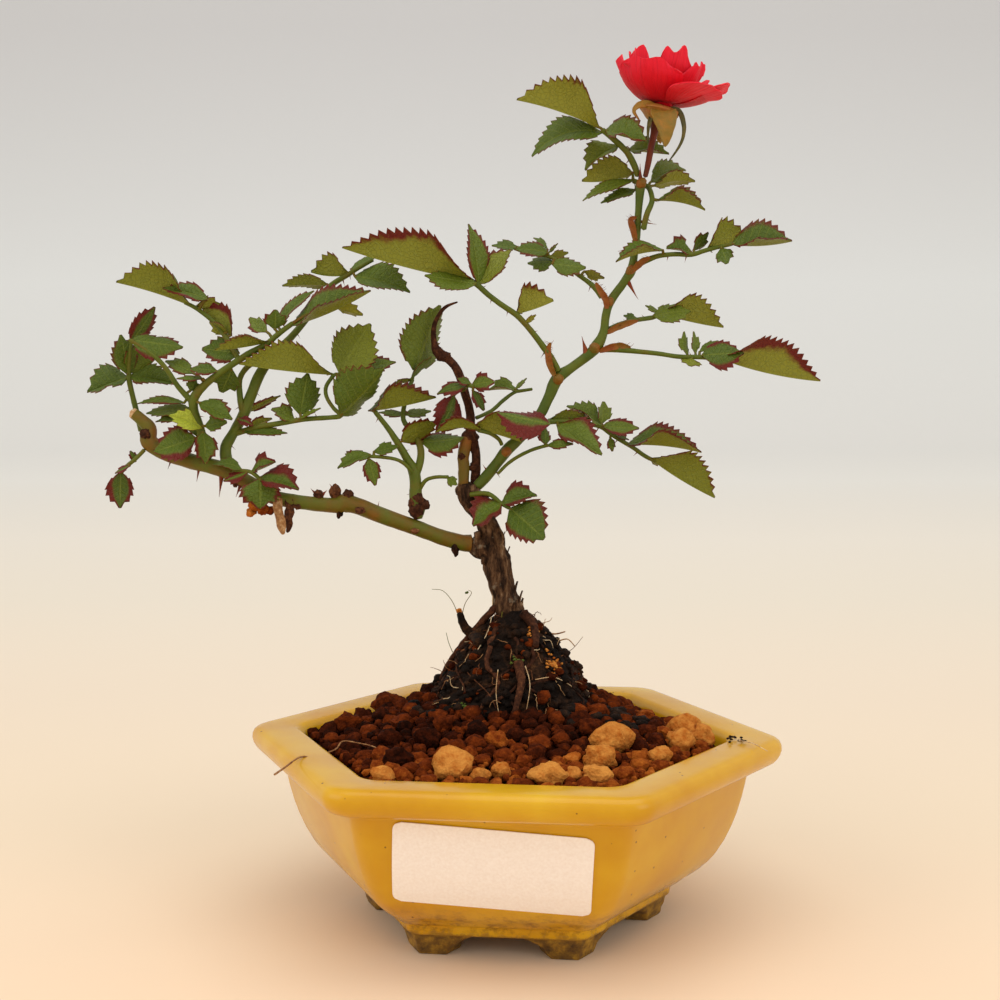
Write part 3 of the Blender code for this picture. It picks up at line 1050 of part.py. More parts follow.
        "stems": [[(-70.0, 106.6, -10.3, 0.5), (-67.6, 106.6, -11.0, 0.5),
                   (-65.4, 106.2, -11.5, 0.5), (-63.4, 104.6, -12.0, 0.5)]],
        "leaves": [
            (-65.2, 106.4, -59.2, 108.8, 4.0, 0.5, 3.7, 0.0, 0.3, 1.0),
            (-63.2, 104.9, -53.5, 101.7, 4.8, -0.8, 4.4, 0.2, 0.5, 1.5),
            (-63.3, 104.4, -63.4, 97.0, 5.3, -4.8, 4.8, 0.0, -0.6, -1.5),
            (-66.6, 106.0, -72.5, 104.0, 2.0, -1.4, 1.4, 0.0, -0.4, -1.0),
            (-67.8, 106.8, -75.2, 108.1, 1.9, -0.8, 1.4, 1.0, -0.2, 0.4),
        ],
    },
    "spray_left_tip": {
        "stems": [[(-92.2, 111.8, -9.1, 0.5), (-94.4, 109.6, -9.6, 0.5), (-96.6, 107.8, -9.8, 0.5),
                   (-98.2, 106.0, -10.0, 0.45)]],
        "leaves": [
            (-98.2, 106.2, -98.6, 97.1, 3.4, -3.0, 2.7, 0.0, -0.3, -1.0),
            (-96.0, 107.8, -99.7, 105.9, 1.2, -0.7, 0.8, 0.0, -1.1, -0.6),
            (-94.5, 109.0, -95.8, 111.6, 1.2, -0.7, 0.9, 0.0, 1.0, 0.4),
        ],
    },
    "spray_far_left": {
        "stems": [[(-92.9, 116.6, -5.0, 0.7), (-94.0, 121.5, -4.6, 0.7), (-95.0, 126.0, -4.4, 0.65),
                   (-95.7, 129.8, -4.4, 0.65), (-95.6, 133.5, -4.8, 0.5), (-94.9, 139.0, -5.4, 0.45)]],
        "leaves": [
            (-96.2, 129.8, -106.2, 126.1, 5.8, -0.9, 5.4, 0.2, 0.0, -3.0),
            (-96.0, 130.8, -97.6, 140.6, 3.4, -2.6, 2.6, 0.0, -0.4, 0.0),
            (-95.0, 138.8, -88.9, 147.5, 3.1, -2.3, 2.0, 0.0, 0.0, 1.0),
            (-95.6, 131.2, -90.6, 138.8, 4.0, -2.4, 3.5, 0.0, 0.6, 3.0),
            (-95.4, 130.4, -84.0, 128.2, 4.1, -1.0, 3.8, 0.3, 0.4, 4.0),
        ],
    },
}


def make_calyx(skin):
    """The flower stalk, the receptacle and five sepals bent down round it."""
    stalk = [(33.0, 179.4, 3.6, 0.55), (33.6, 182.6, 3.4, 0.75), (34.3, 186.6, 3.6, 0.85),
             (35.2, 190.6, 3.9, 1.1), (35.8, 193.2, 4.0, 2.4), (36.1, 194.6, 4.1, 3.8),
             (36.3, 195.4, 4.1, 4.2), (36.4, 196.0, 4.1, 2.6)]
    pieces = [tube("stalk", stalk, sides=8)]
    crown = (36.3, 195.0, 4.0)
    sepals = [
        ((37.2, 195.0, 0.0), (37.8, 191.0, -0.8), (37.8, 186.8, 0.2), 3.1),
        ((33.6, 195.4, 1.6), (31.0, 195.8, 1.2), (30.6, 192.9, 1.2), 1.5),
        ((34.6, 194.6, 2.8), (33.8, 192.2, 2.0), (33.6, 188.0, 2.6), 1.1),
        ((39.4, 195.2, 3.4), (42.2, 191.6, 3.4), (38.7, 183.1, 4.0), 1.0),
        ((36.6, 195.0, 7.4), (35.6, 192.0, 9.6), (36.6, 187.6, 8.6), 2.4),
    ]
    for k, (low, middle, tip, half) in enumerate(sepals):
        route = [Vector(crown), Vector(low), Vector(middle), (Vector(middle) + Vector(tip)) / 2, Vector(tip)]
        if k == 3:
            route = [Vector(crown), Vector(low), Vector(middle), Vector((41.7, 187.4, 3.8)), Vector(tip)]
        places = [seen(*p) for p in route]
        outward = places[2] - places[0]
        outward = Vector((outward.x, outward.y, 0)).normalized()
        across = Vector((0, 0, 1)).cross(outward)
        points = []
        for place, share in zip(places, (0.5, 1.0, 1.0, 0.7, 0.08)):
            wide = half * share
            points += [place - across * wide, place + outward * wide * 0.25, place + across * wide]
        triangles = []
        for row in range(0, 12, 3):
            a, b, c, d, e, f = range(row, row + 6)
            triangles += [(a, b, e), (a, e, d), (b, c, f), (b, f, e)]
        pieces.append(sheet("sepal", points, triangles, 0.7))
    return fused("calyx", pieces, skin, smooth=40)


# Petals from the outside in: heading about the flower's axis (0 faces the eye, 90 is right),
# half spread in degrees, reach from the axis, rise, how far the edge rolls out, depth of its notch
PETALS = [
    (-22, 52, 12.2, 12.4, 0.8, 0.6), (-86, 46, 13.4, 9.4, 1.6, 0.8), (42, 46, 16.0, 4.4, 1.0, 0.5),
    (96, 40, 17.2, 8.2, 2.2, 1.2), (150, 44, 14.5, 11.0, 2.0, 0.8), (-150, 46, 13.5, 12.2, 1.8, 0.8),
    (-48, 44, 10.4, 12.2, 0.2, 0.5), (20, 44, 10.0, 11.4, 0.2, 0.5), (88, 42, 11.0, 11.6, 0.6, 0.8),
    (168, 44, 10.2, 14.0, 0.4, 1.2), (-112, 44, 10.2, 12.8, 0.4, 0.6),
    (0, 50, 6.6, 11.4, -0.6, 0.4), (120, 50, 6.6, 12.2, -0.6, 0.4), (-120, 50, 6.6, 12.0, -0.6, 0.4),
]
BLOOM_PLACE = (36.2, 196.4, 4.2)
BLOOM_LEAN = math.radians(7)
PETAL_ROWS = 3
PETAL_COLUMNS = 4
CLAW_RADIUS = 1.4
FLAT_PETAL_RISE = 6.0
PETAL_SCALE = 0.86
CLAW_LIFT = 0.8


def petal(heading, spread, reach, rise, roll, notch, seed, scale):
    """One cupped petal about the flower's axis, from its narrow claw to its uneven edge."""
    points = []
    for row in range(PETAL_ROWS + 1):
        up = row / PETAL_ROWS
        if rise > FLAT_PETAL_RISE:
            out = CLAW_RADIUS + (reach - CLAW_RADIUS) * math.sin(up * math.pi / 2) ** 0.8
            height = rise * (1 - math.cos(up * math.pi / 2)) ** 0.8
        else:
            out = CLAW_RADIUS + (reach - CLAW_RADIUS) * up
            height = rise * up ** 1.5
        if up > 0.75:
            out += roll * (up - 0.75) * 4
        wide = math.radians(spread) * (0.45 + 0.55 * math.sin(math.pi * min(1, up * 0.62 + 0.12)))
        for column in range(PETAL_COLUMNS + 1):
            across = 2 * column / PETAL_COLUMNS - 1
            fall = 1 - (0.28 * abs(across) ** 2.4 + notch * 0.06 * math.cos(across * 7 + seed)) * up ** 3
            turn = math.radians(heading) + wide * across
            wave = 0.5 * math.sin(across * 6 + seed * 2.1) * up ** 2
            radius = (out + wave) * (1 - 0.06 * abs(across) * up)
            points.append(Vector((
                math.sin(turn) * radius * scale,
                -math.cos(turn) * radius * scale,
                height * fall * scale,
            )))
    wide = PETAL_COLUMNS + 1
    triangles = []
    for row in range(PETAL_ROWS):
        for column in range(PETAL_COLUMNS):
            a = row * wide + column
            triangles += [(a, a + 1, a + wide + 1), (a, a + wide + 1, a + wide)]
    return points, triangles


def make_bloom(skin):
    lean = Matrix.Rotation(BLOOM_LEAN, 3, "Y")
    foot = seen(*BLOOM_PLACE)
    pieces = []
    heart = [Vector((0, 0, 0.3)) + lean @ Vector((0, 0, z)) for z in (0, 2, 7, 11)]
    rings = []
    for place, radius in zip(heart, (1.6, 3.2, 3.8, 2.0)):
        rings.append([foot + place + lean @ Vector((math.cos(t) * radius, math.sin(t) * radius, 0))
                      for t in (2 * math.pi * k / 8 for k in range(8))])
    pieces.append(loft("heart", rings))
    for k, spec in enumerate(PETALS):
        points, triangles = petal(*spec, k, PETAL_SCALE)
        points = [foot + lean @ (p + Vector((0, 0, CLAW_LIFT))) for p in points]
        pieces.append(sheet("petal", points, triangles, PETAL_THICK))
    return fused("bloom", pieces, skin, smooth=45)


def main():
    clear_scene()
    whole = bpy.data.objects.new("rose_bonsai", None)
    bpy.context.collection.objects.link(whole)
    nodes = [
        make_pot(material("ochre_glaze", "C9901F", 0.16)),
        make_screen(material("mesh_plastic", "2B2B2B", 0.5)),
        make_label(material("label_paper", "EFE6DC", 0.45)),
        make_soil(material("fired_clay_soil", "8A4A22", 0.85)),
        make_mound(material("root_ball", "2E1D12", 0.9)),
        make_trunk(material("bark", "5A4030", 0.85)),
        make_branch(material("olive_bark", "6B5A1E", 0.55)),
        make_old_stems(material("old_wood", "5B3A28", 0.7)),
        make_shoot(material("green_shoot", "5A6A20", 0.45)),
        make_calyx(material("sepal", "8A6A20", 0.5)),
        make_bloom(material("petal", "B80A1C", 0.45)),
    ]
    greens = {
        "spray_top": "6F7A2A", "spray_upper": "7A7E34", "spray_right_upper": "7C7A3A",
        "spray_right_middle": "56662A", "spray_right_lower": "7E6A34", "spray_arch": "757A2C",
        "spray_centre_upper": "74804A", "spray_right_low": "66702C", "spray_low_small": "6A6A34",
        "spray_trunk": "6E5A28", "spray_centre_front": "8E9440", "spray_centre": "8A5A28",
        "sprig_centre": "7A8440", "shoots_middle": "6E6E2C", "shoot_left": "5E6A2C",
        "cluster_left": "76782E", "spray_left_low": "7A4A26", "spray_left_tip": "7A6A30",
        "spray_far_left": "5F7040",
    }
    for name, parts in SPRAYS.items():
        skin = material("leaf_" + name, greens[name], 0.5)
        nodes.append(make_spray(name, parts["stems"], parts["leaves"], skin, lumps=parts.get("lumps", ())))
    corners = [node.matrix_world @ v.co for node in nodes for v in node.data.vertices]
    low = [min(c[i] for c in corners) for i in range(3)]
    high = [max(c[i] for c in corners) for i in range(3)]
    whole.location = (-(low[0] + high[0]) / 2, -(low[1] + high[1]) / 2, 0)
    for node in nodes:
        node.parent = whole
    print("box in mm", [round((b - a) / MM, 1) for a, b in zip(low, high)], "lowest", round(low[2] / MM, 3))
    print("moved by mm", [round(c / MM, 2) for c in whole.location])
    total = 0
    for node in nodes:
        count = len(node.data.polygons)
        total += count
        print(node.name, count)
    print("triangles", total)


main()
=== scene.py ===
# %% [markdown]
# # A rose bonsai with one bloom, in a glazed hexagonal pot
#
# The imported solids are the fixed frame of this lesson: they say where each stem, leaf and wall
# is. Here every one of them gets its real surface. Leaves get their fine teeth and veins, the
# trunk its bark, the pot its glaze and the soil its hundreds of clay granules. First the frame is
# brought in, and a helper reads the box of any of its parts.

# %% Load the frame
import math
import random

import bpy
from mathutils import Matrix, Vector, noise


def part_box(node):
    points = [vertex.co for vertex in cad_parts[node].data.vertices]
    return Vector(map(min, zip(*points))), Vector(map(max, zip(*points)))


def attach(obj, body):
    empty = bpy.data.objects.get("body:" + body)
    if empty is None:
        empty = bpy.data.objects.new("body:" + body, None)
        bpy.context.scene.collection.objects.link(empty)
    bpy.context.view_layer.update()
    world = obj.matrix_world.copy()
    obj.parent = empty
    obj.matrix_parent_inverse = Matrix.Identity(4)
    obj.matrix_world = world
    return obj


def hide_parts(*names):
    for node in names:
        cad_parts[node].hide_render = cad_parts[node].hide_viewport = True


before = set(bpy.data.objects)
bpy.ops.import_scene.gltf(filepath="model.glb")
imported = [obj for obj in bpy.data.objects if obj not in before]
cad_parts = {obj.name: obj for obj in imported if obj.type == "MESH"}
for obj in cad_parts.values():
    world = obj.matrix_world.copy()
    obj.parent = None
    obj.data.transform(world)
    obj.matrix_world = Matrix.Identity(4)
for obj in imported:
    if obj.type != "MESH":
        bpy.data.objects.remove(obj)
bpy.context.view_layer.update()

bpy.ops.object.select_all(action="DESELECT")

# %% [markdown]
# ## Places
#
# All sizes below are millimetres about the middle of the pot, with its feet on z = 0. The plant's
# places are written as (x, z) read across the plane of the trunk from one viewpoint in front of
# the pot, and a depth beyond that plane. Moving a place along its line of sight keeps the
# outline from the front and still gives the plant its depth.

# %% Millimetres to the world
MM = 0.001
EYE = Vector((-3.0, -341.0, 127.0))
PLANE_Y = 20.0
READING_FLOOR = 1.5
pot_low, pot_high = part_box("pot")
SHIFT = Vector(((pot_low[0] + pot_high[0]) / 2, (pot_low[1] + pot_high[1]) / 2, 0))
print("pot stands", [round(c / MM, 2) for c in SHIFT], "mm from the world origin")


def seen(x, z, depth=0.0):
    in_plane = Vector((x, PLANE_Y, z))
    reach = 1 + depth / (PLANE_Y - EYE.y)
    return EYE + (in_plane - EYE) * reach - Vector((0, 0, READING_FLOOR))


# %% [markdown]
# ## Camera
#
# The photograph was taken from just above the plant's middle, a little under half a metre away,
# with the lens tipped down by 4.4 degrees. The lens is a normal one: 52 mm on a 36 mm sensor.

# %% Camera
VIEW_PITCH = math.radians(4.4)
LENS, SENSOR = 51.84, 36.0
eye_world = SHIFT + (EYE - Vector((0, 0, READING_FLOOR))) * MM
bpy.ops.object.camera_add(location=eye_world, rotation=(math.radians(90) - VIEW_PITCH, 0, 0))
camera = bpy.context.object
camera.name = "studio_camera"
camera.data.lens = LENS
camera.data.sensor_width = SENSOR
camera.data.clip_start = 0.01
bpy.context.scene.camera = camera
bpy.context.scene.view_settings.view_transform = "Standard"
print("camera at", [round(c, 3) for c in camera.location])

# %% [markdown]
# ## A helper for materials
#
# A material is a small graph of nodes. One function adds any node, sets its options, and joins
# its inputs, and short ones beside it add the kinds that come up most, so a material below reads
# as a list of the things that make up its look. Colours
# are written as they appear on a screen and are turned to linear light by one function.

# %% Colours and nodes
def srgb(value):
    channels = [int(value[i : i + 2], 16) / 255 for i in (0, 2, 4)]
    return [c / 12.92 if c <= 0.04045 else ((c + 0.055) / 1.055) ** 2.4 for c in channels] + [1.0]


def add(tree, kind, feeds=None, **settings):
    """Adds a node. feeds maps an input to a value or to a socket."""
    made = tree.nodes.new(kind)
    for key, value in settings.items():
        setattr(made, key, value)
    for key, value in (feeds or {}).items():
        if isinstance(value, bpy.types.NodeSocket):
            tree.links.new(value, made.inputs[key])
        else:
            made.inputs[key].default_value = value
    return made


def finish_named(name, **sockets):
    """A new material with its shader's constant values set, and the piece's own coordinates."""
    made = bpy.data.materials.new(name)
    made.use_nodes = True
    tree = made.node_tree
    shader = tree.nodes["Principled BSDF"]
    for key, value in sockets.items():
        shader.inputs[key.replace("_", " ")].default_value = value
    return made, tree, shader, add(tree, "ShaderNodeTexCoord").outputs["Object"]


def per_mm(size):
    """The texture scale that makes a pattern's features about this many millimetres wide."""
    return 1.0 / (size * MM)


def clouds(tree, coords, size, detail, roughness=0.5):
    """Soft noise with features about size millimetres wide."""
    feeds = {"Vector": coords, "Scale": per_mm(size), "Detail": detail, "Roughness": roughness}
    return add(tree, "ShaderNodeTexNoise", feeds).outputs["Fac"]


def kept_value(tree, name):
    """A value kept on every face of a piece, such as how far it has reddened."""
    return add(tree, "ShaderNodeAttribute", attribute_name=name).outputs["Fac"]


def maths(tree, operation, *terms, clamp=False):
    made = add(tree, "ShaderNodeMath", dict(enumerate(terms)), operation=operation, use_clamp=clamp)
    return made.outputs[0]


def mapped(tree, value, low, high, out_low=0.0, out_high=1.0, soft=False):
    """Stretches a value from one range to another and holds it inside."""
    feeds = {0: value, 1: low, 2: high, 3: out_low, 4: out_high}
    kind = "SMOOTHSTEP" if soft else "LINEAR"
    return add(tree, "ShaderNodeMapRange", feeds, interpolation_type=kind).outputs[0]


def blend(tree, share, first, second):
    """Mixes two colours. A share of 0 is all of the first."""
    return add(tree, "ShaderNodeMix", {0: share, 6: first, 7: second}, data_type="RGBA").outputs[2]


def shades(tree, value, stops):
    """Turns a value into a colour. Each stop is a value and the colour there."""
    made = add(tree, "ShaderNodeValToRGB", {0: value})
    spots = made.color_ramp.elements
    while len(spots) > 1:
        spots.remove(spots[-1])
    for order, (place, colour) in enumerate(stops):
        spot = spots[0] if order == 0 else spots.new(place)
        spot.position = place
        spot.color = srgb(colour)
    return made.outputs[0]


def emboss(tree, shader, height, strength, depth):
    """Raises the skin by a pattern, at most depth millimetres."""
    bump = add(tree, "ShaderNodeBump", {"Strength": strength, "Distance": depth * MM, "Height": height})
    tree.links.new(bump.outputs[0], shader.inputs["Normal"])


# %% [markdown]
# ## Floor and light
#
# The plant stands on a plain pale sheet that curves up behind it, as in a small product studio.
# A plane is extruded up at its far edge and the fold is bevelled round. Three large soft lights
# and a pale sky give the soft shadow and the broad gleams on the glaze, and a fourth light
# brightens the backdrop.

# %% Studio sheet
bpy.ops.mesh.primitive_plane_add(size=6.0, location=(0, 1.2, 0))
sheet = bpy.context.object
sheet.name = "studio_sheet"
bpy.ops.object.mode_set(mode="EDIT")
bpy.ops.mesh.select_mode(type="EDGE")
bpy.ops.mesh.select_all(action="DESELECT")
bpy.ops.object.mode_set(mode="OBJECT")
for edge in sheet.data.edges:
    edge.select = all(sheet.data.vertices[i].co.y > 2.9 for i in edge.vertices)
bpy.ops.object.mode_set(mode="EDIT")
bpy.ops.mesh.extrude_region_move(TRANSFORM_OT_translate={"value": (0, 0, 5.0)})
bpy.ops.object.mode_set(mode="OBJECT")
bpy.ops.object.transform_apply()
fold = sheet.modifiers.new("fold", "BEVEL")
fold.width = 1.6
fold.segments = 24
fold.angle_limit = math.radians(30)
bpy.ops.object.modifier_apply(modifier="fold")
bpy.ops.object.shade_smooth()

# Painted light on the paper, from near the eye to high on the wall: warm near the eye, brightest in the
# middle and greyer high up, where less light reaches
PAINTED_PAPER_LIGHT = [(0.005, "EED4B8"), (0.03, "E8D6BE"), (0.06, "E6D7C4"), (0.11, "E8DFD0"), (0.17, "F0E9DD"),
               (0.31, "F7F4EC"), (0.55, "F6F4EE"), (0.75, "F4F4F0"), (0.98, "E0DEDC")]
paper, tree, shader, coords = finish_named("matt_backdrop_paper", Roughness=0.9, Specular_IOR_Level=0.1)
# The paper's colour follows its height and depth: painted light and shade across one plain sheet
spots = add(tree, "ShaderNodeSeparateXYZ", {0: coords})
path = maths(tree, "ADD", spots.outputs["Y"], spots.outputs["Z"])
run = mapped(tree, path, -0.1, 5.5)
tone = shades(tree, run, PAINTED_PAPER_LIGHT)
tree.links.new(tone, shader.inputs["Base Color"])
sheet.data.materials.append(paper)
print("studio sheet", len(sheet.data.polygons), "faces")

# %% Lights
def softbox(name, place, aim, size, power, tint):
    bpy.ops.object.light_add(type="AREA", location=place)
    lamp = bpy.context.object
    lamp.name = name
    lamp.rotation_euler = (Vector(aim) - Vector(place)).to_track_quat("-Z", "Y").to_euler()
    lamp.data.shape = "RECTANGLE"
    lamp.data.size, lamp.data.size_y = size
    lamp.data.energy = power
    lamp.data.color = srgb(tint)[:3]


softbox("light_overhead", (0.1, -0.2, 1.15), (0, 0, 0.05), (1.3, 1.1), 6.5, "FFF8EE")
softbox("light_left", (-1.0, -0.45, 0.6), (0, 0, 0.08), (0.9, 0.9), 3.3, "FFF6EA")
softbox("light_right", (0.95, -0.75, 0.5), (0, 0, 0.1), (0.7, 0.8), 2.3, "FFFFFF")
softbox("light_backdrop", (0, 1.8, 3.0), (0, 4.0, 0.8), (3.0, 0.8), 10.0, "E4EAFF")

world = bpy.data.worlds.new("studio_air") if bpy.context.scene.world is None else bpy.context.scene.world
bpy.context.scene.world = world
world.use_nodes = True
sky = world.node_tree.nodes["Background"]
sky.inputs["Color"].default_value = srgb("FAF8F4")
sky.inputs["Strength"].default_value = 0.78



# %% [markdown]
# ## Glaze and biscuit clay
#
# The pot is stoneware, dipped in an ochre glaze and fired. The glaze is glass: smooth, with a
# clear gleam, a little darker in streaks low on the body and broken by fine specks and pinholes. The
# feet stood on the kiln shelf, so they are bare brown clay with runs of glaze and old dirt.

# %% Stoneware with ochre glaze
glaze, tree, shader, coords = finish_named("stoneware_ochre_glaze_dipped", Specular_IOR_Level=0.3,
                                           Coat_Weight=0.12, Coat_Roughness=0.12)
height = add(tree, "ShaderNodeSeparateXYZ", {0: coords}).outputs["Z"]
cloud = clouds(tree, coords, 22, 4.0)
body = shades(tree, cloud, [(0.3, "C48B0A"), (0.52, "CF9C10"), (0.72, "D8AC1E")])
specks = add(tree, "ShaderNodeTexVoronoi", {"Vector": coords, "Scale": per_mm(2.6)})
speck_size = mapped(tree, specks.outputs["Distance"], 0.06, 0.12, 1.0, 0.0)
chance = add(tree, "ShaderNodeSeparateXYZ", {0: specks.outputs["Color"]}).outputs["X"]
speck_rare = maths(tree, "GREATER_THAN", chance, 0.8)
speck = maths(tree, "MULTIPLY", speck_size, speck_rare)
# Darker in streaks low on the body, fading out between 8 and 17 mm up
low = mapped(tree, height, 0.008, 0.017, 1.0, 0.0, soft=True)
streaks = clouds(tree, coords, 3.2, 6.0, 0.7)
streak_share = mapped(tree, streaks, 0.46, 0.66)
low_streak_share = maths(tree, "MULTIPLY", low, streak_share)
darker_low = blend(tree, low_streak_share, body, srgb("7E560A"))
dotted = blend(tree, speck, darker_low, srgb("4A2C0C"))
ragged = maths(tree, "MULTIPLY", streaks, 0.004)
edge_at = maths(tree, "SUBTRACT", ragged, height)
bare = mapped(tree, edge_at, -0.0045, -0.0028, soft=True)
clay = shades(tree, streaks, [(0.3, "3E2A10"), (0.46, "6E4E18"), (0.58, "97701E"), (0.72, "B8902E")])
whole = blend(tree, bare, dotted, clay)
tree.links.new(whole, shader.inputs["Base Color"])
gloss = mapped(tree, bare, 0.0, 1.0, 0.24, 0.75)
tree.links.new(gloss, shader.inputs["Roughness"])
ripple = clouds(tree, coords, 9, 1.0)
rough_clay = maths(tree, "MULTIPLY", streaks, bare)
relief = maths(tree, "ADD", ripple, rough_clay)
pits = maths(tree, "SUBTRACT", relief, speck)
emboss(tree, shader, pits, 0.16, 0.8)
print("glaze nodes", len(tree.nodes))

# %% [markdown]
# ## Soil, compost, bark and stems
#
# The soil is akadama, a granular clay baked from red volcanic earth: dull, porous and crumbly,
# nearly chocolate where it is wet and tan where it has dried. A value kept on every granule says
# how dry it is. The old bark is grey-brown and cracked, the young stems are green with a waxy
# skin that reddens in the sun, and a value on each stem says how far it has reddened.

# %% Fired clay granules
clay_grain, tree, shader, coords = finish_named("akadama_clay_sieved", Roughness=0.95,
                                                Specular_IOR_Level=0.05)
dry = kept_value(tree, "tint")
mottle = clouds(tree, coords, 1.6, 5.0, 0.65)
spread = mapped(tree, mottle, 0.3, 0.7, -0.16, 0.16)
shade = maths(tree, "ADD", dry, spread, clamp=True)
tone = shades(tree, shade, [(0.0, "1A0803"), (0.22, "3E1606"), (0.45, "6E2E0C"), (0.7, "A65A1E"),
                            (1.0, "CC8A40")])
tree.links.new(tone, shader.inputs["Base Color"])
pores = add(tree, "ShaderNodeTexVoronoi", {"Vector": coords, "Scale": per_mm(0.7)})
lumps = maths(tree, "ADD", pores.outputs["Distance"], mottle)
emboss(tree, shader, lumps, 0.7, 0.4)


# %% Compost, roots and fibres
compost, tree, shader, coords = finish_named("wet_compost_packed", Roughness=0.75, Specular_IOR_Level=0.12)
crumb = clouds(tree, coords, 1.3, 8.0, 0.75)
patch = clouds(tree, coords, 7.0, 3.0)
both = maths(tree, "MULTIPLY", crumb, patch)
tone = shades(tree, both, [(0.12, "080503"), (0.24, "1C110A"), (0.34, "3A2415"), (0.46, "6A4527")])
tree.links.new(tone, shader.inputs["Base Color"])
emboss(tree, shader, crumb, 1.0, 1.2)

root_skin, tree, shader, coords = finish_named("root_bark_fibrous", Roughness=0.85, Specular_IOR_Level=0.1)
pale = kept_value(tree, "tint")
grain = clouds(tree, coords, 1.1, 6.0, 0.7)
spread = mapped(tree, grain, 0.3, 0.7, -0.22, 0.22)
shade = maths(tree, "ADD", pale, spread, clamp=True)
tone = shades(tree, shade, [(0.0, "120A06"), (0.3, "46281A"), (0.55, "76492C"), (0.8, "AE8458"),
                            (1.0, "DCC49C")])
tree.links.new(tone, shader.inputs["Base Color"])
emboss(tree, shader, grain, 0.6, 0.3)

# %% Old cracked bark
bark, tree, shader, coords = finish_named("old_rose_bark_cracked", Roughness=0.85, Specular_IOR_Level=0.12)
tall = add(tree, "ShaderNodeMapping", {"Vector": coords, "Scale": (1.0, 1.0, 0.28)})
plates = clouds(tree, tall.outputs[0], 1.7, 7.0, 0.7)
fleck = clouds(tree, coords, 3.4, 3.0)
tone = shades(tree, plates, [(0.34, "130B06"), (0.44, "38261A"), (0.54, "5E432E"), (0.64, "84664A"),
                             (0.76, "B29C82")])
mossy = mapped(tree, fleck, 0.64, 0.74, 0.0, 0.7)
skin = blend(tree, mossy, tone, srgb("A59A84"))
tree.links.new(skin, shader.inputs["Base Color"])
emboss(tree, shader, plates, 1.0, 0.9)


# %% Green, olive and red stems
stem_skin, tree, shader, coords = finish_named("rose_stem_waxy", Roughness=0.48, Specular_IOR_Level=0.22)
warm = kept_value(tree, "warm")
blush = clouds(tree, coords, 5.0, 3.0)
spread = mapped(tree, blush, 0.3, 0.7, -0.14, 0.14)
shade = maths(tree, "ADD", warm, spread, clamp=True)
tone = shades(tree, shade, [(0.0, "465614"), (0.2, "586218"), (0.4, "6A5416"), (0.55, "86521A"),
                            (0.75, "7C3416"), (1.0, "4E1E12")])
lenticels = add(tree, "ShaderNodeTexVoronoi", {"Vector": coords, "Scale": per_mm(1.5)})
dots = mapped(tree, lenticels.outputs["Distance"], 0.1, 0.2, 0.55, 0.0)
skin = blend(tree, dots, tone, srgb("5C4420"))
tree.links.new(skin, shader.inputs["Base Color"])
fine = clouds(tree, coords, 0.8, 4.0)
emboss(tree, shader, fine, 0.35, 0.2)
print("stem and bark finishes made")

# %% [markdown]
# ## Leaves
#
# A rose leaflet is dark and faintly glossy above, paler and matt below. Side veins run out from
# the midrib at an angle, the surface swells between them, and cold nights have turned the teeth
# and margins red-brown. The veins and margins follow the blade, so they are drawn from its own
# UV map: across the blade is 0 to 1 with the midrib at one half, and along it is 0 to 1.

# %% Leaf blade
leaf_skin, tree, shader, coords = finish_named("rose_leaf_blade", Roughness=0.45, Specular_IOR_Level=0.24)
blade_map = add(tree, "ShaderNodeUVMap", uv_map="blade").outputs[0]
parts = add(tree, "ShaderNodeSeparateXYZ", {0: blade_map})
off = maths(tree, "SUBTRACT", parts.outputs[0], 0.5)
half = maths(tree, "ABSOLUTE", off)
across = maths(tree, "MULTIPLY", half, 2.0)
along = parts.outputs[1]
warm = kept_value(tree, "warm")
tint = kept_value(tree, "tint")
under = kept_value(tree, "under")
lean = maths(tree, "MULTIPLY_ADD", across, -0.2, along)
pairs = maths(tree, "MULTIPLY", lean, 8.0)
side_vein = maths(tree, "PINGPONG", pairs, 0.5)
vein_line = mapped(tree, side_vein, 0.0, 0.1, 1.0, 0.0, soft=True)
rib_line = mapped(tree, across, 0.02, 0.1, 1.0, 0.0, soft=True)
veins = maths(tree, "MAXIMUM", vein_line, rib_line)
mesh_veins = add(tree, "ShaderNodeTexVoronoi", {"Vector": coords, "Scale": per_mm(1.0)},
                 feature="DISTANCE_TO_EDGE")
fine_net = mapped(tree, mesh_veins.outputs["Distance"], 0.0, 0.12, 1.0, 0.0)
green = shades(tree, tint, [(0.0, "3E5010"), (0.5, "546618"), (1.0, "727C20")])
back = shades(tree, tint, [(0.0, "68741E"), (0.5, "7E8228"), (1.0, "929032")])
side = blend(tree, under, green, back)
young = mapped(tree, warm, -0.1, -0.5)
face = blend(tree, young, side, srgb("A4AE34"))
vein_mix = maths(tree, "MULTIPLY", veins, 0.3)
veined = blend(tree, vein_mix, face, srgb("8A9236"))
net_mix = maths(tree, "MULTIPLY", fine_net, 0.12)
netted = blend(tree, net_mix, veined, srgb("36460E"))
blotch = clouds(tree, coords, 5.5, 5.0, 0.6)
patchy = maths(tree, "MULTIPLY", blotch, 0.6)
reach = maths(tree, "MULTIPLY_ADD", across, 0.72, patchy)
more = maths(tree, "MULTIPLY_ADD", warm, 0.62, reach)
turned = mapped(tree, more, 1.0, 1.2, soft=True)
rust = shades(tree, more, [(0.5, "8E5416"), (0.8, "8C3A12"), (1.1, "641A10")])
reddened = blend(tree, turned, netted, rust)
rim_noise = clouds(tree, coords, 2.2, 3.0)
rim_at = maths(tree, "MULTIPLY_ADD", rim_noise, 0.24, across)
margin = mapped(tree, rim_at, 1.05, 1.12, soft=True)
edged = blend(tree, margin, reddened, srgb("642810"))
tree.links.new(edged, shader.inputs["Base Color"])
swell = maths(tree, "MULTIPLY_ADD", veins, -1.0, fine_net)
emboss(tree, shader, swell, 0.45, 0.4)
print("leaf nodes", len(tree.nodes))
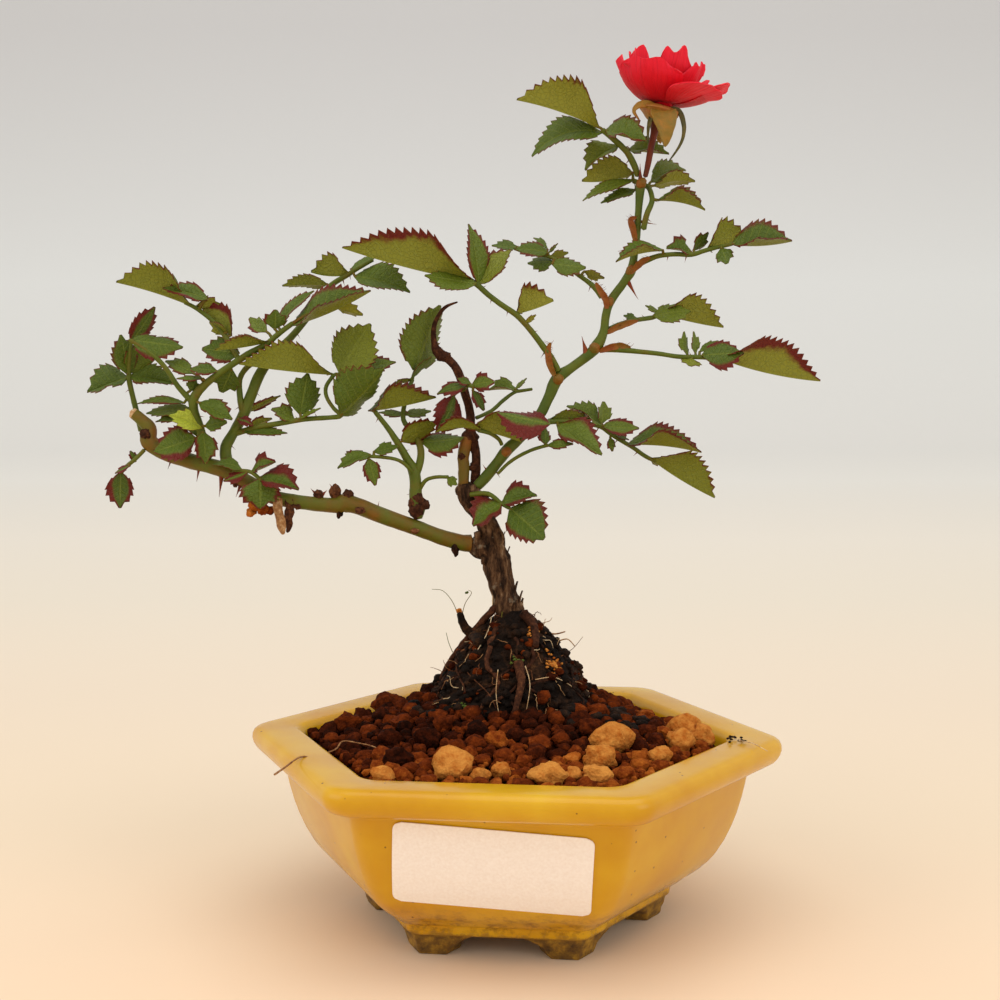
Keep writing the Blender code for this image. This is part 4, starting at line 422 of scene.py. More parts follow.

# %% [markdown]
# ## Petals, sepals and the label's paper
#
# A red rose petal is velvet. Its colour is painted darker toward the claw, as shade deep in the
# bloom, and brighter toward its edge, as a painted sheen. Fine streaks run from its claw to its edge.

# %% Petal velvet
velvet, tree, shader, coords = finish_named("rose_petal_velvet", Roughness=0.6, Specular_IOR_Level=0.14,
                                            Sheen_Weight=0.04,
                                    Sheen_Roughness=0.4, Subsurface_Weight=0.15, Subsurface_Scale=0.0015)
shader.inputs["Subsurface Radius"].default_value = (1.0, 0.15, 0.1)
blade_map = add(tree, "ShaderNodeUVMap", uv_map="blade").outputs[0]
parts = add(tree, "ShaderNodeSeparateXYZ", {0: blade_map})
cloud = clouds(tree, coords, 4.0, 3.0)
# Painted shade and sheen: darker toward the claw, deep in the bloom, and brighter toward the edge
level = maths(tree, "MULTIPLY_ADD", cloud, 0.35, parts.outputs[1])
tone = shades(tree, level, [(0.15, "8E0310"), (0.5, "BE081A"), (0.85, "D61024"), (1.0, "E22036")])
lines = add(tree, "ShaderNodeMapping", {"Vector": blade_map, "Scale": (26.0, 1.2, 1.0)})
streak = add(tree, "ShaderNodeTexNoise",
             {"Vector": lines.outputs[0], "Scale": 1.0, "Detail": 3.0}).outputs["Fac"]
dark = mapped(tree, streak, 0.5, 0.72, 0.0, 0.35)
skin = blend(tree, dark, tone, srgb("7C0210"))
tree.links.new(skin, shader.inputs["Base Color"])
emboss(tree, shader, streak, 0.5, 0.5)

# %% Sepal, label paper and drain mesh
sepal_skin, tree, shader, coords = finish_named("sepal_withering", Roughness=0.6)
blotch = clouds(tree, coords, 2.0, 5.0)
browned = kept_value(tree, "warm")
shade = maths(tree, "MULTIPLY_ADD", blotch, 0.6, browned)
tone = shades(tree, shade, [(0.25, "4E4E1C"), (0.5, "7E6C22"), (0.72, "A0741F"), (0.9, "A4602A"),
                            (1.0, "7A3C1E")])
tree.links.new(tone, shader.inputs["Base Color"])
fuzz = clouds(tree, coords, 0.5, 3.0)
emboss(tree, shader, fuzz, 0.5, 0.3)

sticker, tree, shader, coords = finish_named("coated_label_paper", Roughness=0.34, Specular_IOR_Level=0.5)
fibre = clouds(tree, coords, 0.6, 6.0)
tone = shades(tree, fibre, [(0.3, "F3EAE2"), (0.7, "FBF5EF")])
tree.links.new(tone, shader.inputs["Base Color"])
emboss(tree, shader, fibre, 0.12, 0.1)

netting, tree, shader, coords = finish_named("polyethylene_mesh_extruded", Roughness=0.5)
dust = clouds(tree, coords, 3.0, 5.0)
tone = shades(tree, dust, [(0.4, "16181A"), (0.75, "4A3A2A")])
tree.links.new(tone, shader.inputs["Base Color"])
print("materials", len(bpy.data.materials))


# %% [markdown]
# ## Gathering a growing piece
#
# Stems and leaves are grown rather than machined, and there are well over a hundred leaflets, so
# they are drawn by rule: a stem is a tube along its stations, and a leaflet is a thin shell about
# a grid of points. Each piece collects its points and faces first and becomes one mesh at the
# end. With every face it keeps three values that the finishes read: whether the face is an
# underside, how far it has reddened, and how light it is.

# %% Gather points and faces into one piece
class Growth:
    def __init__(self):
        self.points = []
        self.faces = []
        self.values = []
        self.maps = []

    def add(self, points, faces, slot=0, under=0.0, warm=0.0, tint=0.5, maps=None):
        start = len(self.points)
        self.points += points
        self.faces += [[start + i for i in face] for face in faces]
        self.values += [(slot, under, warm, tint)] * len(faces)
        self.maps += maps or [[(0.5, 0.5)] * len(face) for face in faces]

    def finish(self, name, skins, slot_name, *nodes, sharp=60):
        """Turns the gathered faces into one object that stands for the named solids."""
        mesh = bpy.data.meshes.new(name)
        mesh.from_pydata([p * MM + SHIFT for p in self.points], [], self.faces)
        for skin in skins:
            mesh.materials.append(skin)
        mesh.polygons.foreach_set("material_index", [value[0] for value in self.values])
        layer = mesh.uv_layers.new(name="blade")
        layer.data.foreach_set("uv", [c for face in self.maps for spot in face for c in spot])
        for order, label in enumerate(("under", "warm", "tint"), start=1):
            kept = mesh.attributes.new(label, "FLOAT", "FACE")
            kept.data.foreach_set("value", [value[order] for value in self.values])
        mesh.shade_smooth()
        mesh.set_sharp_from_angle(angle=math.radians(sharp))
        made = bpy.data.objects.new(name, mesh)
        bpy.context.collection.objects.link(made)
        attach(made, "root")
        if nodes:
            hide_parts(*nodes)
        print(name, len(mesh.polygons), "faces")
        return made


# %% [markdown]
# ## Stems
#
# A tube needs a direction and a ring at every station. The frame is carried from one station to
# the next without twist, so the skin runs straight along the stem. Catmull-Rom points between
# the stations keep the curves soft, and noise on each ring's radius keeps them from looking
# turned on a lathe.

# %% Tubes, prickles and hairs
def frames_along(route):
    found = []
    side = None
    for i in range(len(route)):
        tangent = (route[min(i + 1, len(route) - 1)] - route[max(i - 1, 0)]).normalized()
        if side is None:
            start = Vector((0, 1, 0)) if abs(tangent.y) < 0.9 else Vector((1, 0, 0))
            side = start
        side = (side - tangent * side.dot(tangent)).normalized()
        found.append((tangent, side, tangent.cross(side)))
    return found


def smoothed(stations, steps):
    made = []
    for i in range(len(stations) - 1):
        a, b, c = stations[max(i - 1, 0)], stations[i], stations[i + 1]
        d = stations[min(i + 2, len(stations) - 1)]
        for k in range(steps):
            t = k / steps
            made.append(tuple(
                0.5 * (2 * q + (r - p) * t + (2 * p - 5 * q + 4 * r - s) * t * t
                       + (3 * q - p - 3 * r + s) * t ** 3)
                for p, q, r, s in zip(a, b, c, d)
            ))
    made.append(tuple(stations[-1]))
    return made


def ringed(rings, sides):
    """The faces of a closed skin: rings of points in order, then one point for each end."""
    faces = []
    for row in range(rings - 1):
        for k in range(sides):
            a, b = row * sides + k, row * sides + (k + 1) % sides
            faces.append([a, b, b + sides, a + sides])
    low, high, last = rings * sides, rings * sides + 1, (rings - 1) * sides
    for k in range(sides):
        faces.append([low, (k + 1) % sides, k])
        faces.append([high, last + k, last + (k + 1) % sides])
    return faces


def tube(growth, places, radii, sides=10, rough=0.0, grain=0.9, seed=0.0, **values):
    """A round stem through places, with domed ends. rough is the share its skin swells by."""
    points = []
    frames = frames_along(places)
    for (tangent, side, up), place, radius in zip(frames, places, radii):
        for k in range(sides):
            turn = 2 * math.pi * k / sides
            out = side * math.cos(turn) + up * math.sin(turn)
            swell = 1 + rough * noise.noise(place * grain + out * 1.3 + Vector((seed, 0, seed)))
            points.append(place + out * radius * swell)
    points.append(places[0] - frames[0][0] * radii[0] * 0.5)
    points.append(places[-1] + frames[-1][0] * radii[-1] * 0.5)
    growth.add(points, ringed(len(places), sides), **values)


def stem(growth, stations, steps=4, **values):
    """A tube along (x, z, depth, radius) readings."""
    route = smoothed(stations, steps)
    tube(growth, [seen(*s[:3]) for s in route], [s[3] for s in route], **values)


def prickle(growth, base, tip, radius, hook=0.12, **values):
    """A hooked prickle from a reading inside its stem to its point."""
    start, end = seen(*base), seen(*tip)
    length = (end - start).length
    places, radii = [], []
    for t in (0.0, 0.18, 0.4, 0.62, 0.82, 1.0):
        sag = Vector((0, 0, -1)) * hook * length * math.sin(t * math.pi / 2) ** 2
        places.append(start.lerp(end, t) + sag)
        radii.append(radius * ((1 - t) ** 1.5 * 0.95 + 0.05))
    tube(growth, places, radii, sides=7, **values)


def hair(growth, start, end, radius=0.09, **values):
    bend = (end - start).length * 0.12
    middle = start.lerp(end, 0.5) + Vector((bend, 0, bend * 0.4))
    tube(growth, [start, middle, end], [radius, radius * 0.8, radius * 0.3], sides=4, **values)


# %% [markdown]
# ## Thin blades
#
# A leaf, a petal or a sepal is one thin sheet with two skins and a rim between them, so it is
# closed and shows a real edge. The shell takes a grid of points, finds the normal at each, and
# lays one skin on either side. Its map runs 0 to 1 across and along.

# %% Shells about a grid
def shell(growth, grid, thick, facing, keel=0.0, **values):
    rows, wide = len(grid), len(grid[0])
    middle = wide // 2
    spots, normals = [], []
    for r in range(rows):
        for c in range(wide):
            across = grid[r][min(c + 1, wide - 1)] - grid[r][max(c - 1, 0)]
            along = grid[min(r + 1, rows - 1)][c] - grid[max(r - 1, 0)][c]
            normals.append(across.cross(along).normalized())
            spots.append(grid[r][c])
    turned = sum(n.dot(facing) for n in normals) < 0
    if turned:
        normals = [-n for n in normals]
    upper = [p + n * thick / 2 for p, n in zip(spots, normals)]
    lower = []
    for i, (p, n) in enumerate(zip(spots, normals)):
        ridge = keel * (1 - i // wide / rows) if i % wide == middle else 0.0
        lower.append(p - n * (thick / 2 + ridge))
    count = len(spots)
    quads = [(r * wide + c, r * wide + c + 1, (r + 1) * wide + c + 1, (r + 1) * wide + c)
             for r in range(rows - 1) for c in range(wide - 1)]
    ring = list(range(wide)) + [r * wide + wide - 1 for r in range(1, rows)]
    ring += [(rows - 1) * wide + c for c in range(wide - 2, -1, -1)] + [r * wide for r in range(rows - 2,
                                                                                                0, -1)]
    rim = [(b, a, a + count, b + count) for a, b in zip(ring, ring[1:] + ring[:1])]
    back = [tuple(i + count for i in quad[::-1]) for quad in quads]
    if turned:
        quads, back, rim = [[f[::-1] for f in group] for group in (quads, back, rim)]

    def spread(group):
        return [[((i % count % wide) / (wide - 1),
                  (i % count // wide) / (rows - 1)) for i in f] for f in group]

    start = len(growth.points)
    growth.add(upper + lower, quads, under=0.0, maps=spread(quads), **values)
    for group, under in ((back, 1.0), (rim, 0.3)):
        growth.faces += [[start + i for i in face] for face in group]
        last = growth.values[-1]
        growth.values += [(last[0], under, last[2], last[3])] * len(group)
        growth.maps += spread(group)


# %% [markdown]
# ## Leaflets
#
# The outline of a rose leaflet is an oval that is widest below its middle, with fine saw teeth
# that lean toward the tip, about one and a half millimetres apart. The blade is folded along its
# midrib, arched, and each half swells between midrib and margin. The numbers give where its
# midrib starts and ends and where its two edges stand as seen from the front, so every leaflet
# keeps its outline and is still a blade in space.

# %% A toothed leaflet
LEAST_FOLD = math.radians(27)
BLADE_COLUMNS = (-1, -0.75, -0.5, -0.25, 0, 0.25, 0.5, 0.75, 1)
SMALL_COLUMNS = (-1, -0.5, 0, 0.5, 1)
TOOTH_PITCH = 1.5
BLADE_THICK = 0.16
TOOTH_OUT, TOOTH_IN = 0.08, -0.07
PUFF, MARGIN_WAVE, ARCH = 0.26, 0.09, 0.03


def breadth(share):
    return math.sin(math.pi * share ** 0.82) ** (0.7 + 0.3 * share) if 0 < share < 1 else 0.0


def leaflet(growth, leaf, seed, **values):
    base_x, base_z, tip_x, tip_z, half, near, far, bow, base_depth, tip_depth = leaf
    base, tip = seen(base_x, base_z, base_depth), seen(tip_x, tip_z, tip_depth)
    length = (tip - base).length
    run = Vector((tip_x - base_x, 0, tip_z - base_z))
    normal = Vector((-run.z, 0, run.x)).normalized()
    if (abs(run.x) >= abs(run.z) and normal.z < 0) or (abs(run.x) < abs(run.z) and normal.x < 0):
        normal = -normal
    turn_near = math.asin(max(-1, min(1, near / half)))
    turn_far = math.pi - math.asin(max(-1, min(1, far / half)))
    middle = (turn_near + turn_far) / 2
    fold = max(LEAST_FOLD, (turn_far - turn_near) / 2)

    def side(turn):
        return normal * math.sin(turn) - Vector((0, 1, 0)) * math.cos(turn)

    arch = side(middle) * length * ARCH * math.sin(seed * 1.7)
    teeth = max(4, min(17, round(length / TOOTH_PITCH)))
    rows = 2 * teeth
    grid = []
    for row in range(rows + 1):
        share = 0.004 + 0.993 * row / rows
        opened = math.pi / 2 + (fold - math.pi / 2) * min(1, share / 0.35)
        wide = half * breadth(share)
        line = []
        for c in BLADE_COLUMNS if length > 8 else SMALL_COLUMNS:
            sign = 1 if c > 0 else -1
            reach, along = wide * abs(c), share
            if abs(c) == 1:
                toothed = TOOTH_OUT if row % 2 else TOOTH_IN
                reach *= 1 + toothed * (1 + 0.4 * math.sin(row * 2.7 + seed))
                reach *= min(1, 0.85 * (1 - share) * teeth)
                along += (0.9 if row % 2 else -0.2) / rows
            puff = wide * PUFF * (abs(c) - c * c)
            wave = wide * MARGIN_WAVE * math.sin(share * 8 + seed * 2.3 + sign) * c * c
            bone = base.lerp(tip, along) + (normal * bow + arch) * 4 * along * (1 - along)
            lift = side(middle + sign * (opened - math.pi / 2))
            line.append(bone + side(middle + sign * opened) * reach + lift * (puff + wave))
        grid.append(line)
    shell(growth, grid, BLADE_THICK, side(middle), keel=0.2, **values)


# %% [markdown]
# A leafy stem is its stalks and its leaflets. Each leaflet hangs on a short stalk of its own
# that starts on the nearest point of a stem, and small prickles stand along the stem.

# %% A leafy stem
STEM_SLOT, LEAF_SLOT = 0, 1


def nearest_on(stems, x, z, depth):
    best = None
    for route in stems:
        for a, b in zip(route, route[1:]):
            span_x, span_z = b[0] - a[0], b[1] - a[1]
            square = span_x ** 2 + span_z ** 2
            share = ((x - a[0]) * span_x + (z - a[1]) * span_z) / square if square else 0
            share = max(0, min(1, share))
            spot = [p + (q - p) * share for p, q in zip(a, b)]
            off = (spot[0] - x) ** 2 + (spot[1] - z) ** 2 + 0.05 * (spot[2] - depth) ** 2
            if best is None or off < best[0]:
                best = (off, spot)
    return best[1]


def leafy(name, spray):
    growth = Growth()
    stems, draw = spray["stems"], random.Random(name)
    for order, route in enumerate(stems):
        stem(growth, route, sides=10, rough=0.08, seed=order, slot=STEM_SLOT,
             warm=spray.get("stem_warm", 0.18))
    for order, (*shape, base_off, tip_off) in enumerate(spray["leaves"]):
        spot = nearest_on(stems, shape[0], shape[1], base_off)
        depth = spot[2] + base_off
        start, end = seen(*spot[:3]), seen(shape[0], shape[1], depth)
        middle = start.lerp(end, 0.5) + Vector((0, 0, 0.12 * (end - start).length))
        tube(growth, [start, middle, end, end.lerp(seen(shape[2], shape[3], depth + tip_off), 0.04)],
             [0.46, 0.36, 0.34, 0.26], sides=7, slot=STEM_SLOT, warm=spray.get("stem_warm", 0.18) + 0.15)
        warm = spray["warm"][order]
        leaflet(growth, (*shape, depth, depth + tip_off), order + len(name), slot=LEAF_SLOT, warm=warm,
                tint=draw.uniform(0.25, 0.8) * (1 - 0.3 * warm))
    for route in stems:
        for a, b in zip(route, route[1:]):
            if draw.random() < 0.55 and min(a[3], b[3]) > 0.5:
                share, way = draw.uniform(0.2, 0.8), draw.choice((-1, 1))
                x, z, depth, radius = [p + (q - p) * share for p, q in zip(a, b)]
                along = Vector((b[0] - a[0], b[1] - a[1])).normalized()
                reach = radius + draw.uniform(0.7, 1.2)
                tip = (x - along.y * way * reach - along.x * 0.5,
                       z + along.x * way * reach - along.y * 0.5, depth)
                prickle(growth, (x, z, depth), tip, 0.3, slot=STEM_SLOT, warm=0.8)
    return growth.finish("leafy_" + name, [stem_skin, leaf_skin], spray["slot"], name, sharp=50)


# %% [markdown]
# ## The pot's body
#
# The pot was pressed in a six-sided mould: one wall that swells fast from a narrow foot and ends
# in a broad soft lip. A filled circle of six points is a hexagon. Its corners are rounded first,
# and then the face is pulled through the whole profile, each step with its own height and size.
# That draws outside, lip, inside and floor in one go, and the profile's own small arcs give every
# edge the round that clay has under glaze.

# %% Pull the hexagon through its profile
TURN = math.radians(-6.2)
FOOT_HEIGHT = 5.2
FOOT_RING = 38.6
CORNER_CUT = 2.0
CORNER_STEPS = 7
POT_START = (7.6, 33.0)
FOOT_PROFILE = [(5.8, 34.2), (5.3, 34.8), (FOOT_HEIGHT, 35.5), (FOOT_HEIGHT, 37.8), (5.4, 38.4),
                (5.9, FOOT_RING),
                (7.2, FOOT_RING), (7.7, 38.8), (7.9, 39.3), (8.0, 39.9)]
BODY_PROFILE = [(8.2, 40.5), (8.8, 41.3), (9.6, 42.3), (10.4, 43.6), (11.2, 44.8), (12.1, 46.0), (13.0, 47.0),
                (14.0, 48.1), (15.0, 49.0), (16.2, 49.9), (17.5, 50.7), (18.9, 51.6), (20.3, 52.3),
                (22.6, 53.4),
                (25.5, 54.5), (29.5, 55.7), (33.0, 56.5), (35.4, 57.0), (36.4, 57.5)]
LIP_PROFILE = [(36.9, 58.3), (37.15, 59.6), (37.3, 61.2), (37.6, 62.4), (38.1, 63.3), (38.9, 64.1),
               (39.9, 64.7),
               (41.0, 65.0), (42.0, 64.9), (42.8, 64.5), (43.3, 63.8), (43.6, 62.9), (43.7, 61.8),
               (43.7, 54.6),
               (43.5, 53.7), (43.0, 53.0), (42.2, 52.4), (41.0, 51.9)]
INSIDE_PROFILE = [(36.0, 51.5), (28.0, 49.5), (21.0, 45.5), (15.6, 39.0), (12.5, 34.5)]


def only(thing):
    bpy.ops.object.select_all(action="DESELECT")
    thing.select_set(True)
    bpy.context.view_layer.objects.active = thing


bpy.ops.mesh.primitive_circle_add(vertices=6, radius=POT_START[1] * MM, fill_type="NGON",
                                  location=(0, 0, POT_START[0] * MM),
                                  rotation=(0, 0, math.radians(30) + TURN))
pot = bpy.context.object
pot.name = "glazed_pot"
bpy.ops.object.transform_apply()
bpy.ops.object.mode_set(mode="EDIT")
bpy.ops.mesh.select_all(action="SELECT")
bpy.ops.mesh.bevel(offset=CORNER_CUT * MM, segments=CORNER_STEPS, affect="VERTICES")
bpy.ops.mesh.select_all(action="SELECT")
level, radius = POT_START
for next_level, next_radius in FOOT_PROFILE + BODY_PROFILE + LIP_PROFILE + INSIDE_PROFILE:
    bpy.ops.mesh.extrude_region_move(TRANSFORM_OT_translate={"value": (0, 0, (next_level - level) * MM)})
    share = next_radius / radius
    bpy.ops.transform.resize(value=(share, share, 1), center_override=(0, 0, next_level * MM))
    level, radius = next_level, next_radius
bpy.ops.mesh.select_all(action="SELECT")
bpy.ops.mesh.normals_make_consistent(inside=False)
bpy.ops.object.mode_set(mode="OBJECT")
print("pot pulled through its profile,", len(pot.data.polygons), "faces")

# %% Drill the drain hole
bpy.ops.mesh.primitive_cylinder_add(vertices=48, radius=8.0 * MM, depth=20 * MM, location=(0, 0, 10 * MM))
drill = bpy.context.object
only(pot)
hole = pot.modifiers.new("drain", "BOOLEAN")
hole.operation = "DIFFERENCE"
hole.object = drill
hole.solver = "EXACT"
bpy.ops.object.modifier_apply(modifier="drain")
bpy.data.objects.remove(drill)
print("pot with its drain hole,", len(pot.data.polygons), "faces")

# %% [markdown]
# The six feet are brackets that hug the corners of the foot ring. One is drawn as a chevron,
# pulled up so that it flares into the body, and bevelled. The others are copies turned round
# the pot. The kiln shelf and years of watering have left them rough, so their skin is uneven.

# %% Six bracket feet
FOOT_SET_BACK = 3.0
FOOT_DEPTH = 5.2
FOOT_LEVELS = [(0.0, 6.0, 0.0), (0.6, 6.5, 0.2), (2.0, 7.2, 0.6), (3.7, 9.8, 1.2), (5.0, 13.0, 1.7),
               (6.0, 14.2, 1.8)]


def foot_ring(level, reach, lean):
    outer = FOOT_RING - FOOT_SET_BACK + lean
    inner = outer - FOOT_DEPTH
    ring = []
    for radius, order in ((outer, (1, 0, -1)), (inner, (-1, 0, 1))):
        for way in order:
            step = Vector((math.cos(way * math.radians(120)), math.sin(way * math.radians(120)), 0))
            ring.append(Vector((radius, 0, level)) + step * (reach if way else 0))
    return [p * MM for p in ring]


foot_mesh = bpy.data.meshes.new("foot")
foot_mesh.from_pydata([p for level in FOOT_LEVELS for p in foot_ring(*level)], [],
                      [[0, 1, 4, 5], [1, 2, 3, 4]] + [[30, 35, 34, 31], [31, 34, 33, 32]]
                      + [[r * 6 + (k + 1) % 6, r * 6 + k, r * 6 + 6 + k, r * 6 + 6 + (k + 1) % 6]
                         for r in range(5) for k in range(6)])
foot = bpy.data.objects.new("foot", foot_mesh)
bpy.context.collection.objects.link(foot)
only(foot)
bpy.ops.object.mode_set(mode="EDIT")
bpy.ops.mesh.select_all(action="SELECT")
bpy.ops.mesh.normals_make_consistent(inside=False)
bpy.ops.mesh.bevel(offset=0.5 * MM, segments=2, affect="EDGES", clamp_overlap=True)
bpy.ops.mesh.subdivide(number_cuts=1)
bpy.ops.object.mode_set(mode="OBJECT")
feet = [foot]
for corner in range(1, 6):
    copy = foot.copy()
    copy.data = foot.data.copy()
    bpy.context.collection.objects.link(copy)
    feet.append(copy)
for corner, each in enumerate(feet):
    only(each)
    each.rotation_euler.z = math.radians(60) * corner + TURN
    bpy.ops.object.transform_apply()
    for vertex in each.data.vertices:
        place = vertex.co / MM
        rough = 0.35 * noise.noise(place * 0.55 + Vector((corner, 0, 0)))
        flat = min(1.0, max(0.0, place.z - 0.3))
        vertex.co += Vector((place.x, place.y, 0)).normalized() * rough * flat * MM
print("feet", len(feet))

# %% Join body and feet
only(pot)
for each in feet:
    each.select_set(True)
bpy.ops.object.join()
pot.location = SHIFT
bpy.ops.object.transform_apply()
bpy.ops.object.shade_smooth_by_angle(angle=math.radians(50))
pot.data.materials.clear()
pot.data.materials.append(glaze)
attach(pot, "root")
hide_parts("pot")
print("glazed_pot", len(pot.data.polygons), "faces")

# %% [markdown]
# ## Label and drain mesh
#
# The paper label is stuck a little askew on the front wall and bends with it. A grid is laid out
# flat, its corners are drawn in to a round, and every point is moved on to the wall. The label
# stays blank. The mesh over the drain hole keeps its shape and gets a dusty plastic finish.

# %% Blank label
LABEL_SIZE = (42.2, 19.0)
LABEL_ROUND = 1.8
LABEL_THICK = 0.22
LABEL_TILT = math.radians(-3.4)
LABEL_MIDDLE = (0.4, 25.1)
LABEL_STAND_OFF = 0.28


def wall_reach(level):
    """How far the front wall's face stands from the pot's axis at a height."""
    for (low, small), (high, large) in zip(BODY_PROFILE, BODY_PROFILE[1:]):
        if level <= high:
            return (small + (large - small) * (level - low) / (high - low)) * math.cos(math.radians(30))
    return BODY_PROFILE[-1][1] * math.cos(math.radians(30))


def on_wall(u, v, lift):
    """A place u along and v up the label, on the pot's front wall."""
    heading = math.radians(270) + TURN
    out = Vector((math.cos(heading), math.sin(heading), 0))
    x = LABEL_MIDDLE[0] + u * math.cos(LABEL_TILT) - v * math.sin(LABEL_TILT)
    z = LABEL_MIDDLE[1] + u * math.sin(LABEL_TILT) + v * math.cos(LABEL_TILT)
    return out * (wall_reach(z) + lift) + Vector((-out.y, out.x, 0)) * x + Vector((0, 0, z))


label_rows = []
for row in range(33):
    v = LABEL_SIZE[1] * (row / 32 - 0.5)
    past = max(0.0, abs(v) - (LABEL_SIZE[1] / 2 - LABEL_ROUND))
    drawn_in = LABEL_ROUND - math.sqrt(max(0.0, LABEL_ROUND ** 2 - past ** 2))
    wide = LABEL_SIZE[0] / 2 - drawn_in
    label_rows.append([on_wall(wide * (2 * c / 40 - 1), v, LABEL_STAND_OFF) for c in range(41)])
label = Growth()
shell(label, label_rows, LABEL_THICK, Vector((0, -1, 0)))
label.finish("blank_label", [sticker], "label_paper", "label", sharp=40)

# %% Drain mesh
SCREEN_SIZE = 25.4
bpy.ops.mesh.primitive_grid_add(x_subdivisions=12, y_subdivisions=12, size=SCREEN_SIZE * MM,
                                location=(0, 0, 13.2 * MM))
screen = bpy.context.object
screen.name = "drain_mesh"
bars = screen.modifiers.new("bars", "WIREFRAME")
bars.thickness = 0.65 * MM
bpy.ops.object.modifier_apply(modifier="bars")
screen.location = screen.location + SHIFT
bpy.ops.object.transform_apply()
screen.data.materials.append(netting)
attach(screen, "root")
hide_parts("drain_screen")
print("drain_mesh", len(screen.data.polygons), "faces")

# %% [markdown]
# ## Soil bed
#
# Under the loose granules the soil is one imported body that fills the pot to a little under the
# lip and rises to the root ball. It is lofted through six-sided rings that become round on top,
# and its skin is roughened so that dark crumbs show between the granules.

# %% Packed soil under the granules
SOIL_RADIUS = 51.0
SOIL_RIM_Z, SOIL_HILL, SOIL_HILL_RADIUS = 41.0, 9.0, 34.0
SOIL_SLOPE = 14.0
MOUND_X, MOUND_Y = 0.0, 19.5
SOIL_TURNS = 96
BED_SIDES = ((14.3, 20.0), (14.6, 34.5), (17.0, 39.0), (21.8, 44.8), (28.4, 48.6), (36.0, 50.6), (40.2, 51.0))
BED_SHARES = (1.0, 0.96, 0.9, 0.83, 0.76, 0.69, 0.62, 0.55, 0.48, 0.42, 0.36)


def wall_distance(x, y):
    heading = math.atan2(y, x) - TURN - math.radians(30)
    heading = (heading + math.radians(30)) % math.radians(60) - math.radians(30)
    return SOIL_RADIUS * math.cos(math.radians(30)) - math.hypot(x, y) * math.cos(heading)


def soil_height(x, y):
    off = math.hypot(x - MOUND_X, y - MOUND_Y)
    slope = max(0.0, min(1.0, wall_distance(x, y) / SOIL_SLOPE))
    hill = SOIL_HILL * math.exp(-((off / SOIL_HILL_RADIUS) ** 2)) * slope * slope * (3 - 2 * slope)
    return SOIL_RIM_Z + hill + 0.6 * noise.noise(Vector((x * 0.11, y * 0.11, 3.0)))


def six_sided(radius, level, turn):
    heading = (turn - TURN - math.radians(30) + math.radians(30)) % math.radians(60) - math.radians(30)
    reach = radius * math.cos(math.radians(30)) / math.cos(heading)
    reach = min(reach, radius * 0.96)
    return Vector((reach * math.cos(turn), reach * math.sin(turn), level))


turns = [2 * math.pi * k / SOIL_TURNS for k in range(SOIL_TURNS)]
rings = []
for level, radius in BED_SIDES:
    rings.append([six_sided(radius, level, t) for t in turns])
for share in BED_SHARES:
    ring = []
    for t in turns:
        edge = six_sided(SOIL_RADIUS, 0, t)
        hub = Vector((MOUND_X, MOUND_Y, 0)) * (1 - share)
        place = edge * share + hub
        lumpy = 1.1 * noise.noise(place * 0.42) + 0.5 * noise.noise(place * 1.1)
        place.z = soil_height(place.x, place.y) - 0.9 + lumpy
        ring.append(place)
    rings.append(ring)
bed_points = [p for ring in rings for p in ring] + [Vector((0, 0, 14.2)), Vector((MOUND_X, MOUND_Y, 46.0))]
bed_faces = ringed(len(rings), SOIL_TURNS)
bed = Growth()
bed.add(bed_points, bed_faces, slot=0, tint=0.1)
print("soil bed", len(bed_faces), "faces")

# %% [markdown]
# ## Clay granules
#
# A few granules are modelled from a sphere of 20, 80 or 320 faces, each roughened in its own
# way, and hundreds of turned and scaled copies are then strewn by rule. The big pale ones along the
# front have places of their own, as on the real pot. The rest go where there is room, the large
# ones first, and crumbs fill the gaps.

# %% Model a few granules
def model_granule(order, levels):
    bpy.ops.mesh.primitive_ico_sphere_add(subdivisions=levels, radius=1.0)
    grain = bpy.context.object
    for vertex in grain.data.vertices:
        co = vertex.co
        facets = noise.noise(co * 1.3 + Vector((order * 5.1, 0, 0))) * 0.42
        crumbly = noise.noise(co * 3.4 + Vector((0, order * 3.7, 0))) * 0.24
        vertex.co = co * (1 + facets + crumbly)
    points = [vertex.co.copy() for vertex in grain.data.vertices]
    faces = [list(face.vertices) for face in grain.data.polygons]
    bpy.data.objects.remove(grain)
    return points, faces


BIG_SHAPES = [model_granule(order, 3) for order in range(6)]
SHAPES = [model_granule(order + 10, 2) for order in range(10)]
CRUMB_SHAPES = [model_granule(order + 30, 1) for order in range(6)]


def strew(growth, shape, place, radii, draw, slot, tint):
    points, faces = shape
    turn = Matrix.Rotation(draw.uniform(0, 6.28), 3, "Z") @ Matrix.Rotation(draw.uniform(0, 6.28), 3, "X")
    squash = Matrix.Diagonal(Vector(radii))
    growth.add([squash @ (turn @ p) + place for p in points], faces, slot=slot, tint=tint)


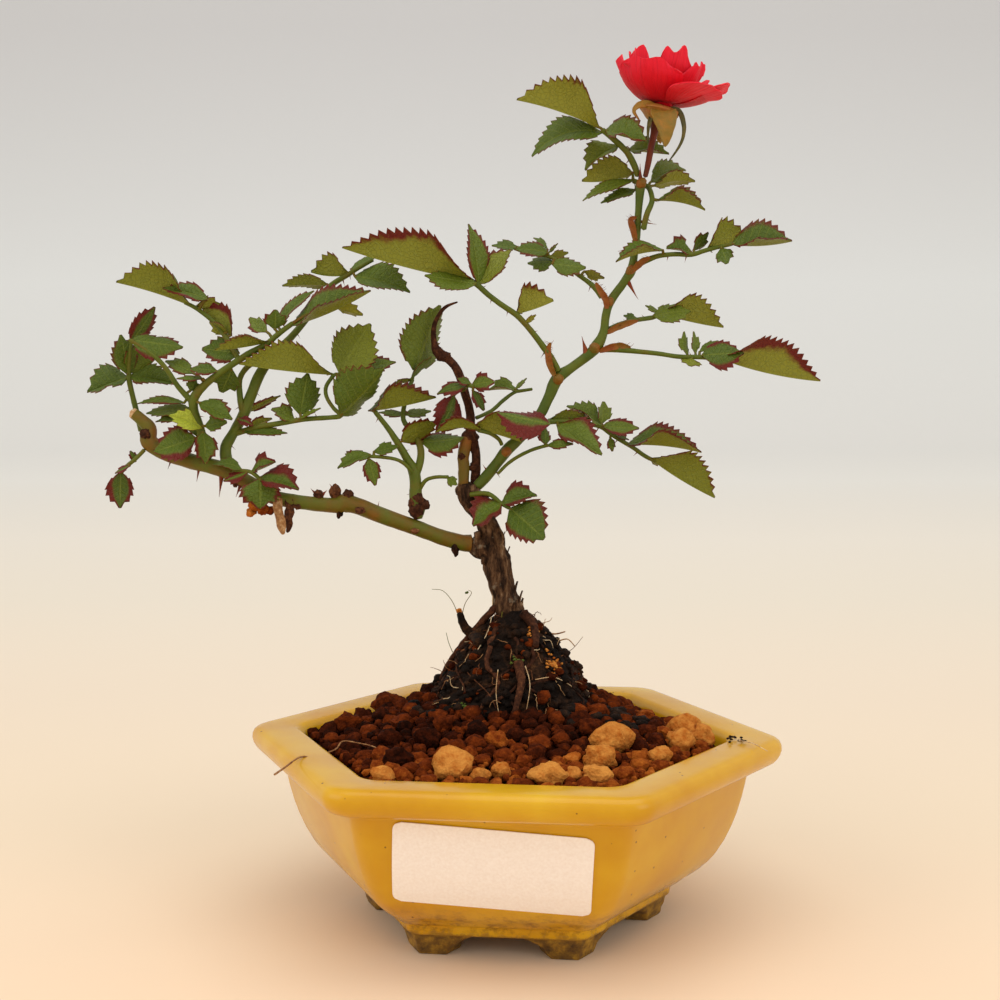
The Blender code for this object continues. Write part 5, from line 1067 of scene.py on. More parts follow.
# %% Strew them
# x, y, half width, half height, and how dry the granule is
PLACED = [
    (-28.4, -36.3, 2.6, 1.9, 0.85), (-13.4, -33.6, 4.7, 3.7, 0.9), (-7.3, -37.2, 1.9, 1.9, 0.85),
    (-2.8, -35.2, 2.1, 2.1, 0.8), (7.5, -37.8, 4.2, 2.7, 0.95), (12.7, -37.0, 1.9, 1.9, 0.9),
    (18.0, -37.5, 2.9, 2.4, 0.95), (19.2, -27.5, 3.8, 3.0, 0.84), (22.9, -16.2, 4.2, 3.8, 0.85),
    (33.1, -21.2, 2.7, 2.2, 0.85), (39.1, -11.6, 3.0, 3.2, 0.82), (41.2, -1.0, 3.8, 3.6, 0.8),
    (45.2, -3.9, 2.9, 2.6, 0.84), (-31.0, 21.7, 4.0, 3.2, 0.3), (-40.0, 4.8, 2.9, 3.2, 0.3),
    (-16.0, -6.1, 2.3, 2.3, 0.3), (24.0, -35.1, 2.5, 1.9, 0.5), (-25.9, -26.0, 3.2, 2.6, 0.1),
    (-19.6, -14.0, 2.9, 2.5, 0.12), (-28.3, -12.0, 2.7, 2.4, 0.12), (-3.7, -17.0, 2.6, 2.3, 0.52),
    (17.7, -8.0, 2.4, 2.2, 0.26), (13.2, -26.5, 1.9, 1.7, 0.7), (-37.0, 13.5, 2.6, 2.2, 0.2),
]
draw = random.Random(11)
strewn = []
for x, y, wide, tall, dry in PLACED:
    wide_here = min(wide, max(1.2, wall_distance(x, y) * 1.1))
    place = Vector((x, y, soil_height(x, y) + tall * 0.7))
    radii = (wide_here, wide_here * 0.9, min(tall, wide_here))
    strew(bed, BIG_SHAPES[len(strewn) % 6], place, radii, draw, 0, dry)
    strewn.append((x, y, wide_here))

# how many, least and greatest half width, their shapes, and how near two may lie
LAYERS = ((110, 1.9, 2.9, SHAPES, 0.78), (420, 1.25, 1.9, SHAPES, 0.72), (620, 0.55, 1.1, CRUMB_SHAPES, 0.45))
TRIES = 40
for count, low, high, shapes, near in LAYERS:
    laid, tries = 0, 0
    while laid < count and tries < count * TRIES:
        tries += 1
        size = draw.uniform(low, high)
        x, y = draw.uniform(-52, 52), draw.uniform(-46, 46)
        off = math.hypot(x - MOUND_X, y - MOUND_Y)
        if wall_distance(x, y) < size * 0.9 + 0.2 or off < 19.5 + size * 0.4:
            continue
        if any(abs(x - a) < (size + c) * near and abs(y - b) < (size + c) * near for a, b, c in strewn):
            continue
        strewn.append((x, y, size))
        laid += 1
        tall = size * draw.uniform(0.75, 1.0)
        lift = tall * draw.uniform(0.05, 0.5) + (0.5 if size < 1.1 else 0)
        place = Vector((x, y, soil_height(x, y) + lift))
        front = max(0.0, min(1.0, (-y - 12) / 22)) * 0.28 + max(0.0, min(1.0, (x - 20) / 25)) * 0.3
        dry = 0.14 + front + draw.uniform(-0.12, 0.24)
        radii = (size * draw.uniform(0.85, 1.1), size * draw.uniform(0.8, 1.0), tall)
        strew(bed, draw.choice(shapes), place, radii, draw, 0, max(0.05, min(1.0, dry)))
    print("granules from", low, "to", high, "mm:", laid)

# Black compost that has fallen beside the root ball, and stray roots that lie over the rim
RIM_LEFT, RIM_CRUMB, RIM_TOP = 40, 0.35, 44.2
FALLEN = ((12, 32, -6, 8, 70), (-26, -8, 2, 12, 30), (50, 54, -14, -8, 14))
for left, right, near, far, count in FALLEN:
    for order in range(count):
        x, y, size = draw.uniform(left, right), draw.uniform(near, far), draw.choice((0.5, 0.8, 1.2, 1.6))
        on_rim = left > RIM_LEFT
        size, level = (RIM_CRUMB, RIM_TOP) if on_rim else (size, soil_height(x, y) + size * 0.9)
        strew(bed, draw.choice(SHAPES), Vector((x, y, level)), (size, size * 0.8, size * 0.7), draw, 1, 0.5)
ROOTLETS = [
    ([(-50.9, -40.6, 43.9), (-49.3, -36.9, 44.4), (-47.4, -27.3, 44.2), (-44.9, -22.9, 43.2),
      (-40.7, -17.4, 43.4),
      (-39.5, -12, 44.0), (-35.3, -14.7, 44.2), (-31.6, -17.4, 44.0), (-27.7, -23.5, 43.6)], 0.24, 0.66),
    ([(52.4, -12.5, 44.3), (55.0, -16.5, 44.6), (57.3, -22.0, 44.2)], 0.12, 0.95),
]
for route, thick, paleness in ROOTLETS:
    places = smoothed([(*p, 0) for p in route], 5)
    places = [Vector(p[:3]) for p in places]
    tube(bed, places, [thick * (1 - 0.5 * k / len(places)) for k in range(len(places))], sides=6, slot=2,
         tint=paleness)
bed.finish("clay_granule_soil", [clay_grain, compost, root_skin], "clay_granules", "soil", sharp=70)

# %% [markdown]
# ## Root ball
#
# The trunk stands on a steep cone of black compost held together by roots. The cone is a lathe
# form roughened at three sizes. Thick roots run down it, half sunk, finer ones cross them, and
# hair roots stand off it. Crumbs of compost and red clay stick to its sides.

# %% Compost cone
MOUND_PROFILE = [
    (33.2, 10.0), (33.4, 19.6), (36.5, 21.2), (44.8, 21.2), (46.4, 20.6), (49.0, 19.6), (51.5, 18.3),
    (54.0, 16.8),
    (57.0, 14.8), (60.0, 12.3), (62.5, 10.2), (65.0, 8.0), (67.3, 5.9), (69.0, 4.2), (70.0, 2.6),
]
MOUND_TURNS = 120
MOUND_ROWS = 90


def mound_radius(level):
    for (low, wide), (high, narrow) in zip(MOUND_PROFILE, MOUND_PROFILE[1:]):
        if level <= high:
            return wide + (narrow - wide) * max(0.0, (level - low) / (high - low))
    return MOUND_PROFILE[-1][1]


def mound_place(turn, level, off=0.0):
    """A place on the cone at a heading (0 is right, 270 degrees faces the eye) and a height."""
    out = Vector((math.cos(turn), math.sin(turn), 0))
    spot = out * mound_radius(level) + Vector((MOUND_X, MOUND_Y, level))
    rough = 1.5 * noise.noise(spot * 0.16) + 0.9 * noise.noise(spot * 0.45) + 0.5 * noise.noise(spot * 1.2)
    spot += out * (rough * min(1.0, max(0.0, (level - 42) / 6)) + off)
    lean = max(0.0, (level - 60) / 10)
    return spot + Vector((0.9 * lean, 0.5 * lean, 0))


mound = Growth()
mound_rows = [33.2 + (70.0 - 33.2) * (row / MOUND_ROWS) ** 0.9 for row in range(MOUND_ROWS + 1)]
points = [mound_place(2 * math.pi * k / MOUND_TURNS,
                      level) for level in mound_rows for k in range(MOUND_TURNS)]
points += [Vector((MOUND_X, MOUND_Y, 33.0)), mound_place(0, 70.0) + Vector((-2.2, 0, 0.4))]
mound.add(points, ringed(MOUND_ROWS + 1, MOUND_TURNS), slot=0)

# %% Roots, hair roots and crumbs
ROOT_SLOT, GRAIN_SLOT, COMPOST_SLOT = 1, 2, 0
ROOTS, HAIR_ROOTS, STUCK_CRUMBS = 22, 90, 520
draw = random.Random(23)
for order in range(ROOTS):
    turn = math.radians(draw.uniform(180, 360)) if order % 3 else math.radians(draw.uniform(0, 180))
    top, bottom = draw.uniform(58, 69), draw.uniform(44, 52)
    radius = draw.choice((0.25, 0.35, 0.45, 0.6, 0.8))
    wander, pace = draw.uniform(0.1, 0.42), draw.uniform(0.7, 2.0)
    places, radii = [], []
    for step in range(19):
        share = step / 18
        level = top + (bottom - top) * share
        heading = turn + wander * math.sin(share * pace * 3 + order) + 0.05 * math.sin(share * 17 + order)
        places.append(mound_place(heading, level, radius * 0.3 + 0.25 * math.sin(share * 9 + order)))
        radii.append(radius * (1 - 0.55 * share))
    tube(mound, places, radii, sides=8, rough=0.35, seed=order, slot=ROOT_SLOT,
         tint=draw.choice((0.05, 0.1, 0.15, 0.2, 0.3, 0.5)))

for order in range(HAIR_ROOTS):
    turn = math.radians(draw.uniform(185, 355)) if order % 4 else math.radians(draw.uniform(0, 180))
    level = draw.uniform(45, 69)
    start = mound_place(turn, level, -0.3)
    places = [start]
    heading = Vector((math.cos(turn), math.sin(turn), draw.uniform(-0.9, 0.5)))
    for step in range(7):
        heading = (heading + Vector([draw.uniform(-0.75, 0.75) for axis in range(3)])).normalized()
        heading.z -= 0.12
        places.append(places[-1] + heading * draw.uniform(0.5, 1.1))
    tube(mound, places, [0.13 - 0.011 * k for k in range(8)], sides=5, slot=ROOT_SLOT,
         tint=draw.uniform(0.4, 1.0))

for order in range(STUCK_CRUMBS):
    turn = math.radians(draw.uniform(180, 360) if order % 3 else draw.uniform(0, 180))
    level = draw.uniform(45, 67)
    size = draw.choice((0.4, 0.55, 0.7, 0.9, 1.3))
    red = draw.random() < 0.16
    strew(mound, draw.choice(CRUMB_SHAPES if size < 0.8 else SHAPES), mound_place(turn, level, size * 0.3),
          (size, size * 0.9, size * 0.8), draw, GRAIN_SLOT if red else COMPOST_SLOT, draw.uniform(0.1, 0.45))

# %% [markdown]
# A few things on the root ball catch the eye: a red-brown root down its left slope, ochre lichen
# on the right, pale loops of root, a mossy stub with two moss capsules on thin stalks, and wisps.

# %% What grows on the root ball
def on_mound(x, z, off=0.0):
    """The place on the front of the cone that is read at (x, z)."""
    radius = mound_radius(z - READING_FLOOR)
    return seen(x, z, -math.sqrt(max(radius ** 2 - x ** 2, 0.2)) - off)


# readings, thickness, finish, how pale or how red
STRANDS = [
    ([(-3.6, 72.5), (-7.0, 69.0), (-11.0, 64.5), (-14.4, 60.0), (-17.2, 55.5), (-19.6, 50.5)], 0.95, 1, 0.26),
    ([(1.6, 58.0), (2.4, 53.0), (1.6, 48.5), (0.6, 44.5)], 1.15, 1, 0.3),
    ([(3.0, 70.5), (5.5, 67.0), (6.0, 62.0)], 1.5, 1, 0.22),
    ([(-4.8, 77.0), (-5.0, 71.0), (-6.0, 66.0), (-9.0, 60.5)], 0.16, 1, 1.0),
    ([(6.0, 53.5), (11.0, 54.0), (16.0, 51.0), (17.0, 47.5), (14.0, 45.5), (10.0, 46.0)], 0.13, 1, 0.9),
    ([(-3.5, 56.0), (-4.0, 50.0), (-3.2, 44.0)], 0.12, 1, 0.85),
    ([(3.4, 57.0), (4.6, 52.0), (3.6, 45.0)], 0.14, 1, 0.9),
    ([(-14.0, 60.0), (-11.0, 55.0), (-6.0, 50.0), (-4.0, 46.0)], 0.14, 1, 0.4),
    ([(8.0, 65.6), (11.0, 65.2), (13.5, 65.8)], 0.26, 1, 0.6),
    ([(12.5, 59.5), (15.5, 61.5), (18.0, 64.5)], 0.1, 1, 0.5),
    ([(11.0, 63.0), (14.0, 63.9), (16.0, 62.0)], 0.2, 1, 0.8),
    ([(-15.0, 60.5), (-16.0, 63.0), (-16.6, 65.5)], 0.1, 3, 0.2),
    ([(-8.0, 63.0), (-10.4, 65.4), (-12.4, 68.0), (-13.2, 70.4)], 1.5, 0, 0.1),
    ([(-13.6, 70.0), (-15.0, 73.4), (-17.4, 76.2), (-20.2, 76.6)], 0.1, 3, 0.3),
    ([(-12.6, 70.0), (-11.8, 73.0), (-10.2, 75.6), (-11.0, 76.4)], 0.1, 3, 0.3),
    ([(-2.6, 69.5), (-2.4, 71.0), (-2.0, 72.4)], 0.12, 3, 0.3),
]
for route, thick, slot, value in STRANDS:
    places = [on_mound(x, z, thick * 0.4) for x, z, _, _ in smoothed([(x, z, 0, 0) for x, z in route], 5)]
    radii = [thick * (1 - 0.45 * k / len(places)) for k in range(len(places))]
    tube(mound, places, radii, sides=8, rough=0.3 if thick > 0.5 else 0.0, seed=thick, slot=slot,
         tint=value, warm=value)

# Clusters of crumbs: x, z, spread, how many, finish and shade
CLUSTERS = [(5.6, 65.2, 1.7, 34, 2, 0.9), (10.4, 57.4, 1.7, 40, 2, 0.86), (9.4, 61.0, 1.0, 14, 2, 0.8),
            (-13.2, 71.0, 1.0, 16, 2, 0.75), (8.0, 49.0, 1.0, 3, 2, 0.3), (1.0, 58.0, 1.6, 22, 3, 0.0),
            (-13.0, 46.0, 1.6, 22, 3, 0.0), (-11.4, 75.6, 0.3, 4, 3, 0.1), (-2.0, 72.6, 0.3, 4, 3, 0.25)]
for x, z, wide, count, slot, value in CLUSTERS:
    for order in range(count):
        size = draw.uniform(0.22, 0.5) if count > 3 else 1.6
        place = on_mound(x + draw.gauss(0, wide * 0.5), z + draw.gauss(0, wide * 0.5), size * 0.3)
        strew(mound, draw.choice(CRUMB_SHAPES), place, (size, size, size * 0.8), draw, slot,
              value + draw.uniform(-0.1, 0.1))
mound_skins = [compost, root_skin, clay_grain, stem_skin]
mound.finish("root_ball_roots", mound_skins, "root_ball", "root_mound", sharp=70)

# %% [markdown]
# ## Trunk
#
# The trunk is short, grey-brown and cracked lengthways, and kinks to the left where old shoots
# were cut. A tube through its stations gets ridges that follow it: noise stretched along the
# trunk decides how far each point stands out, so the cracks run up the trunk and not around it.

# %% Ridged trunk
def barked(growth, stations, sides, steps, ridges, depth, seed, **values):
    """A stem whose skin is broken into ridges along its length."""
    route = smoothed(stations, steps)
    places, radii = [seen(*s[:3]) for s in route], [s[3] for s in route]
    frames = frames_along(places)
    points, run = [], 0.0
    for row, ((tangent, side, up), place, radius) in enumerate(zip(frames, places, radii)):
        run += (place - places[max(row - 1, 0)]).length
        for k in range(sides):
            turn = 2 * math.pi * k / sides
            around = Vector((math.cos(turn), math.sin(turn), 0)) * ridges
            crack = abs(noise.noise(around + Vector((seed, 0, run * 0.16)))) * 2 - 0.5
            knobbly = noise.noise(around * 0.5 + Vector((0, seed, run * 0.5)))
            flake = noise.noise(around * 2.6 + Vector((seed, 0, run * 0.7)))
            swell = 1 + depth * (crack + 0.7 * knobbly + 0.35 * flake)
            points.append(place + (side * math.cos(turn) + up * math.sin(turn)) * radius * swell)
    points += [places[0] - frames[0][0] * radii[0] * 0.4, places[-1] + frames[-1][0] * radii[-1] * 0.4]
    growth.add(points, ringed(len(places), sides), **values)


TRUNK = [
    (0.9, 61.5, 0, 2.6), (0.9, 66.0, 0, 2.9), (0.5, 70.2, 0, 2.9), (-0.9, 72.6, 0, 3.6), (-1.8, 75.6, 0, 3.2),
    (-2.8, 79, 0, 3.3), (-3.9, 83.5, 0, 3.5), (-4.9, 88, 0, 3.1), (-5.6, 92, 0, 2.6), (-7.6, 95.6, 0, 2.3),
    (-10.4, 98.6, 0, 2.2), (-11.3, 100.8, 0, 2.5), (-11.0, 103.0, 0, 2.4),
]
trunk = Growth()
barked(trunk, TRUNK, 44, 9, 2.4, 0.17, 3.0, slot=0)
barked(trunk, [(-4.6, 87.2, 0, 3.3), (-8.0, 87.5, 0, 2.9), (-10.0, 88.2, -0.3, 2.25)], 28, 8, 1.8, 0.12,
       8.0, slot=0)
SCARS = [(-8.6, 90.4, -2.0, 1.0), (-13.0, 101.6, -0.8, 1.2), (-9.4, 102.2, -1.6, 1.3),
         (-6.8, 84.0, -1.6, 1.0)]
for order, (x, z, depth, size) in enumerate(SCARS):
    strew(trunk, SHAPES[order], seen(x, z, depth), (size, size, size * 1.2), random.Random(order), 0, 0.2)
FLAKES, FLAKE_ROWS, FLAKE_STEP, FLAKE_THICK, FLAKE_CURL = 34, 4, 0.9, 0.25, 0.075
draw = random.Random(5)
for order in range(FLAKES):
    level, turn = draw.uniform(66, 99), draw.uniform(0, 6.28)
    route = smoothed(TRUNK, 9)
    x, z, depth, radius = min(route, key=lambda s: abs(s[1] - level))
    out = Vector((math.cos(turn), math.sin(turn), draw.uniform(-0.2, 0.4)))
    start = seen(x, z, depth) + out * radius * 0.9
    across, flake = Vector((-out.y, out.x, 0)), []
    for r in range(FLAKE_ROWS):
        rise = Vector((0, 0, r * FLAKE_STEP)) + out * (FLAKE_CURL * r * r)
        flake.append([start + across * w * (0.5 - abs(r - 1.5) / 8) + rise for w in (-0.9, 0, 0.9)])
    shell(trunk, flake, FLAKE_THICK, out, slot=0)
trunk.finish("cracked_trunk", [bark], "bark", "trunk", sharp=75)

# %% [markdown]
# ## The old left branch
#
# This branch is two or three years old: olive bark with pale dots, swollen at every node, with a
# cut end, dead buds, a small gall, a few hooked prickles and a withered husk that hangs from it.

# %% Branch with its knots
BRANCH = [
    (-10.35, 88.24, -0.35, 2.25), (-13, 88.5, -0.7, 2.1), (-18, 89.9, -1.4, 1.95), (-24, 92.2, -2.4, 1.95),
    (-32, 95.0, -3.6, 2.0), (-39, 97.8, -4.6, 2.1), (-42, 98.4, -5.0, 2.3), (-44, 97.9, -5.2, 2.0),
    (-48, 98.1, -5.6, 1.8), (-54, 98.8, -6.2, 1.75), (-60, 100.0, -6.8, 1.8), (-66, 103.4, -7.2, 1.9),
    (-71, 106.2, -7.5, 2.0), (-76, 107.9, -7.8, 1.9), (-82, 109.4, -8.0, 1.9), (-87.5, 111.4, -8.0, 1.9),
    (-90.9, 114.0, -8.0, 2.1), (-90.9, 117.2, -8.0, 1.8), (-92.7, 119.3, -8.0, 1.5),
    (-94.5, 120.8, -8.0, 1.4),
]
branch = Growth()
barked(branch, BRANCH, 22, 6, 1.2, 0.05, 4.0, slot=0, warm=0.36)
# x, z, depth, half width, half height, finish and how light or how red it is
KNOTS = [
    (-14.2, 87.0, -2.0, 1.0, 1.7, 1, 0.1), (-41.2, 100.4, -5, 1.3, 1.5, 1, 0.3),
    (-44.4, 101.2, -5.2, 1.2, 2.0, 1, 0.42),
    (-48.6, 100.6, -5.6, 1.2, 1.3, 1, 0.34), (-43.4, 95.8, -5.6, 0.8, 1.2, 1, 0.05),
    (-38.2, 96.6, -6.6, 1.2, 0.9, 1, 0.4),
    (-64.6, 98.0, -8.2, 1.5, 1.3, 2, 0.7), (-62.6, 96.9, -8.6, 1.6, 1.3, 2, 0.5),
    (-65.6, 96.2, -8.0, 1.3, 1.2, 2, 0.75),
    (-60.9, 96.6, -8.2, 1.2, 1.1, 2, 0.4), (-69.4, 103.8, -8, 1.1, 1.2, 1, 0.3),
    (-91.8, 115.8, -9.6, 1.2, 1.4, 1, 0.25),
    (-63.8, 99.0, -7.2, 1.0, 1.0, 2, 0.3), (-24.0, 96.6, -3.4, 1.8, 2.1, 1, 0.26),
    (-23.4, 99.4, -3.4, 1.4, 1.7, 1, 0.3), (-21.9, 98.0, -3.8, 1.1, 1.3, 1, 0.22),
    (-25.2, 98.4, -3.6, 0.9, 1.2, 1, 0.34), (-24.4, 91.4, -4.2, 1.0, 0.7, 1, 0.5),
    (-54.0, 97.6, -7.6, 0.8, 0.7, 1, 0.4),
]
for order, (x, z, depth, wide, tall, slot, tint) in enumerate(KNOTS):
    strew(branch, BIG_SHAPES[order % 6], seen(x, z, depth), (wide, wide, tall), random.Random(order), slot,
          tint)
stem(branch, [(-61.5, 100, -7.2, 1.1), (-63.0, 98.2, -7.8, 0.9), (-63.5, 97.0, -8.1, 0.7)], slot=1, tint=0.3)
BRANCH_PRICKLES = (((-78.2, 108.8, -8), (-79.2, 104.4, -8.5), 0.8),
                   ((-72.8, 105.7, -8), (-73.6, 100.6, -8.5), 0.8),
                   ((-68.0, 103.4, -8), (-69.4, 100.4, -9.2), 0.7),
                   ((-49.3, 100.8, -5.6), (-50.6, 102.4, -5.6), 0.5),
                   ((-47.6, 100.6, -5.6), (-46.4, 102.0, -5.6), 0.5),
                   ((-44.4, 101.4, -5.2), (-45.8, 103.6, -5.2), 0.7),
                   ((-34.0, 96.0, -4.0), (-33.4, 99.4, -4.4), 0.5),
                   ((-85.0, 110.6, -8.2), (-86.4, 107.4, -9.4), 0.6))
for base, tip, radius in BRANCH_PRICKLES:
    prickle(branch, base, tip, radius, slot=0, warm=0.85)


def strip(growth, route, widths, facing, thick=0.22, columns=5, crumple=0.25, **values):
    """A withered strip along a route of readings: widths are half widths, its edges curl in."""
    places, facing = [seen(*p) for p in route], Vector(facing).normalized()
    grid = []
    for row, ((tangent, side, up), place, wide) in enumerate(zip(frames_along(places), places, widths)):
        across = tangent.cross(facing).normalized()
        line = []
        for c in range(columns):
            share = 2 * c / (columns - 1) - 1
            curl = facing * wide * (0.35 * share * share + crumple * math.sin(row * 1.9 + c))
            line.append(place + across * wide * share + curl)
        grid.append(line)
    shell(growth, grid, thick, facing, **values)


strip(branch, smoothed([(-58.6, 99.8, -8.2), (-58.9, 97.4, -8.8), (-58.2, 94.4, -9.0), (-57.9, 92.2, -8.8),
                        (-57.6, 90.5, -8.6)], 3),
      [0.9, 1.0, 1.1, 1.2, 1.1, 1.0, 1.1, 1.2, 1.1, 1.0, 0.8, 0.5, 0.2], (0, -1, 0), slot=1, tint=0.75)
strip(branch, smoothed([(-56.2, 99.8, -7.6), (-55.9, 97.2, -8.2), (-56.3, 94.6, -8.4), (-56.1, 92.6, -8.2),
                        (-56.6, 91.0, -8.0)], 3),
      [0.8, 1.0, 1.1, 1.0, 1.2, 1.1, 1.0, 0.9, 0.9, 0.8, 0.6, 0.4, 0.2], (0.3, -1, 0), slot=1, tint=0.3)
stem(branch, [(-94.2, 120.5, -8.0, 1.36), (-94.9, 121.1, -8.0, 1.3), (-95.2, 121.3, -8.0, 1.0)], slot=1,
     tint=0.85, sides=16)
branch_skins = [stem_skin, root_skin, clay_grain]
branch.finish("old_left_branch", branch_skins, "olive_bark", "branch_left", sharp=60)

# %% [markdown]
# ## The two old stems
#
# Above the dark node an olive stem and a red-brown one twist round each other and meet in a
# knot. The red-brown one goes on, thins out and ends in a shrivelled, hooked tip with a curl of
# pale dead skin.

# %% Old stems
old = Growth()
stem(old, [(-12.2, 103.0, -0.4, 1.3), (-12.1, 107, -0.4, 1.45), (-12.2, 110.5, -0.4, 1.45),
           (-11.2, 114.8, -0.2, 1.6)],
     sides=16, rough=0.1, slot=0, warm=0.42)
barked(old, [(-9.5, 103.0, 0.9, 1.1), (-9.0, 107, 0.9, 1.1), (-9.1, 111, 0.7, 1.1), (-10.2, 115, 0.2, 1.5),
             (-10.4, 119, 0.6, 1.1), (-10.9, 123, 1.2, 1.1), (-12.3, 128, 1.8, 1.1),
             (-13.6, 131.6, 2.0, 1.05),
             (-16.2, 134.7, 2.0, 1.1), (-18.6, 136.3, 2.0, 1.3), (-19.4, 138.5, 2.0, 0.8),
             (-19.4, 142.5, 2.0, 0.6),
             (-18.2, 145.5, 2.0, 0.5), (-16.4, 147.5, 2.0, 0.4), (-13.6, 148.6, 2.0, 0.22)],
       16, 5, 1.4, 0.14, 2.0, slot=1, tint=0.26)
OLD_KNOBS = [(-10.8, 115.0, 0.1, 2.0, 1.6), (-17.2, 135.2, 2.0, 1.9, 1.2), (-9.6, 107.6, 0.4, 1.3, 1.2),
             (-12.6, 110.2, -1.4, 0.9, 1.1)]
for order, (x, z, depth, wide, tall) in enumerate(OLD_KNOBS):
    strew(old, BIG_SHAPES[order], seen(x, z, depth), (wide, wide * 0.8, tall), random.Random(order + 3), 1,
          0.25)
HAIRY_TIP = [(-18.0, 136.2, 2.0, 0.9), (-19.6, 140, 2.0, 0.6), (-18.2, 145.5, 2, 0.5)]
TIP_HAIRS = 26
for order in range(TIP_HAIRS):
    draw = random.Random(order)
    x, z, depth, radius = smoothed(HAIRY_TIP, 9)[order % 18]
    start = seen(x, z, depth)
    away = Vector((draw.uniform(-1.5, 1.5), draw.uniform(-1, 0.4), draw.uniform(-0.3, 0.8)))
    hair(old, start, start + away, 0.06, slot=1, tint=0.5)
old.finish("twisted_old_stems", [stem_skin, root_skin], "old_wood", "old_stems", sharp=60)

# %% [markdown]
# ## The green shoot
#
# The flowering shoot zigzags: at every node it turns a little and bears a stalk, with a pair of
# narrow stipules, orange at the edge and bristled, where the stalk leaves.

# %% Shoot
SHOOT = [
    (-8.7, 102.7, -1.7, 1.3), (-6.6, 105.0, -1.6, 1.4), (-3.6, 108.7, -1.4, 1.35), (-1.2, 111.8, -1.2, 1.5),
    (2.6, 115.4, -0.9, 1.3), (6.6, 120.0, -0.5, 1.3), (9.2, 125.0, 0.0, 1.35), (11.3, 129.6, 0.4, 1.6),
    (15.2, 132.6, 0.8, 1.2), (18.8, 135.3, 1.2, 1.25), (21.2, 137.8, 1.5, 1.5), (22.8, 141.2, 1.8, 1.1),
    (23.4, 145.5, 2.2, 1.05), (24.6, 149, 2.5, 1.1), (27.6, 153.2, 2.8, 1.05), (29.6, 156.4, 3.1, 1.2),
    (30.3, 160, 3.3, 0.95), (30.9, 165, 3.6, 0.95), (31.3, 171, 3.9, 0.9), (31.8, 178.2, 4.2, 1.25),
]
shoot = Growth()
stem(shoot, SHOOT, steps=6, sides=18, rough=0.07, grain=0.5, slot=0, warm=0.1)
SHOOT_NODES = [(11.5, 129.5, -0.6, 1.5), (20.6, 137.2, 0.6, 1.45), (-1.4, 111.4, -2.0, 1.4),
               (32.0, 177.8, 3.4, 1.3), (29.4, 156.4, 2.4, 1.15), (24.2, 148.6, 1.8, 1.1)]
for order, (x, z, depth, size) in enumerate(SHOOT_NODES):
    stem(shoot, [(x - 0.8, z - 0.9, depth, size * 0.6), (x, z, depth, size),
                 (x + 0.6, z + 1.0, depth, size * 0.6)],
         sides=14, rough=0.2, seed=order, slot=0, warm=0.48)
SHOOT_PRICKLES = (((18.6, 135.6, 1.1), (17.4, 140.8, 1), 1.0),
                  ((28.6, 153.9, 2.9), (26.0, 152.6, 2.4), 0.6),
                  ((28.4, 154.2, 2.8), (31.4, 149.9, 2.9), 0.8),
                  ((30.3, 162.1, 3.3), (26.2, 161.6, 2.6), 0.6),
                  ((31.3, 168.4, 3.8), (35.8, 168.3, 3.4), 0.5),
                  ((-5.8, 106.0, -1.6), (-7.4, 108.6, -1.8), 0.5),
                  ((-4.6, 107.4, -1.4), (-3.0, 105.2, -1.6), 0.5),
                  ((31.7, 177.8, 4.2), (31.6, 183.2, 3.4), 0.8))
for base, tip, radius in SHOOT_PRICKLES:
    prickle(shoot, base, tip, radius, slot=0, warm=0.75)
STIPULES = [
    [(10.6, 130.4, -1.0), (9.4, 133.2, -1.6), (9.0, 136.4, -2.0), (9.6, 138.6, -2.2)],
    [(23.6, 147.0, 1.6), (23.2, 149.4, 1.2), (21.8, 151.6, 0.8), (20.8, 153.4, 0.6)],
    [(29.2, 155.8, 2.2), (31.0, 157.4, 1.6), (32.6, 158.8, 1.0), (34.4, 159.6, 0.6)],
    [(23.6, 141.0, 2.0), (26.2, 142.4, 2.4), (29.0, 143.4, 3.0), (31.4, 144.0, 3.6)],
    [(30.6, 163.6, 3.0), (30.0, 166.4, 2.6), (29.4, 168.8, 2.4), (30.8, 169.4, 2.6)],
    [(21.8, 136.4, 1.0), (24.6, 137.4, 0.4), (27.4, 137.8, 0.0), (29.6, 137.2, -0.4)],
]
draw = random.Random(31)
for order, route in enumerate(STIPULES):
    line = smoothed(route, 4)
    for way in (-1, 1):
        strip(shoot, [(x, z, depth + way * 0.5) for x, z, depth in line],
              [0.8 * math.sin(math.pi * (0.12 + 0.86 * k / (len(line) - 1))) ** 0.6
               for k in range(len(line))],
              (0, -1, 0.2 * way), thick=0.14, slot=0, warm=0.56)
    for x, z, depth in line[2:-1]:
        start = seen(x, z, depth - 0.4)
        for way in (-1, 1):
            hair(shoot, start, start + Vector((way * draw.uniform(0.8, 1.6), 0, draw.uniform(0.2, 1.2))),
                 0.06,
                 slot=0, warm=0.8)
shoot.finish("flowering_shoot", [stem_skin, leaf_skin], "green_shoot", "shoot_right", sharp=60)

# %% [markdown]
# ## Leaves
#
# The tables hold, for every leafy stem, its stalks as (x, z, depth, radius) stations and its
# leaflets, and how far each leaflet has reddened.

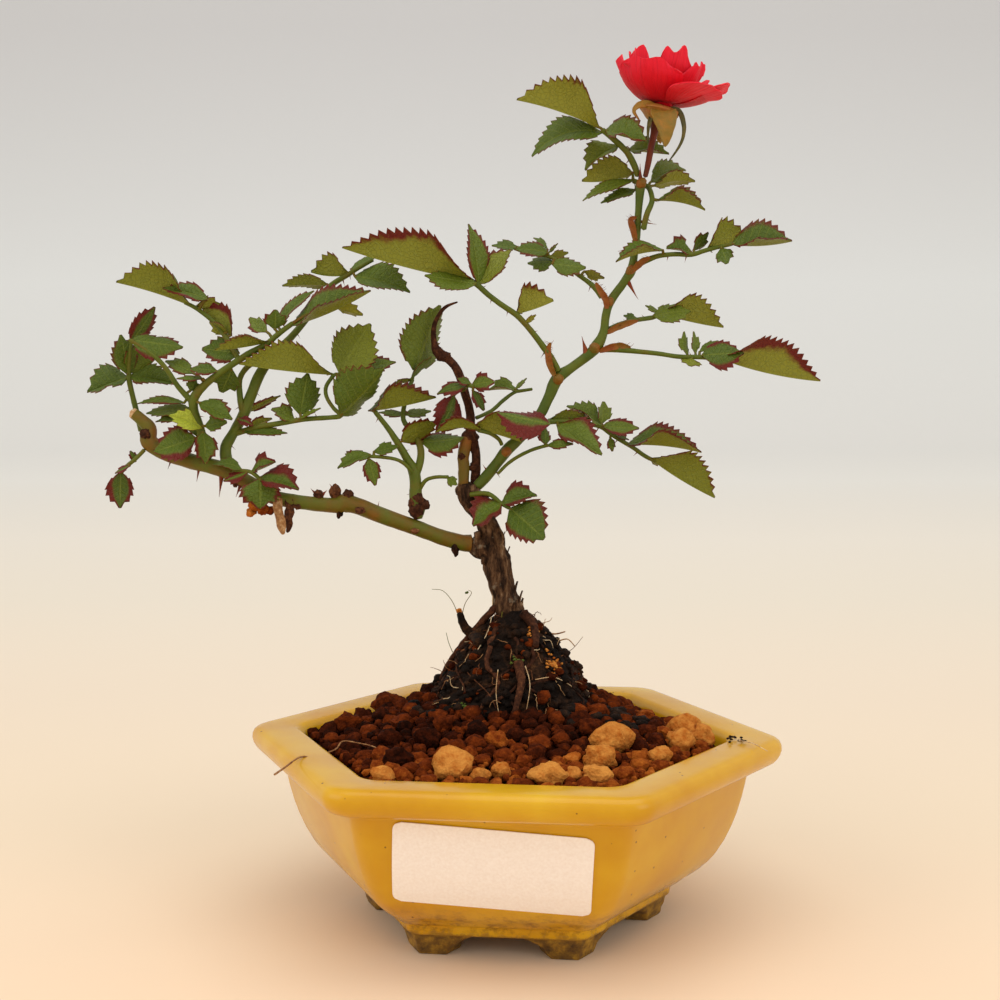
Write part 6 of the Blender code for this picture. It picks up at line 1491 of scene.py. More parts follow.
# %% Tables of leafy stems
SPRAYS = {
    "spray_top": {
        "slot": "leaf",
        "stems": [[(31.0, 179.6, 5.0, 0.7), (30.2, 182.0, 4.6, 0.85), (28.3, 185.4, 3.6, 0.8),
                   (24.8, 188.7, 2.4, 0.75), (22.3, 190.7, 1.6, 0.7)]],
        "leaves": [
            (21.3, 191.4, 1.0, 198.0, 8.8, 8.0, 6.8, 0.5, -0.5, -4.0),
            (22.0, 190.2, 4.8, 184.2, 5.6, -2.6, 4.6, 3.0, 0.4, 5.0),
            (23.2, 190.6, 33.2, 188.0, 6.7, -1.2, 6.1, -0.2, -0.8, -5.0),
            (26.0, 186.9, 18.1, 180.8, 4.9, -0.5, 4.6, 0.2, 0.6, 5.0),
            (28.8, 186.0, 38.8, 184.8, 4.3, -0.3, 3.9, 0.0, 5.2, 1.6),
        ],
        "warm": (0.12, 0.0, 0.3, 0.0, 0.0),
    },
    "spray_upper": {
        "slot": "leaf",
        "stems": [[(32.6, 166.6, 2.2, 0.75), (33.3, 170.0, 1.9, 0.75), (34.6, 173.2, 2.4, 0.7),
                   (34.4, 175.2, 4.2, 0.65), (33.6, 176.8, 6.4, 0.65), (31.5, 177.8, 7.4, 0.65),
                   (29.9, 178.4, 7.6, 0.65)]],
        "leaves": [
            (29.8, 180.2, 17.2, 178.2, 6.3, 5.8, 2.6, -0.7, 0.6, 3.0),
            (30.2, 178.5, 17.4, 173.4, 3.0, -1.4, 1.7, 0.6, 0.0, -5.0),
            (30.5, 176.2, 21.9, 172.9, 3.0, -1.1, 1.8, 0.1, -0.4, -2.0),
            (36.0, 173.7, 47.8, 171.1, 4.7, 2.9, 4.3, 1.1, -0.5, -4.0),
            (35.2, 177.2, 45.3, 178.2, 3.4, 2.3, -1.0, 0.7, 1.5, 2.0),
            (34.4, 178.2, 43.0, 180.8, 4.6, -1.0, 4.0, 0.6, 1.5, 7.0),
        ],
        "warm": (0.1, 0.12, 0.05, 0.25, 0.1, 0.12),
    },
    "spray_right_upper": {
        "slot": "leaf",
        "stems": [[(31.3, 157.9, 2.0, 0.8), (33.4, 158.9, 1.2, 0.75), (36.4, 160.0, 0.2, 0.65),
                   (40.5, 160.4, -1.0, 0.6), (44.5, 160.3, -2.2, 0.6), (47.5, 161.2, -3.0, 0.6),
                   (50.5, 162.0, -3.8, 0.55), (54.5, 162.9, -4.6, 0.5)]],
        "leaves": [
            (54.6, 162.9, 69.5, 163.6, 6.9, 1.4, 6.4, -0.4, -0.2, -4.0),
            (48.6, 161.8, 58.7, 163.9, 6.8, 6.3, 2.8, 0.2, 0.4, 3.0),
            (51.9, 161.8, 53.4, 158.0, 2.9, -2.5, 2.5, 0.0, -0.6, -4.5),
            (45.0, 161.4, 48.7, 165.8, 2.3, -1.6, 1.4, 0.0, 0.6, 1.5),
            (44.4, 161.0, 38.2, 161.8, 4.1, -0.5, 3.8, 0.2, 0.6, 3.0),
            (37.4, 161.4, 25.7, 158.4, 4.0, 1.4, 3.5, 0.8, -1.6, -3.6),
        ],
        "warm": (0.38, 0.05, 0.1, 0.35, 0.35, 0.2),
    },
    "spray_right_middle": {
        "slot": "leaf",
        "stems": [[(24.5, 141.9, 2.6, 0.8), (27.0, 143.1, 3.4, 0.7), (31.0, 144.2, 4.4, 0.6),
                   (35.0, 144.8, 5.6, 0.6), (37.0, 145.8, 6.4, 0.5)]],
        "leaves": [
            (31.0, 144.6, 27.7, 145.3, 1.4, -0.9, 1.0, 0.0, 0.0, 1.0),
            (35.2, 145.2, 44.5, 146.4, 3.3, -2.6, 2.4, 0.0, -0.6, -2.5),
            (36.6, 146.1, 33.1, 147.8, 1.2, -0.8, 0.6, 0.0, 0.0, 1.0),
            (36.9, 146.0, 52.7, 142.3, 6.9, 6.4, 4.2, 0.1, 0.8, 3.0),
        ],
        "warm": (0.0, 0.0, 0.0, 0.05),
    },
    "spray_right_lower": {
        "slot": "red_leaf",
        "stems": [[(23.2, 136.9, 1.2, 0.75), (28.0, 136.7, -0.2, 0.7), (36.0, 135.9, -2.4, 0.6),
                   (41.5, 135.1, -3.8, 0.6), (46.0, 135.0, -4.8, 0.6), (52.5, 134.6, -5.8, 0.5)]],
        "leaves": [
            (43.8, 135.5, 42.9, 141.4, 2.4, -1.9, 0.8, 0.0, 0.3, 1.5),
            (45.8, 135.8, 45.2, 141.4, 1.9, -0.8, 1.5, 0.0, 0.6, 3.0),
            (44.9, 134.6, 44.4, 132.7, 2.6, 2.3, -2.2, 0.0, -0.5, -2.0),
            (47.5, 135.4, 57.9, 136.0, 4.2, -3.8, 3.1, 0.0, -0.8, -3.0),
            (51.6, 134.9, 77.1, 129.0, 9.1, 8.3, 5.8, -0.2, 0.5, 4.0),
            (46.8, 136.3, 51.6, 139.0, 1.5, -0.9, 1.0, 0.2, 0.8, 1.5),
        ],
        "warm": (0.0, 0.0, 0.0, 0.5, 0.55, 0.1),
    },
    "spray_arch": {
        "slot": "leaf",
        "stems": [[(11.4, 131.7, -0.4, 0.9), (9.6, 135.0, -1.4, 0.9), (7.0, 138.6, -2.4, 0.8),
                   (4.0, 142.4, -3.4, 0.75), (1.0, 145.5, -4.4, 0.75), (-3.0, 148.2, -5.6, 0.7),
                   (-6.0, 150.5, -6.4, 0.7), (-8.6, 152.8, -7.0, 0.7), (-11.5, 154.8, -7.6, 0.6)]],
        "leaves": [
            (-9.8, 153.8, -42.3, 162.0, 9.5, 8.7, 6.6, 0.3, 0.2, -5.0),
            (-9.2, 153.0, -21.8, 155.2, 3.8, -2.7, 2.3, 0.0, -1.8, -4.0),
            (-8.3, 153.2, -10.9, 167.9, 4.2, -1.6, 3.4, 0.0, 0.2, 2.5),
            (-8.0, 153.2, -0.1, 161.5, 4.6, 1.8, -4.0, 0.0, 0.2, 4.0),
            (1.2, 145.9, 10.4, 148.9, 6.6, 6.1, 3.2, 0.0, 0.3, 3.0),
            (3.2, 143.4, 6.0, 145.5, 1.0, 0.6, -0.7, 0.0, -0.2, -0.8),
        ],
        "warm": (0.4, 0.15, 0.4, 0.3, 0.2, 0.0),
    },
    "spray_centre_upper": {
        "slot": "leaf",
        "stems": [[(22.3, 149.9, 3.4, 0.75), (20.5, 152.2, 4.2, 0.7), (18.3, 154.0, 5.0, 0.6),
                   (15.0, 156.3, 6.2, 0.55), (12.0, 158.2, 7.2, 0.5), (9.0, 159.9, 8.2, 0.5),
                   (4.0, 160.8, 9.6, 0.5), (0.6, 161.8, 10.4, 0.45)]],
        "leaves": [
            (1.4, 162.2, -5.1, 162.5, 2.3, -1.0, 1.8, 0.0, 0.3, 2.5),
            (8.8, 160.8, 0.6, 161.7, 2.8, -1.9, 2.3, 0.1, -1.4, -2.0),
            (8.8, 161.6, 5.2, 164.4, 1.4, -0.6, 1.0, 0.3, 0.6, 1.5),
            (9.0, 160.6, 11.4, 163.1, 0.8, -0.4, 0.4, 0.0, 0.0, 0.6),
            (9.6, 159.9, 14.0, 160.8, 1.5, 1.1, -1.1, 0.0, 0.7, 1.5),
            (10.2, 158.5, 3.8, 158.2, 2.9, -2.5, 1.4, 0.0, 0.0, 3.0),
            (10.0, 158.0, 18.4, 157.1, 3.3, -2.9, 2.1, 0.0, -1.2, -4.0),
            (18.0, 156.2, 23.0, 154.5, 1.7, 0.9, -1.2, 0.0, 0.6, 1.5),
        ],
        "warm": (0.0, 0.3, 0.0, 0.3, 0.0, 0.0, 0.25, 0.0),
    },
    "spray_right_low": {
        "slot": "leaf",
        "stems": [[(8.9, 118.8, 0.5, 0.7), (12.0, 119.0, 1.6, 0.7), (16.0, 118.8, 3.0, 0.65),
                   (20.0, 118.2, 4.2, 0.6), (22.5, 117.5, 5.0, 0.6), (25.0, 115.7, 5.6, 0.6),
                   (28.0, 113.8, 6.2, 0.55), (30.5, 112.3, 6.8, 0.55), (33.5, 110.2, 7.6, 0.55),
                   (36.0, 109.0, 8.2, 0.5)]],
        "leaves": [
            (35.0, 109.6, 51.0, 99.7, 8.0, 7.5, 4.4, -0.7, 0.2, 3.0),
            (29.0, 113.2, 47.6, 111.1, 6.1, 3.5, 5.5, 0.3, -0.5, -4.0),
            (22.8, 117.8, 31.9, 117.2, 3.1, -1.9, 2.4, 0.0, -1.0, -3.0),
            (22.6, 118.2, 13.6, 122.7, 4.6, 0.6, 3.9, 0.0, 0.4, 3.0),
            (22.4, 118.4, 22.8, 124.0, 3.0, -1.4, 2.5, 0.0, 0.6, 3.0),
            (9.4, 119.4, 19.6, 119.5, 3.0, 2.4, 1.0, 0.0, 0.8, 4.0),
            (11.4, 118.0, 22.6, 110.5, 6.3, -0.9, 5.6, 0.0, -1.4, -6.0),
            (24.6, 114.9, 25.2, 111.4, 1.6, -1.2, 1.2, 0.0, -0.3, -1.0),
            (26.0, 115.4, 29.4, 114.3, 1.0, -0.5, 0.5, 0.0, -0.3, -1.5),
            (9.2, 118.2, -3.8, 121.2, 5.9, -5.2, 1.5, 0.0, -7.0, -2.8),
        ],
        "warm": (0.15, 0.35, 0.55, 0.0, 0.0, 0.0, 0.4, 0.45, 0.3, 1.0),
    },
    "spray_low_small": {
        "slot": "leaf",
        "stems": [[(-3.5, 105.9, -3.1, 0.4), (-1.0, 108.4, -3.4, 0.45), (2.0, 110.4, -3.8, 0.45),
                   (5.5, 112.0, -4.3, 0.45), (9.0, 113.0, -4.7, 0.45)]],
        "leaves": [
            (8.8, 112.9, 15.4, 113.3, 1.8, -1.0, 1.4, 0.0, 0.0, -2.0),
            (8.4, 113.2, 8.2, 117.6, 2.4, -2.1, 1.3, 0.0, 0.2, 1.2),
        ],
        "warm": (0.4, 0.5),
    },
    "spray_trunk": {
        "slot": "red_leaf",
        "stems": [[(-10.4, 100.6, -3.2, 0.6), (-6.0, 100.8, -5.0, 0.6), (-2.6, 98.3, -5.6, 0.5),
                   (-0.6, 97.2, -5.8, 0.5)]],
        "leaves": [
            (-2.8, 98.2, -9.8, 92.6, 6.0, -1.2, 5.4, 0.0, -0.4, -3.0),
            (-2.4, 98.6, 6.4, 100.2, 4.6, -0.4, 4.2, 0.0, 0.6, 3.0),
            (-0.4, 97.0, 8.2, 89.3, 6.8, -4.4, 6.3, 0.0, -0.4, -3.0),
        ],
        "warm": (0.7, 0.5, 0.3),
    },
    "spray_centre_front": {
        "slot": "leaf",
        "stems": [[(-2.6, 113.2, -3.4, 0.5), (-3.4, 114.6, -4.6, 0.5), (-5.6, 116.0, -5.8, 0.5),
                   (-8.4, 116.7, -6.6, 0.5)]],
        "leaves": [
            (-8.0, 117.2, -19.3, 116.2, 3.8, 2.7, -0.6, 1.0, -0.6, -3.0),
            (-10.4, 117.6, 2.4, 113.8, 5.7, 5.1, 3.4, -0.1, 0.4, 0.6),
        ],
        "warm": (0.35, 0.3),
    },
    "spray_centre": {
        "slot": "red_leaf",
        "stems": [[(-12.2, 126.8, -0.2, 0.55), (-11.0, 127.9, -2.0, 0.55), (-9.6, 127.6, -3.0, 0.5)]],
        "leaves": [
            (-11.3, 127.9, -18.8, 125.7, 2.6, -1.7, 1.5, 0.3, -0.3, -3.0),
            (-9.9, 128.0, -4.4, 128.8, 3.0, -2.2, 2.6, 0.2, 0.0, -2.0),
            (-10.4, 128.4, -13.6, 129.7, 1.5, -1.1, 1.2, 0.0, -0.2, -1.0),
            (-14.6, 125.4, -19.0, 116.6, 4.1, -3.2, 3.3, 0.6, -2.0, -3.4),
            (-9.8, 126.6, -7.0, 121.6, 2.2, -1.5, 1.7, 0.0, 0.0, 1.0),
        ],
        "warm": (0.6, 0.6, 0.5, 0.9, 0.55),
    },
    "sprig_centre": {
        "slot": "leaf",
        "stems": [[(-9.0, 119.8, 1.0, 0.5), (-6.5, 120.9, 2.0, 0.5), (-4.6, 122.0, 3.0, 0.5),
                   (-2.2, 124.2, 4.0, 0.5), (0.6, 126.2, 5.0, 0.45), (2.4, 126.6, 5.4, 0.45),
                   (5.0, 127.0, 6.0, 0.4)]],
        "leaves": [
            (1.4, 126.8, -5.9, 126.7, 3.2, 0.6, 2.9, 0.1, 0.4, 2.0),
            (0.8, 127.0, 3.7, 129.8, 0.9, -0.5, 0.5, 0.0, 0.0, 0.6),
        ],
        "warm": (0.0, 0.0),
    },
    "shoots_middle": {
        "slot": "leaf",
        "stems": [
            [(-24.0, 94.9, -2.5, 1.5), (-23.6, 97.4, -2.6, 1.9), (-24.2, 100.4, -2.7, 1.7),
             (-24.2, 103.0, -2.8, 1.5), (-24.6, 106.4, -2.9, 1.5), (-26.2, 109.4, -3.2, 1.1),
             (-28.4, 113.2, -3.6, 0.9), (-31.0, 117.2, -4.0, 0.7), (-34.2, 121.3, -4.4, 0.6)],
            [(-24.2, 105.6, -2.9, 1.1), (-23.0, 109.0, -2.4, 1.0), (-23.0, 112.6, -1.8, 0.9),
             (-24.6, 116.0, -1.0, 0.7), (-27.2, 119.4, -0.2, 0.65), (-26.6, 124.5, 1.0, 0.6),
             (-24.9, 129.4, 2.2, 0.55)],
            [(-24.4, 104.6, -3.2, 0.5), (-25.6, 107.0, -4.4, 0.5), (-28.4, 109.2, -5.4, 0.45),
             (-32.5, 110.0, -6.4, 0.45), (-36.4, 110.2, -7.0, 0.45)],
            [(-23.4, 101.6, -2.8, 0.6), (-21.6, 104.2, -3.6, 0.5), (-19.0, 105.0, -4.2, 0.45),
             (-16.0, 105.0, -4.8, 0.45)],
        ],
        "lumps": [(-22.2, 98.0, -2.8, 1.1), (-23.6, 99.6, -3.8, 1.2)],
        "leaves": [
            (-24.3, 131.6, -17.8, 147.9, 7.2, -6.6, 2.9, 0.0, 0.3, 3.0),
            (-25.2, 129.6, -20.0, 135.1, 1.3, -0.7, 0.6, 0.0, -0.6, -1.0),
            (-24.9, 129.5, -29.8, 128.3, 1.2, 0.7, -0.5, 0.0, 0.2, -1.0),
            (-35.8, 121.7, -18.9, 124.9, 6.2, 5.0, 5.8, -0.8, 0.0, 3.0),
            (-27.6, 114.0, -18.6, 118.8, 4.4, 3.2, -2.6, 0.2, -0.4, 2.0),
            (-22.6, 113.8, -12.0, 115.0, 4.4, -3.9, 1.7, -0.1, 0.6, -1.0),
            (-26.9, 120.8, -20.2, 121.5, 1.9, -1.4, 0.9, 0.0, 0.6, 2.0),
            (-26.6, 120.6, -33.4, 121.2, 1.4, -0.9, 0.8, 0.0, 0.6, 2.0),
            (-34.6, 111.4, -28.4, 112.7, 2.2, -1.2, 1.8, 0.0, 0.4, 1.5),
            (-35.6, 110.6, -43.8, 107.1, 2.7, -0.6, 2.5, 0.3, -0.4, -2.0),
            (-39.0, 110.2, -41.6, 111.4, 1.1, -0.8, 0.8, 0.0, 0.2, 0.8),
            (-36.0, 109.6, -34.3, 102.8, 2.6, -2.0, 2.1, 0.0, -0.3, -1.0),
            (-16.2, 104.9, -13.8, 103.0, 1.6, -1.2, 1.2, 0.0, -0.1, -0.8),
        ],
        "warm": (0.15, 0.0, 0.0, 0.25, 0.4, 0.45, 0.15, 0.3, 0.0, 0.15, 0.9, 0.5, 0.0),
    },
    "shoot_left": {
        "slot": "leaf",
        "stems": [
            [(-71.6, 109.2, -7.4, 1.5), (-71.7, 112.6, -7.2, 1.4), (-69.6, 116.4, -6.6, 1.25),
             (-67.2, 120.6, -6.0, 1.35), (-65.2, 125.6, -5.2, 1.35), (-62.8, 131.0, -4.0, 1.3),
             (-59.4, 135.6, -2.6, 1.1), (-55.4, 139.6, -1.2, 0.9), (-51.4, 144.2, 0.0, 0.8),
             (-47.6, 150.0, 0.8, 0.75), (-44.8, 152.9, 1.0, 0.7), (-41.4, 155.0, 0.8, 0.65),
             (-38.2, 157.0, 0.4, 0.55), (-34.6, 159.0, 0.0, 0.5)],
            [(-67.2, 120.6, -6.2, 0.9), (-68.0, 125.0, -5.6, 0.8), (-68.0, 129.5, -4.6, 0.7),
             (-66.0, 132.6, -3.4, 0.7), (-62.8, 134.4, -2.6, 0.8)],
            [(-69.8, 115.8, -6.8, 0.8), (-64.0, 117.4, -8.0, 0.75), (-58.0, 118.5, -9.0, 0.7),
             (-52.0, 119.5, -9.8, 0.65), (-46.0, 119.9, -10.2, 0.6), (-42.8, 120.4, -10.2, 0.6),
             (-44.6, 122.2, -9.8, 0.5), (-46.4, 125.2, -9.0, 0.5), (-46.4, 127.8, -8.4, 0.5),
             (-44.6, 130.4, -7.8, 0.5)],
        ],
        "leaves": [
            (-42.8, 130.8, -35.2, 143.3, 6.8, 5.8, -6.2, 0.0, 0.4, 3.0),
            (-43.4, 130.8, -28.9, 133.7, 4.2, -2.2, 2.9, 0.2, 1.6, 2.0),
            (-42.8, 120.6, -31.9, 132.2, 7.9, -7.3, 1.1, 0.0, -0.6, -3.0),
            (-45.0, 130.8, -68.2, 133.2, 7.5, 6.9, 4.8, -0.2, -0.2, -5.0),
            (-53.0, 120.8, -51.0, 131.0, 4.5, -4.0, 3.6, 0.0, 0.4, 1.5),
            (-54.6, 119.3, -60.3, 122.0, 2.8, -1.2, 2.4, 0.3, 0.2, 2.0),
            (-53.2, 119.6, -47.8, 122.3, 1.1, -0.5, 0.6, 0.0, -0.6, -1.5),
            (-66.4, 121.4, -57.8, 125.4, 1.8, 1.0, -0.9, 0.2, 0.8, 3.0),
            (-66.0, 117.4, -60.0, 119.7, 1.8, 1.5, -0.6, 0.2, 0.4, 2.0),
            (-67.4, 116.5, -56.2, 116.0, 1.9, -0.8, 1.5, -0.2, -0.8, -2.0),
            (-46.0, 153.0, -57.2, 152.6, 3.1, 2.5, -0.6, 0.0, 0.4, 3.0),
            (-40.4, 155.6, -50.0, 156.0, 5.7, 5.2, 3.0, -0.4, 0.4, 3.0),
            (-40.0, 156.7, -33.2, 160.2, 1.9, -1.0, 1.4, 0.0, 0.6, 1.5),
            (-39.0, 154.9, -25.3, 150.9, 5.2, -1.7, 4.9, 0.3, -0.6, -4.0),
            (-68.6, 119.4, -64.8, 117.8, 1.5, -1.0, 1.3, 0.3, -2.2, -1.0),
        ],
        "warm": (0.1, 0.45, 0.05, 0.1, 0.0, 0.3, 0.1, 0.6, 0.3, 0.3, 0.0, 0.0, 0.0, 0.0, 1.0),
    },
    "cluster_left": {
        "slot": "leaf",
        "stems": [
            [(-75.8, 110.2, -8.8, 1.3), (-77.2, 114.0, -9.2, 1.2), (-78.4, 118.0, -9.6, 1.1),
             (-79.6, 122.0, -10.0, 1.1), (-79.4, 125.0, -10.2, 1.2), (-76.4, 128.4, -10.4, 0.95),
             (-71.6, 132.0, -10.4, 0.85), (-66.0, 135.6, -10.2, 0.85), (-61.2, 138.2, -9.8, 0.75),
             (-58.4, 140.6, -9.4, 0.7), (-54.6, 143.4, -8.8, 0.6)],
            [(-79.6, 123.4, -10.2, 0.8), (-83.4, 127.6, -11.0, 0.65), (-86.0, 131.6, -11.6, 0.6),
             (-88.6, 134.6, -12.0, 0.6), (-92.0, 137.1, -12.6, 0.5), (-95.4, 139.3, -13.0, 0.45)],
            [(-68.2, 134.4, -9.8, 0.7), (-70.6, 138.6, -7.6, 0.65), (-73.6, 143.0, -6.4, 0.6),
             (-78.0, 146.7, -5.6, 0.55), (-81.4, 148.5, -5.2, 0.5)],
        ],
        "leaves": [
            (-80.0, 147.9, -98.5, 153.5, 8.0, 7.1, 5.4, -0.1, 0.2, -4.0),
            (-75.8, 149.3, -87.0, 152.0, 3.2, -1.2, 2.7, 0.4, -1.8, -2.0),
            (-78.4, 147.6, -71.8, 147.6, 3.0, 2.5, -0.5, 0.0, 0.3, 2.0),
            (-70.0, 140.4, -77.3, 147.3, 5.1, 4.7, -1.0, 0.0, 0.8, 3.0),
            (-71.0, 141.2, -75.4, 143.8, 2.5, 0.7, -2.1, 0.0, -0.3, 1.0),
            (-54.8, 142.9, -35.0, 151.4, 6.7, 2.1, 6.2, -0.4, 0.0, -3.0),
            (-43.4, 147.2, -37.1, 145.4, 2.4, 2.0, -0.7, 0.0, 2.0, 1.5),
            (-58.4, 142.4, -49.1, 151.4, 2.8, -1.0, 2.3, 0.4, 1.4, 3.0),
            (-60.8, 138.9, -74.2, 136.7, 3.4, 2.7, 2.9, -0.5, -0.5, -2.0),
            (-68.2, 136.0, -77.4, 137.0, 4.2, -2.9, 3.7, 0.1, 0.6, 2.0),
            (-61.2, 141.3, -65.5, 144.7, 2.7, -2.1, 1.8, 0.0, 0.6, 1.5),
            (-59.2, 142.0, -58.9, 146.8, 3.0, -2.6, 2.6, 0.0, -0.6, -1.0),
            (-70.0, 131.8, -72.8, 126.2, 3.6, -3.1, 3.1, 0.0, 0.6, 2.0),
            (-94.8, 139.2, -82.0, 137.4, 4.6, -4.1, 2.0, 0.3, 0.5, 3.0),
            (-79.6, 131.0, -86.6, 134.0, 2.6, -1.5, 1.8, 0.2, 0.6, 2.0),
            (-73.8, 131.5, -80.4, 131.9, 2.3, -1.5, 1.8, 0.1, -0.6, -1.5),
            (-77.2, 129.6, -83.9, 129.6, 1.3, -0.7, 0.7, 0.2, -0.8, -2.0),
            (-79.4, 114.7, -89.9, 111.4, 4.9, -3.9, 4.5, 0.0, -0.8, -3.0),
            (-77.4, 116.2, -77.0, 108.3, 3.3, -1.8, 3.1, 0.0, -1.6, -1.5),
            (-77.6, 117.4, -85.9, 120.4, 3.0, -1.7, 2.7, 0.2, -0.8, -2.5),
            (-76.8, 117.8, -71.3, 118.8, 2.6, -1.6, 2.4, 0.1, -1.4, -2.0),
            (-78.2, 123.6, -70.0, 119.3, 3.5, -1.0, 3.1, 0.0, -1.2, -1.5),
            (-82.0, 123.6, -93.9, 123.3, 1.7, -0.6, 1.2, 0.3, 0.8, 2.0),
            (-80.4, 122.0, -91.6, 120.9, 2.4, -1.4, 1.6, 0.2, 1.2, 3.0),
            (-80.6, 120.6, -89.3, 118.8, 1.8, -0.8, 1.4, 0.3, 0.6, 1.4),
            (-80.4, 126.6, -79.0, 129.6, 1.7, -1.4, 1.4, 0.0, 0.4, 1.0),
            (-78.8, 115.2, -82.9, 118.4, 1.2, -0.6, 0.8, 0.4, 0.4, 1.0),
        ],
        "warm": (0.1, 0.4, 0.0, 0.6, 0.0, 0.3, 0.0, 0.35, 0.15, 0.3, 0.35, 0.35, 0.05, 0.35, 0.3,
                 0.35, 0.5, 0.5, 0.4, -0.5, 0.1, 0.25, 0.3, 0.05, 0.4, 0.0, 0.2),
    },
    "spray_left_low": {
        "slot": "red_leaf",
        "stems": [[(-70.0, 106.6, -10.3, 0.5), (-67.6, 106.6, -11.0, 0.5),
                   (-65.4, 106.2, -11.5, 0.5), (-63.4, 104.6, -12.0, 0.5)]],
        "leaves": [
            (-65.2, 106.4, -59.2, 108.8, 4.0, 0.5, 3.7, 0.0, 0.3, 1.0),
            (-63.2, 104.9, -53.5, 101.7, 4.8, -0.8, 4.4, 0.2, 0.5, 1.5),
            (-63.3, 104.4, -63.4, 97.0, 5.3, -4.8, 4.8, 0.0, -0.6, -1.5),
            (-66.6, 106.0, -72.5, 104.0, 2.0, -1.4, 1.4, 0.0, -0.4, -1.0),
            (-67.8, 106.8, -75.2, 108.1, 1.9, -0.8, 1.4, 1.0, -0.2, 0.4),
        ],
        "warm": (0.7, 0.75, 0.45, 1.0, 0.0),
    },
    "spray_left_tip": {
        "slot": "red_leaf",
        "stems": [[(-92.2, 111.8, -9.1, 0.5), (-94.4, 109.6, -9.6, 0.5), (-96.6, 107.8, -9.8, 0.5),
                   (-98.2, 106.0, -10.0, 0.45)]],
        "leaves": [
            (-98.2, 106.2, -98.6, 97.1, 3.4, -3.0, 2.7, 0.0, -0.3, -1.0),
            (-96.0, 107.8, -99.7, 105.9, 1.2, -0.7, 0.8, 0.0, -1.1, -0.6),
            (-94.5, 109.0, -95.8, 111.6, 1.2, -0.7, 0.9, 0.0, 1.0, 0.4),
        ],
        "warm": (0.6, 0.8, 0.7),
    },
    "spray_far_left": {
        "slot": "leaf",
        "stems": [[(-92.9, 116.6, -5.0, 0.7), (-94.0, 121.5, -4.6, 0.7), (-95.0, 126.0, -4.4, 0.65),
                   (-95.7, 129.8, -4.4, 0.65), (-95.6, 133.5, -4.8, 0.5), (-94.9, 139.0, -5.4, 0.45)]],
        "leaves": [
            (-96.2, 129.8, -106.2, 126.1, 5.8, -0.9, 5.4, 0.2, 0.0, -3.0),
            (-96.0, 130.8, -97.6, 140.6, 3.4, -2.6, 2.6, 0.0, -0.4, 0.0),
            (-95.0, 138.8, -88.9, 147.5, 3.1, -2.3, 2.0, 0.0, 0.0, 1.0),
            (-95.6, 131.2, -90.6, 138.8, 4.0, -2.4, 3.5, 0.0, 0.6, 3.0),
            (-95.4, 130.4, -84.0, 128.2, 4.1, -1.0, 3.8, 0.3, 0.4, 4.0),
        ],
        "warm": (0.05, 0.2, 0.75, 0.0, 0.2),
    },
}

# %% Grow them
for name, spray in SPRAYS.items():
    leafy(name, spray)

# %% [markdown]
# ## Calyx
#
# The flower stalk widens into a small cup, and five sepals hang from it. They have lost their
# green and are turning yellow and orange.

# %% Flower stalk, cup and sepals
calyx = Growth()
stem(calyx, [(32.9, 179.4, 3.6, 0.6), (33.6, 182.6, 3.4, 0.75), (34.3, 186.6, 3.6, 0.85),
             (35.1, 190.4, 3.9, 1.0),
             (35.7, 192.8, 4.0, 2.0)], steps=5, sides=16, rough=0.06, slot=0, warm=0.92)
stem(calyx, [(35.7, 192.6, 4.0, 2.0), (35.9, 193.8, 4.0, 3.5), (36.2, 194.9, 4.1, 4.9),
             (36.4, 195.9, 4.1, 4.6),
             (36.5, 196.3, 4.1, 2.6)], steps=5, sides=32, rough=0.04, slot=1, warm=0.5)
SEPALS = [
    [(36.8, 195.6, 1.6), (37.2, 195.0, -0.6), (37.8, 191.8, -1.2), (37.9, 188.8, -0.6), (37.8, 186.6, 0.2)],
    [(35.0, 196.4, 1.8), (33.0, 197.0, 1.2), (31.0, 196.6, 1.0), (30.0, 195.2, 1.2), (31.4, 193.0, 1.2)],
    [(35.4, 195.4, 3.0), (34.6, 194.6, 2.6), (33.8, 192.4, 2.0), (33.5, 190.2, 2.2), (33.6, 188.0, 2.6)],
    [(38.4, 195.6, 3.0), (41.0, 195.2, 2.6), (42.3, 191.4, 3.0), (41.6, 187.4, 3.6), (38.6, 182.9, 4.0)],
    [(36.8, 195.8, 5.0), (36.6, 195.4, 6.2), (35.8, 192.0, 8.6), (36.2, 189.4, 8.2), (36.6, 187.4, 7.6)],
]
# Half width of each sepal, and how far it has browned
SEPAL_LOOKS = ((3.2, 0.3), (0.9, 0.4), (0.55, 0.0), (0.75, -0.05), (2.4, 0.3))
for route, (half, browned) in zip(SEPALS, SEPAL_LOOKS):
    line = smoothed(route, 5)
    shares = [k / (len(line) - 1) for k in range(len(line))]
    widths = [half * (0.8 + 0.2 * math.sin(math.pi * min(1,
                                                         s * 1.6))) * (1 - s ** 2.4) + 0.05 for s in shares]
    out = seen(*line[len(line) // 2]) - seen(36.2, 195.0, 4.0)
    strip(calyx, line, widths, (out.x * 0.3, out.y - 2.0, 0), thick=0.3, columns=9, crumple=0.05, slot=1,
          warm=browned)
calyx.finish("sepal_calyx", [stem_skin, sepal_skin], "sepal", "calyx", sharp=50)

# %% [markdown]
# ## Bloom
#
# The bloom is loosely double: an outer ring of broad petals that reach out, curl over and wave
# at their edges, a second ring that stands up inside it, and a tight heart. One rule draws a
# petal from its claw to its edge about the flower's axis, and each has its own size and curl.

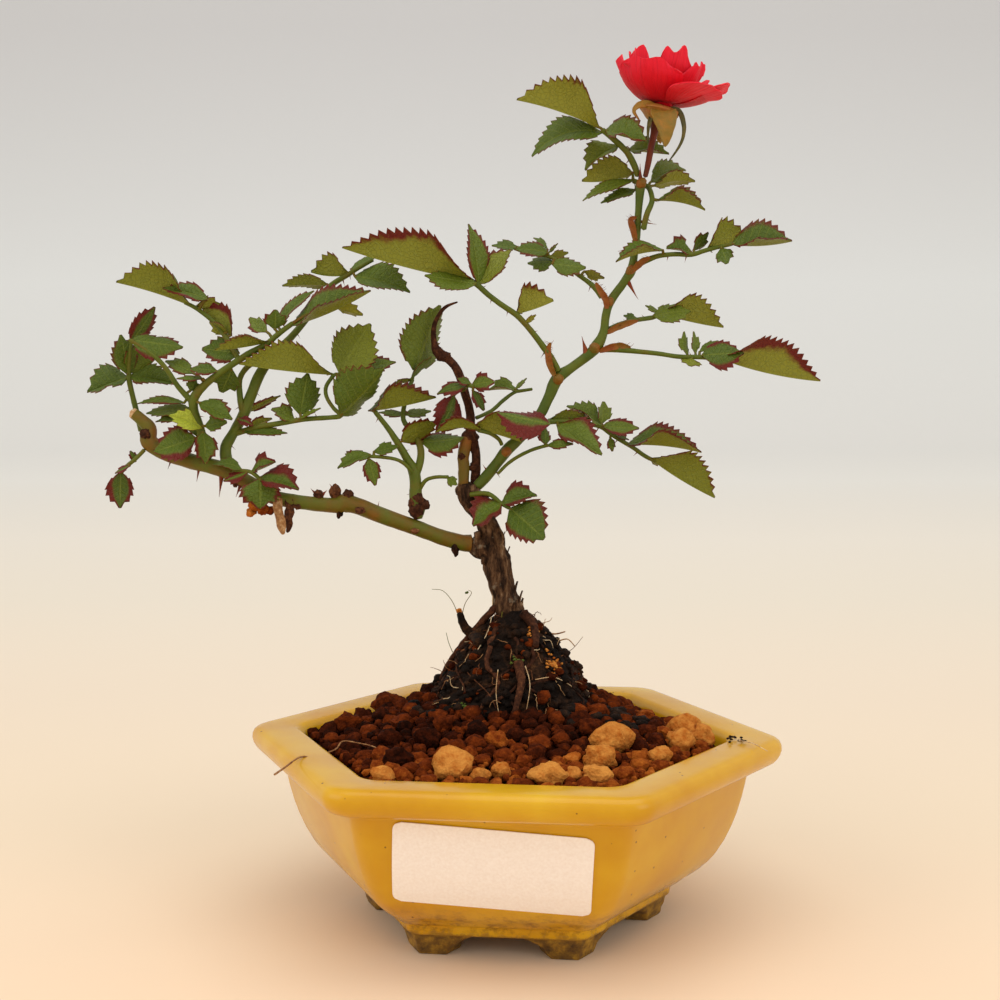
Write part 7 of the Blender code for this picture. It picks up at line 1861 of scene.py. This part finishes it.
# %% Petals
# heading about the axis (0 faces the eye, 90 is right), half spread in degrees, reach, rise,
# how far the edge rolls out, and the depth of its notch
PETALS = [
    (-34, 58, 12.8, 9.8, 0.6, 0.8), (-98, 46, 12.6, 11.2, 0.8, 1.2), (48, 44, 16.8, 4.2, 0.9, 0.8),
    (94, 38, 17.4, 8.0, 1.6, 1.6), (150, 44, 13.8, 11.6, 1.4, 1.4), (-150, 46, 12.6, 13.0, 1.0, 1.6),
    (-62, 42, 10.0, 12.8, 0.2, 1.4), (14, 40, 9.4, 13.4, 0.0, 1.6), (66, 42, 10.4, 11.2, 0.4, 1.4),
    (122, 42, 10.8, 12.8, 0.6, 1.6), (178, 44, 10.0, 14.6, 0.4, 1.8), (-116, 44, 10.0, 13.6, 0.4, 1.6),
    (0, 50, 6.6, 11.4, -0.6, 0.4), (120, 50, 6.6, 12.2, -0.6, 0.4), (-120, 50, 6.6, 12.0, -0.6, 0.4),
    (60, 60, 4.4, 11.0, -0.8, 0.3), (180, 60, 4.2, 11.4, -0.8, 0.3), (-60, 60, 4.0, 10.8, -0.8, 0.3),
]
BLOOM_PLACE = (36.2, 196.2, 4.2)
BLOOM_LEAN = math.radians(8)
PETAL_ROWS, PETAL_COLUMNS = 16, 18
PETAL_SCALE = 0.88


def petal_grid(heading, spread, reach, rise, roll, notch, seed):
    grid = []
    for row in range(PETAL_ROWS + 1):
        up = row / PETAL_ROWS
        if rise > 6:
            out = 1.4 + (reach - 1.4) * math.sin(up * math.pi / 2) ** 0.8
            height = rise * (1 - math.cos(up * math.pi / 2)) ** 0.8
        else:
            out, height = 1.4 + (reach - 1.4) * up, rise * up ** 1.5
        out += roll * max(0.0, up - 0.75) * 4
        wide = math.radians(spread) * (0.45 + 0.55 * math.sin(math.pi * min(1, up * 0.62 + 0.12)))
        line = []
        for column in range(PETAL_COLUMNS + 1):
            across = 2 * column / PETAL_COLUMNS - 1
            fall = 1 - (0.28 * abs(across) ** 2.4 + notch * 0.06 * math.cos(across * 7 + seed)) * up ** 3
            wave = (0.5 * math.sin(across * 6 + seed * 2.1) + 0.22 * math.sin(across * 15 + seed)) * up ** 3
            ragged = noise.noise(Vector((across * 2.2, seed * 3.1, up))) * 0.16 * up ** 4
            turn = math.radians(heading) + wide * across
            radius = (out + wave) * (1 - 0.06 * abs(across) * up)
            place = Vector((math.sin(turn) * radius, -math.cos(turn) * radius, height * (fall + ragged)))
            line.append(place * PETAL_SCALE)
        grid.append(line)
    return grid


bloom = Growth()
lean = Matrix.Rotation(BLOOM_LEAN, 3, "Y")
foot_of_bloom = seen(*BLOOM_PLACE)
for order, spec in enumerate(PETALS):
    grid = [[foot_of_bloom + lean @ (p + Vector((0, 0, 0.8))) for p in line] for line in petal_grid(*spec,
                                                                                                    order)]
    shell(bloom, grid, 0.28, Vector((0, 0, 1)), slot=0)
stem(bloom, [(37.2, 195.8, 4.2, 1.6), (37.3, 197.6, 4.2, 3.0), (37.5, 201.0, 4.2, 2.6),
             (37.8, 204.6, 4.2, 1.2)],
     sides=14, rough=0.15, slot=0)
bloom.finish("rose_bloom", [velvet], "petal", "bloom", sharp=70)
